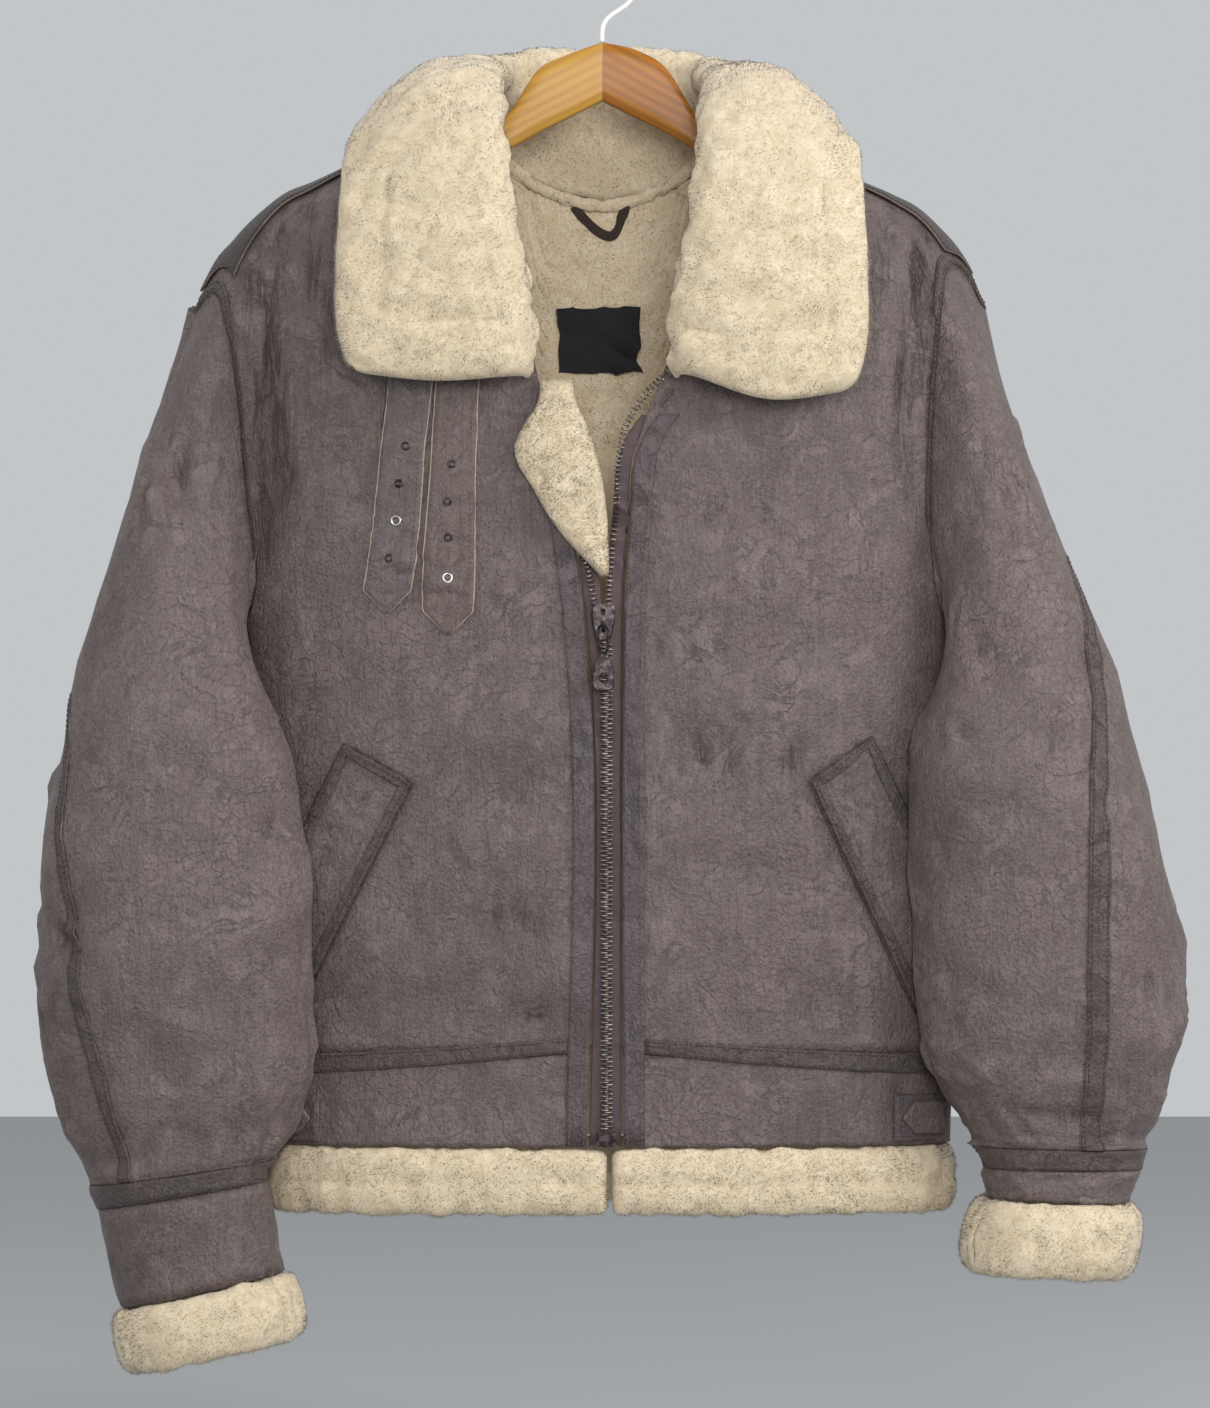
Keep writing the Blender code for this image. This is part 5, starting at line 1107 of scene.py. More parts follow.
def wood_group():
    """Varnished wood: grain lines stretched along the arm, wandering rings and a darker knot streak."""
    made = Recipe("varnished_wood", ("Base", "Dark"), Slope=0.5, Knot=0.0)
    inputs = {"Vector": made.place, "Angle": made.given["Slope"], "Center": (0, 0, ARM_HEIGHT)}
    turned = made.node("VectorRotate", inputs, rotation_type="Y_AXIS")
    stretched = made.vector("MULTIPLY", turned, (5.0, 60.0, 60.0))
    streaks = made.noise(stretched, 6.0, 5.0, 0.6, 0.8)
    inputs = {"Vector": stretched, "Scale": 0.9, "Distortion": 5.0, "Detail": 2.0, "Detail Scale": 0.7}
    rings = made.node("TexWave", inputs, "Fac", bands_direction="Z")
    colour = made.layered(
        made.given["Base"],
        (made.ramp(rings, 0.2, 0.9), 0.38, "Dark"),
        (made.ramp(streaks, 0.5, 0.72), 0.35, "Dark"),
    )
    knot = made.ramp(made.noise(stretched, 0.9, 3.0, 0.5, 0.6), 0.52, 0.7)
    colour = made.mixed(made.times(knot, made.given["Knot"]), colour, KNOT_COLOUR)
    return made.done(colour, made.plus(0.26, streaks, 0.15), made.times(streaks, 0.4))


def cloth_group():
    """Woven tape: fine crossing threads with a little unevenness."""
    made = Recipe("woven_tape", ("Base",), Scale=900.0)
    inputs = {"Vector": made.place, "Scale": made.times(made.given["Scale"], 0.3), "Distortion": 0.6}
    woven = made.times(*(made.node("TexWave", inputs, "Fac", bands_direction=way) for way in "XZ"))
    shade = made.plus(made.plus(0.35, made.noise(made.place, 160.0, 4.0, 0.6), 0.7), woven, 0.5)
    return made.done(made.mixed(1.0, made.given["Base"], shade, "MULTIPLY"), 0.8, woven)


def metal_group():
    """Plated metal: a dull dark coat rubbed bright in patches."""
    made = Recipe("plated_metal", ("Base", "Bright"), Rub=0.5)
    patches = made.noise(made.place, 260.0, 5.0, 0.65)
    rubbed = made.times(made.ramp(patches, 0.45, 0.62), made.given["Rub"])
    colour = made.mixed(rubbed, made.given["Base"], made.given["Bright"])
    return made.done(colour, made.plus(0.2, patches, 0.3), made.noise(made.place, 1400.0, 3.0, 0.6))


GROUPS = {
    "leather": leather_group,
    "wool": wool_group,
    "wood": wood_group,
    "cloth": cloth_group,
    "metal": metal_group,
}
SOFT_SHEEN = {"Specular IOR Level": 0.42, "Sheen Weight": 0.05}
VARNISH = {"Coat Weight": 0.05, "Specular IOR Level": 0.2}
METAL = {"Metallic": 1.0}
# Each material: its group, the group's colours and numbers in their order, bump depth in mm, shader values.
FINISHES = {
    "leather": ("leather", "635553 3e3330 877975", (1.0,), 0.55, SOFT_SHEEN),
    "leather_dark": ("leather", "4d403f 2c2524 6b605d", (1.6,), 0.6, SOFT_SHEEN),
    "leather_facing": ("leather", "554849 342c2f 756a6a", (1.4,), 0.6, SOFT_SHEEN),
    "leather_strap": ("leather", "5c5250 433a38 7d726e", (1.2,), 0.4, SOFT_SHEEN),
    "leather_brown": ("leather", "60514d 453733 766965", (1.2,), 0.4, SOFT_SHEEN),
    # Also the near-black strip of painted shadow beside the pocket welts
    "leather_black": ("leather", "3a302e 241d1c 5b504d", (1.6,), 0.6, SOFT_SHEEN),
    "worn_edge": ("leather", "7d6c61 55473f 9b8a7c", (1.0,), 0.2, {}),
    "raw_edge": ("leather", "9f8d7a 7b6a5a b8a793", (1.0,), 0.2, {}),
    # The next two are lighter copies of the wool and its fibres for the inside of the back and the neck seam:
    # painted light where the inside lies in shade
    "wool_inside_painted_light": ("wool", "d6c2a0 bba37c e4d4bb", (0.5,), 0.3, {"Sheen Weight": 0.25}),
    "fibre_inside_painted_light": ("wool", "d2be9d b79f78 e4d4bb", (0.3,), 0.0, {}),
    "wool": ("wool", "c8b698 ab946f d8c8ad", (0.6,), 0.3, {"Sheen Weight": 0.25}),
    "wool_fibre": ("wool", "bfaa89 a28b65 dccbb0", (0.4,), 0.0, {"Sheen Weight": 0.2}),
    "thread": ("cloth", "6b605d", (3000.0,), 0.05, {}),
    "thread_dark": ("cloth", "3f3634", (3000.0,), 0.05, {}),
    "zip_tape": ("cloth", "5b4a4c", (1500.0,), 0.12, {}),
    "loop_cloth": ("cloth", "3a2c22", (1200.0,), 0.15, {}),
    "label_cloth": ("cloth", "1c1b1f", (1600.0,), 0.1, {}),
    "gunmetal": ("metal", "2f292a 6f6665", (0.5,), 0.03, METAL),
    "teeth": ("metal", "4c4542 958d86", (0.7,), 0.03, METAL),
    "silver": ("metal", "9a9694 e0dcd8", (0.9,), 0.03, METAL),
    # Near-black: painted shadow in the eyelets' holes
    "hole": ("metal", "141212 1c1918", (0.2,), 0.0, {}),
    "white_wire": ("metal", "e6e4e2 f2f1f0", (0.2,), 0.02, {"Coat Weight": 0.3}),
    "wood_light": ("wood", "b98c3e 976425", (0.47, 0.0), 0.05, VARNISH),
    "wood_dark": ("wood", "9f641c 683a0a", (-0.5, 0.75), 0.05, VARNISH),
}
PAINTS = {}


def linear(text):
    """Linear colour from its six hexadecimal digits."""
    parts = [int(text[i : i + 2], 16) / 255 for i in (0, 2, 4)]
    return (*[part / 12.92 if part <= 0.04045 else ((part + 0.055) / 1.055) ** 2.4 for part in parts], 1.0)


def build_materials():
    groups = {name: build() for name, build in GROUPS.items()}
    for name, (kind, colours, numbers, depth, fixed) in FINISHES.items():
        material = bpy.data.materials.new(f"coat_{name}")
        PAINTS[name] = material
        material.use_nodes = True
        tree = material.node_tree
        shader = tree.nodes["Principled BSDF"]
        inner = add_node(tree, "Group", {}, node_tree=groups[kind])
        for socket, value in zip(inner.inputs, (*map(linear, colours.split()), *numbers)):
            socket.default_value = value
        tree.links.new(inner.outputs["Color"], shader.inputs["Base Color"])
        tree.links.new(inner.outputs["Roughness"], shader.inputs["Roughness"])
        for key, value in fixed.items():
            shader.inputs[key].default_value = value
        if depth:
            inputs = {"Strength": 1.0, "Distance": depth * MM, "Height": inner.outputs["Height"]}
            bump = add_node(tree, "Bump", inputs)
            tree.links.new(bump.outputs["Normal"], shader.inputs["Normal"])


# --------------------------------------------------------------------------------------------------
# Garment pieces

SKIN = 1.5  # thickness of the leather side of the shearling
EDGE_SKIN = 30.0  # the cut at the front opening is leather through and through
# Cut size of every soft piece, laid flat: width and length in metres.
FLAT = {
    "front_left": (0.28, 0.58),
    "front_right": (0.28, 0.58),
    "back": (0.58, 0.62),
    "waistband_left": (0.30, 0.065),
    "waistband_right": (0.30, 0.065),
    "waistband_back": (0.58, 0.065),
    "sleeve_left": (0.42, 0.62),
    "sleeve_right": (0.42, 0.62),
    "cuff_band_left": (0.30, 0.02),
    "cuff_band_right": (0.30, 0.02),
    "cuff_left": (0.30, 0.07),
    "cuff_right": (0.30, 0.03),
    "collar": (0.92, 0.19),
    "wind_flap": (0.05, 0.14),
}
SEWN = {name: [] for name in FLAT}


def garment(name, made):
    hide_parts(name)


def sew(made, host, part=None):
    """Adds a piece to the list of its host piece, and lets it replace the part that it stands for."""
    if part:
        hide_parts(part)
    SEWN[host].append(made)


def shell(name, outer, inner, seams, finishes, round_columns=False, skin=SKIN, shade=0.0):
    """A wall of shearling that leaves the gap at its seams."""
    outer, inner = drawn_in(outer, seams), drawn_in(inner, seams)
    return wall(name, outer, inner, finishes, round_columns, skin, shade=shade)


def joined(left, right):
    """The left and right halves of the back in one, from side seam to side seam."""
    return [np.concatenate([one[:, ::-1], other[:, 1:]], axis=1) for one, other in zip(left, right)]


# Painted shade in the valleys of the fronts: distance out, drop, angle in degrees, half length, half width
# and strength.
SHADES = {
    "left": [
        (213, 205, 88, 40, 4, 1.2), (224, 300, 88, 95, 12, 1.7), (212, 345, 100, 60, 9, 0.9),
        (184, 190, 90, 70, 9, 0.9), (150, 262, 100, 42, 6, 1.2), (138, 300, 96, 60, 5, 0.7),
        (232, 430, 88, 70, 8, 0.9), (170, 480, 40, 50, 26, 0.35), (120, 590, 0, 90, 22, 0.3),
    ],
    "right": [
        (212, 215, 92, 45, 5, 1.1), (205, 290, 86, 95, 8, 1.2), (226, 330, 90, 110, 8, 1.1),
        (185, 190, 90, 60, 8, 0.7), (110, 262, 70, 34, 8, 0.7), (230, 440, 90, 70, 7, 0.8),
    ],
}
NECK_ROWS, NECK_COLUMNS = slice(-ROWS_FINER * 11, None), slice(20, -20)
NECK_PILE_OUT, NECK_PILE_DROP = 75, 330  # fibres stand on the back's inside only where the neck shows it
BEHIND = np.array([0, 20, 0])
DOWNWARD_GRAIN = np.array([1, 1, 0.15])
BAND_GRAIN = np.array([1, 1, 0.3])


def front_and_back():
    for side in SIDES:
        outer, inner, _ = panel_grids(side, "front")
        skin = np.full(outer.shape[:2], SKIN)
        skin[:, 0] = EDGE_SKIN
        # Painted shade along the valleys beside the armholes and on the chest, which darkens the leather's
        # colour
        shade = creased(SHADES[side], np.abs(outer[..., 0]), -outer[..., 2])
        shade = shade * (1 + ripple(outer * DOWNWARD_GRAIN, 9, 33) * 0.35)
        # The inner faces take the lighter copy of the wool, painted light for the shaded inside; so does the
        # back below
        seams, finishes = ["first_row", "last_row", "last_column"], ["leather", "wool_inside_painted_light"]
        made = shell(f"shell_front_{side}", outer, inner, seams, finishes, skin=skin.ravel(), shade=shade)
        garment(f"front_{side}", made)
    outer, inner, normal = joined(panel_grids("left", "back"), panel_grids("right", "back"))
    inner = inner + normal * (ripple(inner, 9, 31) * 0.5 + ripple(inner, 26, 32) * 0.7)[..., None]
    inner[..., 1] = np.maximum(inner[..., 1], GAP / 2)
    seams = ["first_row", "last_row", "first_column", "last_column"]
    garment("back", shell("shell_back", outer, inner, seams, ["leather", "wool_inside_painted_light"]))
    neck = inner[NECK_ROWS, NECK_COLUMNS]
    pile(
        "back_pile", neck, neck + BEHIND, 17000, 40, finish="fibre_inside_painted_light", host="back",
        keep=lambda place: (np.abs(place[:, 0]) < NECK_PILE_OUT) & (place[:, 2] > -NECK_PILE_DROP),
    )


def waistband():
    drops = np.linspace(WAIST, BAND_END, 22)
    back = joined(band_grids("back", "left", drops), band_grids("back", "right", drops))
    for name, (outer, normal), seams in (
        ("left", band_grids("front", "left", drops), ["first_row", "last_column"]),
        ("right", band_grids("front", "right", drops), ["first_row", "last_column"]),
        ("back", back, ["first_row", "first_column", "last_column"]),
    ):
        outer = outer + normal * (ripple(outer * BAND_GRAIN, 22, 50) * 0.45)[..., None]
        made = shell(f"shell_band_{name}", outer, outer - normal * HIDE, seams, ["leather", "wool"])
        garment(f"waistband_{name}", made)


def wool_swell(points, seed):
    """Height of the wool's clumps and hollows above its plain form."""
    return ripple(points, 8, seed, 24) * 0.3 + ripple(points, 20, seed + 1) * 0.6


def wool_roll(name, loops, middle, seed, closed, count):
    """A wool roll with uneven clumps, and its fibres; name is the part it stands for."""
    away = unit(loops - middle[:, None])
    loops = loops + away * (wool_swell(loops, seed) - 0.8)[..., None]
    made = sweep(f"pile_{name}", loops, "wool", closed=closed)
    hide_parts(name)
    grid = np.concatenate([loops, loops[:1]]) if closed else loops
    centre = np.concatenate([middle, middle[:1]]) if closed else middle
    back = centre[:, None] + 0 * grid
    pile(f"fibres_{name}", grid, back, count, seed + 5, 2.9, down=0.9, round_columns=True)


HEM_MEET = {"left": 3.3, "right": 6.6}
HEM_MIDDLE = (BAND_END + HEM_END) / 2
HEM_STEP = 2.4
HEM_END_RADIUS = 7.0
HEM_GROOVE = (810.0, 1.6, 2.0)  # drop, half width and depth of the groove stitched along the hem
HEM_WANDER, HEM_WANDER_STEPS = 1.2, 23.0  # the groove wanders up and down
LEVEL = np.array([1, 1, 0])


def hem():
    drops = np.array([HEM_MIDDLE])
    across, along = round_profile(44)
    along = along / along.max()
    tall = (HEM_END - BAND_END) / 2 - GAP
    paths = []
    for side in SIDES:
        outer, normal = band_grids("front", side, drops)
        outer[0, 0, 0] = HEM_MEET[side]
        paths.append((f"hem_wool_{side}", drawn_in(outer, ["last_column"])[0], normal[0], 14000))
    outer, normal = joined(band_grids("back", "left", drops), band_grids("back", "right", drops))
    paths.append(("hem_wool_back", drawn_in(outer, ["first_column", "last_column"])[0], normal[0], 18000))
    for seed, (name, path, normal, count) in enumerate(paths):
        length = run_of(path)
        even = np.linspace(0, length[-1], int(length[-1] / HEM_STEP))
        normal = along_row(even, length, unit(normal * LEVEL))
        path = along_row(even, length, path)
        middle = path + normal * (HEM_PROUD - HEM_THICK / 2)
        end = from_border(len(path)) * HEM_STEP
        full = rounding(np.clip(end / HEM_END_RADIUS, 0, 1), 0.03)[:, None]
        loops = middle[:, None] + normal[:, None] * (across * HEM_THICK / 2)[None, :, None] * full[..., None]
        loops[..., 2] = -HEM_MIDDLE - GAP + (along * tall)[None, :] * (0.75 + 0.25 * full)
        place, half, depth = HEM_GROOVE
        wander = HEM_WANDER * np.sin(np.arange(len(path)) / HEM_WANDER_STEPS)[:, None]
        groove = depth * np.exp(-(((-loops[..., 2] - place - wander) / half) ** 2)) * (across > 0.3)
        loops = loops - normal[:, None] * groove[..., None]
        middle[:, 2] = -HEM_MIDDLE
        wool_roll(name, loops, middle, 60 + 7 * seed, False, count)


def sleeves():
    rings = np.concatenate([SLEEVE_RINGS, BAND_RINGS[1:], CUFF_RINGS[1:]])
    band, cuff = len(SLEEVE_RINGS), len(SLEEVE_RINGS) + len(BAND_RINGS) - 1
    both = ["first_row", "last_row"]
    for side in SIDES:
        outer, inner, normal = sleeve_grid(side, rings)
        for name, part, seams, finish, lift in (
            (f"sleeve_{side}", slice(None, band), ["last_row"], "leather", 0),
            (f"cuff_band_{side}", slice(band - 1, cuff), both, "leather_dark", BAND_PROUD * 0.6),
            (f"cuff_{side}", slice(cuff - 1, None), both, "leather", 0),
        ):
            raised = outer[part] + normal[part] * lift
            garment(name, shell(f"shell_{name}", raised, inner[part], seams, [finish, "wool"], True))
        cuff_wool(side, outer[cuff - 1 :], normal[-1])


def cuff_wool(side, outer, normal):
    """The cuff's wool, turned back as a soft ring: a squared circle carried round the end of the cuff."""
    sign = np.array(SIDES[side])
    tall, thick, proud = (float(CUFF_ROLLS(name, sign)) for name in ("tall", "thick", "proud"))
    down = unit((outer[-1] - outer[0]).mean(axis=0))
    normal = unit(normal - down * (normal @ down)[:, None])
    across, along = round_profile(40)
    middle = outer[-1] + normal * (proud - thick / 2) + down * (tall / 2 + 2 * GAP)
    loops = middle[:, None] + normal[:, None] * (across * thick / 2)[None, :, None]
    loops = loops + down * (along * tall / 2)[None, :, None]
    wool_roll(f"cuff_wool_{side}", loops, middle, 100 if side == "left" else 120, True, 15000)


# Grooves and soft hollows of the collar's wool: x, drop, x, drop, half width and depth.
GROOVES = [
    (-138, 159, -143, 246, 2.0, 3.0), (-134, 251, -62, 254, 2.0, 3.0), (144, 162, 148, 279, 2.0, 3.0),
    (53, 259, 135, 261, 2.0, 3.0), (-131, 178, -87, 185, 5.0, 1.3), (98, 192, 135, 192, 5.0, 1.3),
    (-120, 215, -92, 240, 9.0, 1.2), (100, 220, 126, 244, 9.0, 1.2), (-112, 140, -80, 160, 7.0, 1.5),
    (86, 148, 118, 160, 7.0, 1.5),
]
GROOVES_BEFORE = -20  # they lie only on the part of the collar in front of this depth
COLLAR_CORNER = 13.0
COLLAR_EDGE = 3.5  # thickness at the very edge
COLLAR_ROUND_STATIONS, COLLAR_ROUND_SHARE = 14.0, 0.10  # the thickness grows over these at ends and edge
COLLAR_FRONT = 14  # a station whose turned-down part faces forwards


def groove_depth(points):
    """Depth of the partings stitched or worn into the front of the collar's wool."""
    x, drop = points[..., 0], -points[..., 2]
    deep = np.zeros(x.shape)
    for x0, d0, x1, d1, half, depth in GROOVES:
        long = np.array([x1 - x0, d1 - d0], float)
        share = np.clip(((x - x0) * long[0] + (drop - d0) * long[1]) / (long @ long), 0, 1)
        bend = 1.5 * np.sin(share * 5.0 + x0)
        apart = np.hypot(x - x0 - share * long[0] + bend * 0.5, drop - d0 - share * long[1] + bend)
        deep += depth * np.exp(-((apart / half) ** 2))
    return deep * (points[..., 1] < GROOVES_BEFORE)


def rounded_corners(grid, radius):
    """Draws both free corners of a strip in to an arc, by moving its points along the rows and columns."""
    grid = grid.copy()
    for way in (1, -1):
        corner = grid[::way, ::-1]
        left, steps = [], []
        for axis in (0, 1):
            step = np.gradient(corner, axis=axis)
            size = np.linalg.norm(step, axis=-1, keepdims=True)
            run = np.cumsum(size[..., 0], axis=axis) - size[..., 0]
            left.append(np.clip(radius - run, 0, None))
            steps.append(step / np.maximum(size, 1e-6))
        inside = np.maximum(left[0], left[1]) / np.maximum(np.hypot(left[0], left[1]), 1e-6)
        inside = np.where((left[0] > 0) & (left[1] > 0), inside, 1.0)
        corner += sum(step * (along * (1 - inside))[..., None] for along, step in zip(left, steps))
    return grid


def rounding(share, least=0.0):
    """Height of a quarter circle over this share of its radius, and of at least the root of a number."""
    return np.sqrt(np.clip(1 - (1 - share) ** 2, least, 1))


def collar():
    under = np.concatenate([collar_surface("left"), collar_surface("right")[::-1][1:]])
    normal = grid_normals(under)
    if normal[COLLAR_FRONT, len(COLLAR_WAY) * 2 // 3, 1] > 0:
        normal = -normal
    from_edge = (1 - COLLAR_WAY[None, :]) / COLLAR_ROUND_SHARE
    from_end = from_border(len(under))[:, None] / COLLAR_ROUND_STATIONS / 0.55
    full = rounding(np.clip(from_edge, 0, 1)) * rounding(np.clip(from_end, 0, 1))
    thick = COLLAR_EDGE + (COLLAR_HIDE - 0.5 - COLLAR_EDGE) * full
    wool = under + normal * thick[..., None]
    swell = ripple(wool, 7.5, 21, 26) * 0.5 + ripple(wool, 24, 22) * 1.1
    wool = wool + normal * ((swell - 0.6) * (0.3 + 0.7 * full) - groove_depth(wool))[..., None]
    under, wool = rounded_corners(under, COLLAR_CORNER), rounded_corners(wool, COLLAR_CORNER)
    garment("collar", wall("shell_collar", under, wool, ["leather", "wool"], skin=SKIN))
    # Its fibres darken with painted shade along the grooves
    pile("fibres_collar", wool, under, 80000, 24, wide=0.36, down=0.9, parting_shade=groove_depth, host="collar")
    rim = np.stack([wool[:, -1], under[:, -1]])
    back = np.stack([wool[:, -5], under[:, -5]])
    pile("fibres_rim", rim, back, 9000, 26, 3.2, host="collar")


NECK_SEAM_OUT, NECK_SEAM_DROP, NECK_SEAM_RISE, NECK_SEAM_WIDE = 72, 167.5, 26.0, 61.0
NECK_ROLL = (4.6, 3.0)  # half height and half depth
SEAM_LOWEST = 172.0  # above this drop the back's inner face is read at this drop


def neck_seam():
    """The wool drawn together along the seam between the collar and the back: a soft roll over the joint."""
    x = np.linspace(-NECK_SEAM_OUT, NECK_SEAM_OUT, 90)
    drop = NECK_SEAM_DROP - NECK_SEAM_RISE * (x / NECK_SEAM_WIDE) ** 2
    middle = body_at("back", x, np.maximum(drop, SEAM_LOWEST), -HIDE - LIFT)
    middle[:, 2] = -drop
    ahead = unit(np.gradient(middle, axis=0))
    aside = np.cross(ahead, np.array([0.0, 1.0, 0.0]))
    turn = np.linspace(0, 2 * math.pi, 18, endpoint=False)[None, :, None]
    wide, high = NECK_ROLL
    up = np.cross(aside, ahead)
    ring = aside[:, None] * np.cos(turn) * wide + up[:, None] * np.sin(turn) * high
    loops = middle[:, None] + ring * (1 + ripple(middle[:, None] + ring, 7, 61) * 0.1)[..., None]
    # The seam takes the lighter copy of the wool, painted light for the shaded inside, and so do its fibres
    sew(sweep("neck_seam", loops, "wool_inside_painted_light"), "back")
    back = middle[:, None] + 0 * loops
    pile("fibres_neck", loops, back, 3000, 62, round_columns=True, finish="fibre_inside_painted_light", host="back")


# --------------------------------------------------------------------------------------------------
# Leather sewn on, and its stitches

ROLLED = np.array([0.45, 0.82, 1.0])  # share of a leather's thickness at its edge and at the next two points
EDGE_CELLS = [0, 0.035, 0.09]
DARK_TAPE = ["leather_dark", "worn_edge"]


def smooth_fill(row, count):
    """A row of places filled out to count places, evenly in number."""
    steps = len(row) - 1
    return along_row(np.linspace(0, steps, count), np.arange(steps + 1), row)


def filled(grid, rows, columns):
    """A grid of numbers filled out to more rows and columns, with narrow cells at its borders."""
    grid = smooth_fill(grid, rows)
    far = [1 - place for place in EDGE_CELLS[::-1]]
    place = np.concatenate([EDGE_CELLS, np.linspace(0.16, 0.84, max(columns - 6, 3)), far])
    steps = grid.shape[1] - 1
    return np.stack([np.interp(place * steps, np.arange(steps + 1), row) for row in grid])


def patch(
    name, face, x, drop, finish, host, part=None, thick=TAPE, lift=LIFT, cells=(60, 12)
):
    """A piece that lies on the body: its edges are rolled down, and its face is a little uneven."""
    x, drop = np.broadcast_arrays(x, drop)
    x, drop = filled(x + 0.0, *cells), filled(drop + 0.0, *cells)
    near = np.minimum(from_border(x.shape[1])[None, :], from_border(x.shape[0])[:, None] * 2)
    flat = np.stack([x, drop, 0 * x], axis=-1)
    uneven = ripple(flat, 9, 71) * 0.13 + ripple(flat, 24, 72) * 0.18
    top = body_at(face, x, drop, lift + thick * ROLLED[np.clip(near, 0, 2)] + np.where(near > 0, uneven, 0))
    sew(wall(name, top, body_at(face, x, drop, lift), [finish, "worn_edge"]), host, part)


def capsule():
    """One stitch of unit length and radius, as points (along, aside, up) and faces."""
    turn = np.arange(5) / 5 * 2 * math.pi
    wide = np.array([0.1, 1.0, 1.0, 0.1])[:, None]
    points = np.zeros((4, 5, 3))
    points[..., 0] = np.array([-0.5, -0.33, 0.33, 0.5])[:, None]
    points[..., 1] = wide * np.cos(turn)
    points[..., 2] = wide * np.sin(turn)
    return points.reshape(-1, 3), quads(4, 5, round_columns=True)


def copies(form, faces, place, axes, sizes, raised=0.0):
    """Points and faces of a copy of one form at every place, along its own three directions."""
    points = place[:, None]
    for axis, size, along, lift in zip(axes, sizes, form.T, (0.0, 0.0, raised)):
        points = points + axis[:, None] * (along * size + lift)[None, :, None]
    start = np.arange(len(place))[:, None, None] * len(form)
    return points, (faces[None] + start).reshape(-1, faces.shape[1])


STITCH_PITCH, STITCH_LONG, STITCH_THICK = 3.5, 2.7, 0.42
STITCH_ABOVE = 0.12
STITCH_LINES = []


def stitch_line(points, normals, finish="thread_dark"):
    """Keeps the places of a row of stitches along a line of points."""
    length = run_of(points)
    at = np.arange(STITCH_PITCH / 2, length[-1] - STITCH_PITCH / 4, STITCH_PITCH)
    ahead = unit(along_row(at, length, np.gradient(points, axis=0)))
    up = along_row(at, length, normals)
    up = unit(up - ahead * np.einsum("ij,ij->i", up, ahead)[:, None])
    STITCH_LINES.append((finish, along_row(at, length, points), ahead, up))


def sew_on(face, x, drop, lift, finish="thread"):
    """A row of stitches on the body along x and drop, at this height over the leather."""
    row = smooth_fill(np.stack(np.broadcast_arrays(x, drop), axis=-1).astype(float), 240)
    low = body_at(face, row[:, 0], row[:, 1], lift)
    high = body_at(face, row[:, 0], row[:, 1], lift + 1.0)
    stitch_line(low, high - low, finish)


def stitches():
    made = np.random.RandomState(90)
    sizes = (STITCH_LONG, STITCH_THICK, STITCH_THICK * 0.8)
    for finish in ("thread", "thread_dark"):
        rows = [line for line in STITCH_LINES if line[0] == finish]
        place, ahead, up = (np.concatenate([row[k] for row in rows]) for k in (1, 2, 3))
        aside = np.cross(up, ahead)
        ahead = ahead + aside * made.normal(size=(len(place), 1)) * 0.06
        points, faces = copies(*capsule(), place, (ahead, aside, up), sizes, STITCH_ABOVE)
        sew(piece(f"stitches_{finish}", points, faces, [finish]), "back")


FACING_STITCHES = (2.3, 11.9)
TAPE_REACH = {"left": 12.4, "right": 11.0}  # width of a zip tape where it doesn't end at the chain's middle


def front_edges():
    for side, sign in SIDES.items():
        drop = middle_drops(side)
        drop = np.concatenate([[BAND_END - 1, WAIST + 30], drop[drop > FACING_FROM], [FACING_FROM]])[:, None]
        edge = FRONT_EDGE(side, drop)
        x = edge + sign * np.array([[0.4, FACING_WIDE / 2, FACING_WIDE]])
        host = f"front_{side}"
        patch(
            f"sewn_facing_{side}", "front", x, drop, "leather_facing", host, f"facing_{side}", cells=(240, 12)
        )
        for inset in FACING_STITCHES:
            sew_on("front", edge[:, 0] + sign * inset, drop[:, 0], LIFT + TAPE)
        nearer = np.minimum if side == "left" else np.maximum
        inner = nearer(edge - sign * TAPE_REACH[side], ZIP_X + sign * GAP / 2)
        slanted = np.clip((OPEN_FROM - drop) / (OPEN_FROM - FACING_FROM), 0, 1)
        x = np.concatenate([edge - sign * (ZIP_TAPE_GAP + ZIP_TAPE_GAP * slanted), inner], axis=1)
        patch(
            f"woven_tape_{side}", "front", x, drop, "zip_tape", host, f"zip_tape_{side}",
            ZIP_TAPE_THICK, ZIP_TAPE_SUNK, (240, 10),
        )


WAIST_STITCH_INSET = 1.7


def waist_tape(name, face, host, x, cells):
    """A tape along the waist seam at these places, with a row of stitches along each of its edges."""
    across = np.array([[-1, 0, 1]])
    middle, half = WAIST_TAPE("drop", np.abs(x)), WAIST_TAPE("half", np.abs(x))
    patch(
        f"sewn_waist_{name}", face, x + 0 * across, middle + half * across, "leather_dark", host,
        f"waist_tape_{name}", lift=WAIST_LIFT, cells=cells,
    )
    for way in (-1, 1):
        line = (middle + way * (half - WAIST_STITCH_INSET))[:, 0]
        sew_on(face, x[:, 0], line, WAIST_LIFT + TAPE, "thread_dark")


def waist_tapes():
    for side, sign in SIDES.items():
        edge = abs(float(FRONT_EDGE(side, np.array(WAIST))))
        width = BODY(side, np.array(WAIST))
        turn = np.linspace(turn_of((edge + FACING_WIDE + 0.6) / width), turn_of(0.985), 16)[:, None]
        x = sign * np.cos(turn) ** (2 / SECTION_POWER) * width
        waist_tape(side, "front", f"front_{side}", x, (110, 14))
    turn = np.linspace(-math.pi / 2, math.pi / 2, 25)[1:-1, None]
    x = np.sign(turn) * (1 - np.abs(np.cos(turn))) ** 0.5 * 0.985 * BODY("left", np.array(WAIST))
    waist_tape("back", "back", "back", x, (200, 14))


WELT_BEND_AT = 0.55
TRIM_STITCH, WELT_STITCH = -1.6, 6.9  # rows of stitches beside the trim's middle
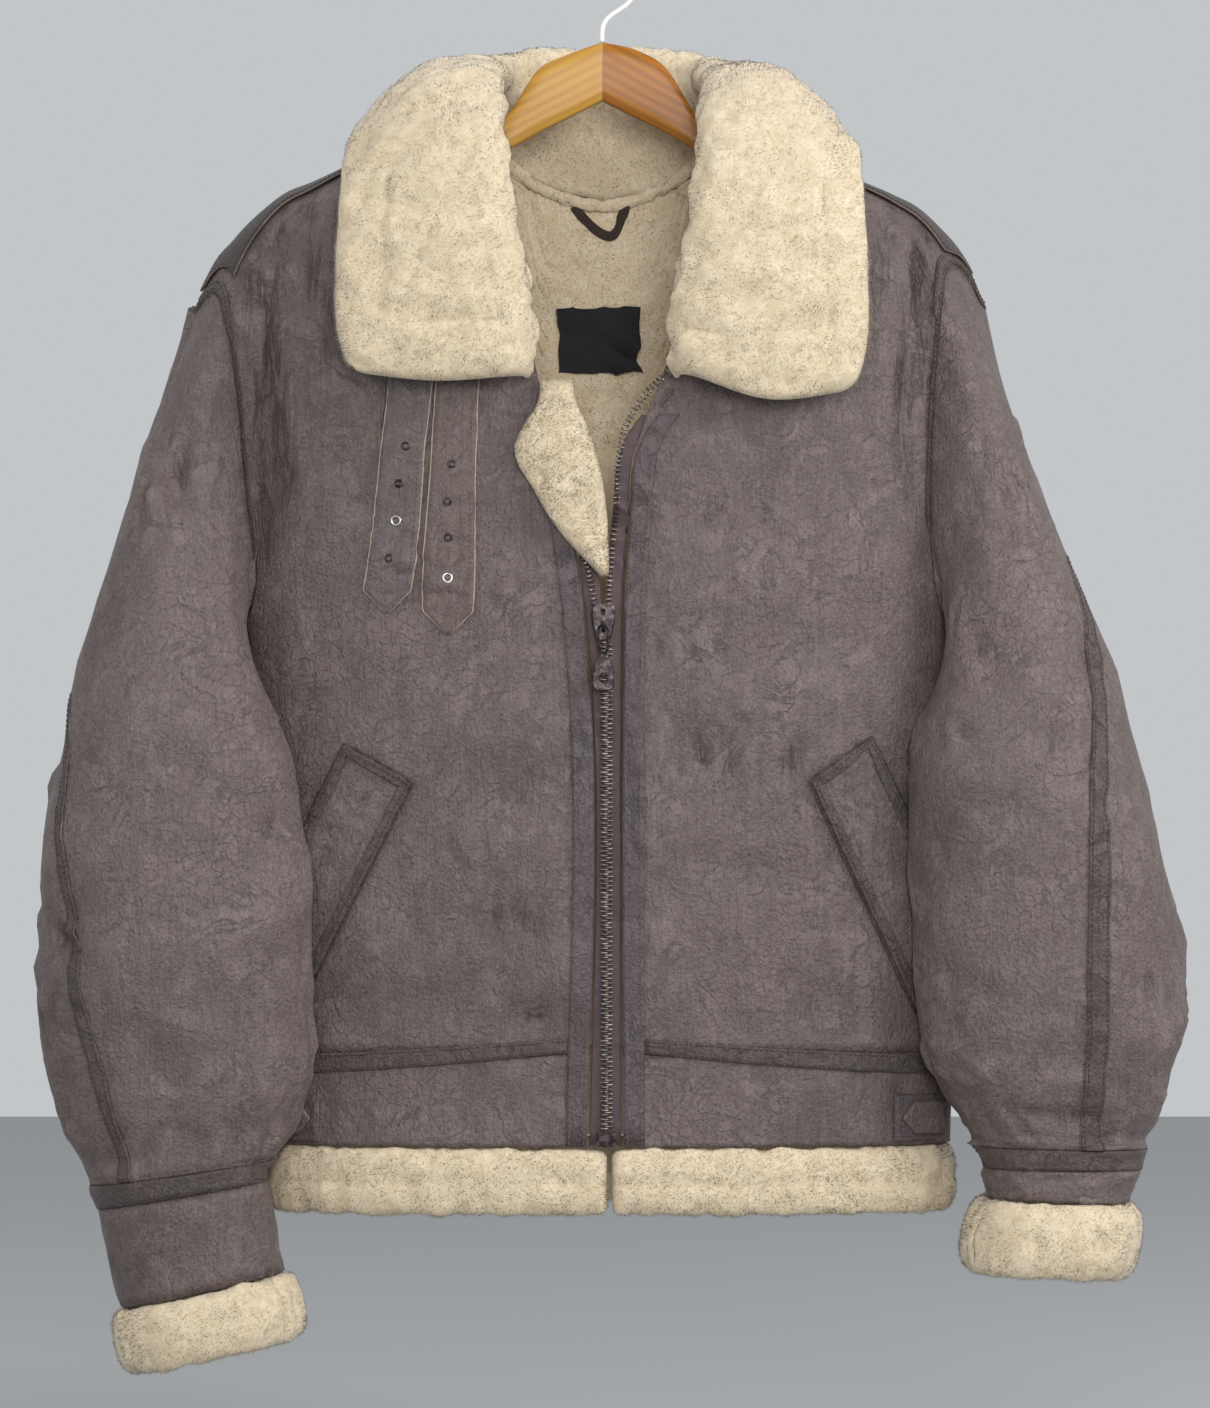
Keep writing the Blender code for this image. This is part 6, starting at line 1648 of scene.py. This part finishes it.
# Setback, half width and thickness of the painted shadow strip beside a welt; the thickness also serves the
# straps' raw edges
WELT_SHADOW_SETBACK, WELT_SHADOW_HALF, RAW_THICK = -1.7, 0.9, 0.7


def pockets():
    for side, sign in SIDES.items():
        top_in, top_out, low_in, low_out = (np.array(corner, float) for corner in WELTS[side])
        bend = np.array(WELT_OUTER_BEND[side], float)
        way = np.linspace(0, 1, 12)[:, None]
        inner_edge = top_in + (low_in - top_in) * way
        upper = top_out + (bend - top_out) * np.clip(way / WELT_BEND_AT, 0, 1)
        outer_edge = upper + (low_out - bend) * np.clip((way - WELT_BEND_AT) / (1 - WELT_BEND_AT), 0, 1)
        grid = inner_edge[:, None] + (outer_edge - inner_edge)[:, None] * np.linspace(0, 1, 4)[None, :, None]
        host = f"front_{side}"
        patch(
            f"sewn_pocket_{side}", "front", sign * grid[..., 0], grid[..., 1], "leather", host,
            f"pocket_{side}", STRAP, POCKET_LIFT, (90, 26),
        )
        path = np.concatenate([outer_edge[6::-1], top_out + (top_in - top_out) * way[4:-1:3], inner_edge])
        ahead = unit(np.gradient(path, axis=0))
        aside = np.stack([ahead[:, 1], -ahead[:, 0]], axis=1)
        edge = path[:, None] + aside[:, None] * np.array([-1.0, TRIM_WIDE])[None, :, None]
        low = POCKET_LIFT + STRAP + LIFT
        patch(
            f"sewn_trim_{side}", "front", sign * edge[..., 0], edge[..., 1], "leather_dark", host,
            f"pocket_trim_{side}", lift=low, cells=(170, 10),
        )
        rows = ((TRIM_STITCH, low + TAPE, "thread_dark"), (WELT_STITCH, POCKET_LIFT + STRAP, "thread"))
        for beside, lift, finish in rows:
            line = path + aside * (TRIM_WIDE / 2 + beside)
            sew_on("front", sign * line[:, 0], line[:, 1], lift, finish)
        # A near-black strip along the welt's edge: painted shadow in the gap between welt and body
        reach = WELT_SHADOW_SETBACK + np.array([-WELT_SHADOW_HALF, WELT_SHADOW_HALF])
        strip = path[:, None] + aside[:, None] * reach[None, :, None]
        patch(
            f"raw_{side}", "front", sign * strip[..., 0], strip[..., 1], "leather_black", host,
            thick=RAW_THICK, lift=POCKET_LIFT + STRAP * 0.6, cells=(170, 7),
        )


STRAP_FINISH = {"throat_strap_outer": "leather_strap", "throat_strap_inner": "leather_brown"}
STRAP_STITCHES = (3.0, 9.4)
RAW_EDGE_HALF = 0.45
# Holes and rings of the straps: x, drop, outer radius and finish of the ring.
EYELETS = [
    (-127, 333, 2.9, "gunmetal"),
    (-131, 357, 2.9, "gunmetal"),
    (-133, 381, 3.6, "silver"),
    (-137, 405.5, 2.9, "gunmetal"),
    (-97, 345, 2.9, "gunmetal"),
    (-100, 368.5, 2.9, "gunmetal"),
    (-100, 392, 2.9, "gunmetal"),
    (-100.5, 418.5, 3.6, "silver"),
]
EYELET_WIRE = 0.75


def straps():
    host = "front_left"
    for name, table in STRAPS.items():
        end = table.place[-1]
        drop = np.append(np.linspace(STRAP_FROM, end, 12), end + STRAP_POINT)[:, None]
        half = table("half", drop)
        half[-1] = 1.0
        middle = table("x", drop)
        x = middle + half * np.array([[-1, 0, 1]])
        finish = STRAP_FINISH[name]
        patch(f"sewn_{name}", "front", x, drop, finish, host, name, STRAP, STRAP_LIFT, (100, 22))
        for inset in STRAP_STITCHES:
            line = np.concatenate([middle - half + inset, (middle + half - inset)[::-1]])[:, 0]
            places = np.concatenate([drop, drop[::-1]])[:, 0]
            tip = slice(len(drop) - 1, len(drop) + 1)
            line[tip] = middle[-1, 0]
            places[tip] = end + STRAP_POINT - inset * 1.35
            sew_on("front", line, places, STRAP_LIFT + STRAP)
        for way, side in ((-1, "left"), (1, "right")):
            strip = middle + way * (half - 0.1) + np.array([[-RAW_EDGE_HALF, RAW_EDGE_HALF]])
            patch(
                f"raw_{name}_{side}", "front", strip, drop, "raw_edge", host,
                thick=RAW_THICK, lift=STRAP_LIFT + STRAP * 0.35, cells=(100, 7),
            )
    turn = np.linspace(0, 2 * math.pi, 25)[:-1]
    ring = np.linspace(0, 2 * math.pi, 9)[:-1]
    for count, (x, drop, radius, finish) in enumerate(EYELETS):
        low = body_at("front", x, drop, STRAP_LIFT + STRAP + 0.2)
        up = unit(body_at("front", x, drop, STRAP_LIFT + STRAP + 1.2) - low)
        aside = unit(np.cross(up, [0, 0, 1.0]))
        around = np.cos(turn)[:, None] * aside + np.sin(turn)[:, None] * np.cross(up, aside)
        middle = radius - EYELET_WIRE
        reach = (middle + EYELET_WIRE * np.cos(ring))[None, :, None]
        loops = low + around[:, None] * reach + up * (EYELET_WIRE * 0.7 * np.sin(ring))[None, :, None]
        sew(sweep(f"eyelet_{count}", loops, finish, closed=True), host)
        # A near-black cone down each eyelet: painted shadow in its hole
        disc = np.stack([low + around * middle, low + around * 0.1 - up * 0.8])
        sew(piece(f"eyelet_hole_{count}", disc, quads(2, len(turn), True), ["hole"]), host)


KEEPER_STITCH_INSET = 2.2
ADJUSTER_ON_KEEPER = 4  # the adjuster lies this far outwards on its keeper


def adjusters():
    part = np.linspace(0, 1, 5)[None, :]
    for side, sign in SIDES.items():
        inner, outer = KEEPER[side]
        host = f"waistband_{side}"
        out = inner + (outer - inner) * part
        drop = np.linspace(KEEPER_TOP, KEEPER_END, 4)[:, None]
        patch(
            f"sewn_keeper_{side}", "front", sign * out, drop, "leather_facing", host,
            f"keeper_{side}", STRAP, LIFT, (24, 26),
        )
        a, b = inner + KEEPER_STITCH_INSET, outer - KEEPER_STITCH_INSET
        c, d = KEEPER_TOP + KEEPER_STITCH_INSET, KEEPER_END - KEEPER_STITCH_INSET
        sew_on("front", sign * np.array([a, b, b, a, a]), np.array([c, c, d, d, c]), LIFT + STRAP)
        drop = np.linspace(ADJUSTER_TOP, ADJUSTER_END, 5)[:, None]
        middle = (ADJUSTER_TOP + ADJUSTER_END) / 2
        start = inner + ADJUSTER_ON_KEEPER + ADJUSTER_POINT * np.abs(drop - middle) / (middle - ADJUSTER_TOP)
        out = start + (outer + ADJUSTER_ON_KEEPER - start) * part
        patch(
            f"sewn_adjuster_{side}", "front", sign * out, drop, "leather", host,
            f"adjuster_{side}", lift=LIFT + STRAP + 2 * LIFT, cells=(24, 26),
        )


SHOULDER_TAPE_LIFT = 1.6
HALF_OVER = 12  # points of the shoulder tape from its front edge to the ridge


def shoulder_tapes():
    over = np.concatenate([np.linspace(1, 0, HALF_OVER), np.linspace(0, 1, HALF_OVER)[1:]])[None, :]
    on_front = (np.arange(over.shape[1]) < HALF_OVER)[None, :]
    part = np.linspace(0, 1, 60)[:, None]
    for side in SIDES:
        width = float(BODY(side, np.array(SHOULDER_DROP)))
        reach = width * TIP_SHARE - ARMHOLE_TAPE_WIDE - TAPE_END
        for _ in range(3):
            out = TAPE_START + (reach - TAPE_START) * part
            wide = np.where(on_front, -SHOULDER_TAPE("front", out), SHOULDER_TAPE("back", out))
            level = 2 + wide * over
            near = 2 - np.abs(level - 2)
            seam = np.where(on_front, scye_share(side, "front", near), scye_share(side, "back", near))
            reach = width * seam - ARMHOLE_TAPE_WIDE - TAPE_END
        turn = turn_of(out / width) + 0 * level
        points, normal = body_point(side, turn, level), body_normal(side, turn, level)
        low, high = points + normal * SHOULDER_TAPE_LIFT, points + normal * (SHOULDER_TAPE_LIFT + TAPE)
        made = wall(f"sewn_shoulder_{side}", high, low, ["leather_black", "worn_edge"])
        sew(made, f"front_{side}", part=f"shoulder_tape_{side}")
        for column in (1, -2):
            stitch_line(high[:, column], normal[:, column])


TAPE_POINTS = 13
TAPE_ROLL = ROLLED[np.clip(from_border(TAPE_POINTS), 0, 2)]
ARMHOLE_TAPE_FROM = 0.74
ARMHOLE_INSETS = np.concatenate(
    [
        [0.6, 0.9, 1.5],
        np.linspace(2.2, ARMHOLE_TAPE_WIDE - 1.6, 7),
        ARMHOLE_TAPE_WIDE - np.array([0.9, 0.3, 0.0]),
    ]
)
TIP_ROWS, TIP_COVER = 12, 1.8  # near the shoulder's tip the tape spreads over the sleeve's head


def armhole_tapes():
    first = int(np.argmin(np.abs(LEVELS - ARMHOLE_TAPE_FROM)))
    low = LIFT + 0.2
    for side in SIDES:
        for face in ("front", "back"):
            outer, _, normal = (grid[first:] for grid in panel_grids(side, face))
            aside = unit(outer[:, -2] - outer[:, -1])
            row = np.arange(len(outer))[:, None]
            near_tip = np.clip((row - len(outer) + TIP_ROWS) / TIP_ROWS, 0, 1) ** 1.5
            cover = (near_tip * (1 - ARMHOLE_INSETS / ARMHOLE_TAPE_WIDE) * TIP_COVER)[..., None]
            strip = outer[:, -1:] + aside[:, None] * (ARMHOLE_INSETS[:, None] - cover) - cover * [0, 0, 0.6]
            normal = normal[:, -1:]
            top = strip + normal * (low + TAPE * TAPE_ROLL + ripple(strip, 12, 75) * 0.12)[..., None]
            made = wall(f"sewn_armhole_{face}_{side}", top, strip + normal * low, DARK_TAPE)
            host = f"front_{side}" if face == "front" else "back"
            sew(made, host, part=f"armhole_tape_{face}_{side}")
            for inset in (2.3, ARMHOLE_TAPE_WIDE - 1.9):
                stitch_line(outer[:, -1] + aside * inset + normal[:, 0] * (low + TAPE), normal[:, 0])


TAPE_FALL_ROWS = 22  # the tape's upper end runs down into the sleeve over these rows
SLEEVE_TAPE_INSETS = np.concatenate([[-1, -0.95, -0.86], np.linspace(-0.7, 0.7, 7), [0.86, 0.95, 1]])


def closed_rows(grid):
    """Rows that end where they start."""
    return np.concatenate([grid, grid[:, :1]], axis=1)


def sleeve_tapes():
    for side, table in SLEEVE_TAPES.items():
        rings = np.linspace(table.place[0], 11.9, 150)
        outer, _, normal = sleeve_grid(side, rings)
        columns = np.append(np.degrees(armhole(side)[2]), 360.0)
        places = [table("turn", ring) + table("half", ring) * SLEEVE_TAPE_INSETS for ring in rings]
        strip, lifted = (
            np.stack([along_row(at, columns, row) for at, row in zip(places, closed_rows(grid))])
            for grid in (outer, normal)
        )
        lifted = unit(lifted)
        high = 0.6 + (TAPE * TAPE_ROLL + ripple(strip, 12, 77) * 0.12)
        fall = np.clip(1 - np.arange(len(rings)) / TAPE_FALL_ROWS, 0, 1)[:, None] ** 2
        high = (high - fall * (TAPE + 0.4))[..., None]
        top = strip + lifted * high
        made = wall(f"sewn_sleeve_{side}", top, strip + lifted * (high - TAPE), DARK_TAPE)
        sew(made, f"sleeve_{side}", part=f"sleeve_tape_{side}")
        for column in (3, 9):
            stitch_line(top[:, column], lifted[:, column])


FLAP_ROWS, FLAP_COLUMNS = 60, 26
FLAP_TOP, FLAP_END = 290, 417


def flap():
    drop = np.linspace(FLAP_TOP, FLAP_END, FLAP_ROWS)[:, None]
    left, right = FLAP("left", drop), FLAP("right", drop)
    x = left + (right - left) * np.linspace(0, 1, FLAP_COLUMNS)[None, :]
    drop = drop + 0 * x
    puff = FLAP_THICK * (0.25 + 0.75 * np.sin(np.linspace(0, math.pi, FLAP_COLUMNS)) ** 0.5)[None, :]
    end = np.clip(from_border(FLAP_ROWS) / 6.0, 0, 1)[:, None]
    puff = puff * rounding(end, 0.06)
    flat = np.stack([x, drop, 0 * x], axis=-1)
    puff = puff + (ripple(flat, 8, 81) * 0.35 + ripple(flat, 24, 82) * 0.5 - 0.5) * end
    lift = FLAP("lift", drop)
    outer, inner = body_at("front", x, drop, lift + puff), body_at("front", x, drop, lift)
    garment("wind_flap", wall("shell_flap", outer, inner, ["wool"]))
    pile("fibres_flap", outer, inner, 9000, 84, host="wind_flap")


LABEL_THICK = 2.0


def neck_pieces():
    under = -HIDE - LIFT
    way = np.linspace(0, 5, 60)
    path = np.stack([LOOP_PATH("x", way), LOOP_PATH("drop", way)], axis=-1)
    ahead = unit(np.gradient(path, axis=0))
    aside = np.stack([-ahead[:, 1], ahead[:, 0]], axis=1) * LOOP_WIDE / 2
    edges = path[:, None] + aside[:, None] * np.linspace(-1, 1, 7)[None, :, None]
    near = body_at("back", edges[..., 0], np.maximum(edges[..., 1], SEAM_LOWEST), under)
    near[..., 2] = -edges[..., 1]
    far = near - np.array([0, LOOP_THICK, 0])
    sew(wall("sewn_loop", far, near, ["loop_cloth"], sharp=50), "back", "hanging_loop")
    left, right, top, end = LABEL
    x, drop = np.meshgrid(np.linspace(left, right, 30), np.linspace(top, end, 24), indexing="ij")
    far, near = (body_at("back", x, drop, lift) for lift in (under - LABEL_THICK, under))
    sew(wall("sewn_label", far, near, ["label_cloth"], sharp=50), "back", "label")


# --------------------------------------------------------------------------------------------------
# Zip and hanger

TOOTH_PITCH = 3.0
TOOTH_FROM_MIDDLE = 1.35
CLOSED_TOOTH, OPEN_TOOTH = (5.6, 1.45, 3.0), (4.4, 1.4, 2.8)  # across, along and up
TOOTH_CORNERS = 8
CHAIN_LIFT = 1.3  # middle of the teeth over the tape's face
TEETH_FROM, TEETH_TO = 460.0, 776.0
# Where the open teeth run above the slider, as x and drop.
OPEN_TEETH = {
    "right": [
        (47, 283), (38, 289), (29, 298), (21, 309), (15, 320), (13, 329), (10, 345), (9.7, 360), (9, 378),
        (6.5, 398), (4.6, 426), (4.2, 436),
    ],
    "left": [(-19, 392), (-14, 402), (-9, 412), (-6.5, 424), (-4.5, 436)],
}


def tooth():
    """A rounded block of unit size, as points and faces; one that repeats its first corner is a triangle."""
    step = np.arange(TOOTH_CORNERS)
    turn = step / TOOTH_CORNERS * 2 * math.pi
    wide = np.array([0.55, 1, 1, 0.55])[:, None]
    points = np.zeros((4, TOOTH_CORNERS, 3))
    for axis, way in enumerate((np.cos(turn), np.sin(turn))):
        points[..., axis] = wide * np.sign(way) * np.abs(way) ** 0.5 / 2
    points[..., 2] = np.array([-1, -0.8, 0.8, 1])[:, None] / 2
    points = np.concatenate([points.reshape(-1, 3), [[0, 0, -0.5], [0, 0, 0.5]]])
    after = (step + 1) % TOOTH_CORNERS
    under, over = np.full((2, TOOTH_CORNERS), [[len(points) - 2], [len(points) - 1]])
    low = np.stack([under, after, step, under], axis=-1)
    top = 3 * TOOTH_CORNERS
    high = np.stack([over, top + step, top + after, over], axis=-1)
    return points, np.concatenate([quads(4, TOOTH_CORNERS, round_columns=True), low, high])


def set_out(name, host, place, axes, size):
    """Copies of the tooth at places, each with its own three directions and the same size."""
    points, faces = copies(*tooth(), place, axes, size)
    triangles = np.concatenate([faces[:, [0, 1, 2]], faces[faces[:, 0] != faces[:, 3]][:, [0, 2, 3]]])
    sew(piece(name, points, triangles, ["teeth"], sharp=35), host)


def zip_teeth():
    drop = np.arange(TEETH_FROM, TEETH_TO, TOOTH_PITCH / 2)
    side = np.where(np.arange(len(drop)) % 2 == 0, -1.0, 1.0)
    lift = ZIP_TAPE_SUNK + ZIP_TAPE_THICK + CHAIN_LIFT
    place = body_at("front", ZIP_X + side * TOOTH_FROM_MIDDLE, drop, lift)
    axes = [np.tile(way, (len(drop), 1)) for way in ([1.0, 0, 0], [0, 0, 1.0], [0, -1.0, 0])]
    set_out("teeth_closed", "front_right", place, axes, CLOSED_TOOTH)
    for name, corners in OPEN_TEETH.items():
        path = smooth_fill(np.array(corners, float), 400)
        length = run_of(path)
        at = np.arange(0.5, length[-1], TOOTH_PITCH)
        x, drop = (np.interp(at, length, path[:, axis]) for axis in (0, 1))
        place = body_at("front", x, drop, lift + 0.3)
        along = unit(np.gradient(place, axis=0))
        up = body_at("front", x, drop, lift + 1.3) - place
        across = unit(np.cross(along, up))
        set_out(f"teeth_{name}", f"front_{name}", place, (across, along, up), OPEN_TOOTH)


WOOD = {"left": "wood_light", "right": "wood_dark"}
# The rounded end of an arm: how far past its table, and its height there.
ARM_END = [(1.2, 0.97), (2.3, 0.88), (3.0, 0.72), (3.2, 0.6)]


def hang(made, node):
    """Takes the place of a CAD node of the hanger."""
    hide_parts(node)


def hanger():
    across, along = round_profile(48, 4.5)
    past, height = np.array(ARM_END).T
    for side, sign in SIDES.items():
        table = ARMS[side]
        end = table.place[-1]
        out = np.concatenate([[GAP / 2], np.linspace(1.5, end, 90), end + past])
        small = np.ones(len(out))
        small[-len(height) :] = height
        top, low, half = (table(name, out) for name in ("top", "low", "half"))
        middle, tall = (top + low) / 2, (low - top) / 2 * small
        x = sign * out[:, None] + 0 * across
        y = (half * small)[:, None] * across
        loops = np.stack([x, y, -middle[:, None] + tall[:, None] * along], axis=-1)
        hang(sweep(f"arm_{side}", loops, WOOD[side], sharp=50), f"hanger_{side}")
    shaft = smooth_fill(np.array([(x, 0, -drop) for x, drop in SHAFT], float), 24)
    turn = np.radians(np.linspace(HOOK_FROM, HOOK_TO, 90))
    centre = HOOK_WIRE - HOOK_RADIUS
    arc = np.stack([HOOK_RADIUS * np.cos(turn), 0 * turn, centre + HOOK_RADIUS * np.sin(turn)], axis=-1)
    path = np.concatenate([shaft, arc[1:]])
    for _ in range(6):
        path[1:-1] = (path[:-2] + 2 * path[1:-1] + path[2:]) / 4
    aside = unit(np.cross(unit(np.gradient(path, axis=0)), [0, 1.0, 0]))
    ring = (np.arange(16) / 16 * 2 * math.pi)[None, :, None]
    around = aside[:, None] * np.cos(ring) + np.array([0, 1.0, 0]) * np.sin(ring)
    hang(sweep("hook", path[:, None] + HOOK_WIRE * around, "white_wire"), "hanger_hook")


def repaint(name, finish):
    """Gives a carried-over CAD node its finish."""
    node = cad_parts[name]
    node.data.materials.clear()
    node.data.materials.append(PAINTS[finish])


# --------------------------------------------------------------------------------------------------
# Stage

CAMERA_X, CAMERA_DROP, CAMERA_AWAY, LENS = 1.95, 499.8, 4560.0, 177.0
FLOOR_DROP, FLOOR_SIZE, FLOOR_COLOUR, FLOOR_ROUGH = 1010.0, 8.0, "a9abac", 0.85
WORLD_COLOUR = "c3c6c8"
AIM = np.array([0, 0, -0.5])
# Lights in metres: place and size.
LIGHTS = {
    "key": ((2.1, -1.2, 0.7), (1.2, 1.2)),
    "fill": ((-2.1, -1.2, 0.5), (1.2, 1.2)),
    "front": ((0.3, -3.2, 0.3), (1.2, 1.2)),
    "top": ((0, 0.5, 1.5), (1.6, 1.0)),
}
TOP_SHARE = 0.7  # power of the top light as a share of the fill light's


def light(name, power):
    """An area light that looks at the coat's middle."""
    place, size = LIGHTS[name]
    lamp = bpy.data.lights.new(name, "AREA")
    lamp.shape = "RECTANGLE"
    lamp.size, lamp.size_y = size
    lamp.energy = power
    made = bpy.data.objects.new(name, lamp)
    made.location = place
    way = AIM - np.array(place)
    tilt = math.acos(-way[2] / np.linalg.norm(way))
    made.rotation_euler = (tilt, 0.0, math.atan2(way[1], way[0]) - math.pi / 2)
    bpy.context.scene.collection.objects.link(made)


def set_stage(key, fill, front):
    bpy.ops.mesh.primitive_plane_add(size=FLOOR_SIZE, location=(0, 0, -FLOOR_DROP * MM))
    floor = bpy.context.object
    floor.name = "floor"
    paint = bpy.data.materials.new("floor_paint")
    paint.use_nodes = True
    shader = paint.node_tree.nodes["Principled BSDF"]
    shader.inputs["Base Color"].default_value = linear(FLOOR_COLOUR)
    shader.inputs["Roughness"].default_value = FLOOR_ROUGH
    floor.data.materials.append(paint)
    light("key", key)
    light("fill", fill)
    light("front", front)
    light("top", fill * TOP_SHARE)
    world = bpy.context.scene.world or bpy.data.worlds.new("World")
    bpy.context.scene.world = world
    world.use_nodes = True
    back = world.node_tree.nodes["Background"]
    back.inputs["Color"].default_value = linear(WORLD_COLOUR)
    back.inputs["Strength"].default_value = 1.0
    bpy.context.scene.view_settings.view_transform = "Standard"
    camera = bpy.data.objects.new("camera", bpy.data.cameras.new("camera"))
    camera.location = (CAMERA_X * MM, -CAMERA_AWAY * MM, -CAMERA_DROP * MM)
    camera.rotation_euler = (math.pi / 2, 0, 0)
    camera.data.lens = LENS
    bpy.context.scene.collection.objects.link(camera)
    bpy.context.scene.camera = camera


# --------------------------------------------------------------------------------------------------
# Add-on


class CoatSettings(bpy.types.PropertyGroup):
    key: bpy.props.FloatProperty(
        name="Key light",
        description="Power of the soft light on the coat's right of view",
        default=41.0,
        min=0.0,
        unit="POWER",
    )
    fill: bpy.props.FloatProperty(
        name="Fill light",
        description="Power of the soft light across from the key",
        default=10.0,
        min=0.0,
        unit="POWER",
    )
    front: bpy.props.FloatProperty(
        name="Front light",
        description="Power of the light that reaches inside the neck",
        default=52.0,
        min=0.0,
        unit="POWER",
    )


class COAT_OT_materials(bpy.types.Operator):
    """Make the procedural finishes"""

    bl_idname = "coat.materials"
    bl_label = "Materials"

    def execute(self, context):
        build_materials()
        for name in ("zip_slider", "zip_link", "zip_pull", "zip_box"):
            repaint(name, "gunmetal")
        return {"FINISHED"}


class COAT_OT_garment(bpy.types.Operator):
    """Make the shearling panels, sleeves, collar, hem and cuffs"""

    bl_idname = "coat.garment"
    bl_label = "Garment"

    def execute(self, context):
        for build in (front_and_back, waistband, hem, sleeves, collar, neck_seam, flap):
            build()
        return {"FINISHED"}


class COAT_OT_sewn(bpy.types.Operator):
    """Make the facings, tapes, pockets, straps, label and stitches"""

    bl_idname = "coat.sewn"
    bl_label = "Sewn leather"

    def execute(self, context):
        for build in (
            front_edges, waist_tapes, pockets, straps, adjusters, shoulder_tapes, armhole_tapes, sleeve_tapes,
            neck_pieces, stitches,
        ):
            build()
        return {"FINISHED"}


class COAT_OT_metal(bpy.types.Operator):
    """Make the zip's teeth and the hanger"""

    bl_idname = "coat.metal"
    bl_label = "Zip and hanger"

    def execute(self, context):
        zip_teeth()
        hanger()
        return {"FINISHED"}


class COAT_OT_stage(bpy.types.Operator):
    """Set the floor, the lights and the camera"""

    bl_idname = "coat.stage"
    bl_label = "Stage"

    def execute(self, context):
        settings = context.scene.coat_settings
        set_stage(settings.key, settings.fill, settings.front)
        return {"FINISHED"}


class COAT_PT_panel(bpy.types.Panel):
    """Buttons for each step"""

    bl_label = "Shearling coat"
    bl_idname = "COAT_PT_panel"
    bl_space_type = "VIEW_3D"
    bl_region_type = "UI"
    bl_category = "Coat"

    def draw(self, context):
        settings = context.scene.coat_settings
        for name in ("key", "fill", "front"):
            self.layout.prop(settings, name)
        for step in ("materials", "garment", "sewn", "metal", "stage"):
            self.layout.operator(f"coat.{step}")


CLASSES = (
    CoatSettings,
    COAT_OT_materials,
    COAT_OT_garment,
    COAT_OT_sewn,
    COAT_OT_metal,
    COAT_OT_stage,
    COAT_PT_panel,
)


def register():
    for kind in CLASSES:
        bpy.utils.register_class(kind)
    bpy.types.Scene.coat_settings = bpy.props.PointerProperty(type=CoatSettings)


def unregister():
    del bpy.types.Scene.coat_settings
    for kind in reversed(CLASSES):
        bpy.utils.unregister_class(kind)


def main():
    register()
    bpy.ops.coat.materials()
    bpy.ops.coat.garment()
    bpy.ops.coat.sewn()
    bpy.ops.coat.metal()
    bpy.ops.coat.stage()


if __name__ == "__main__":
    main()
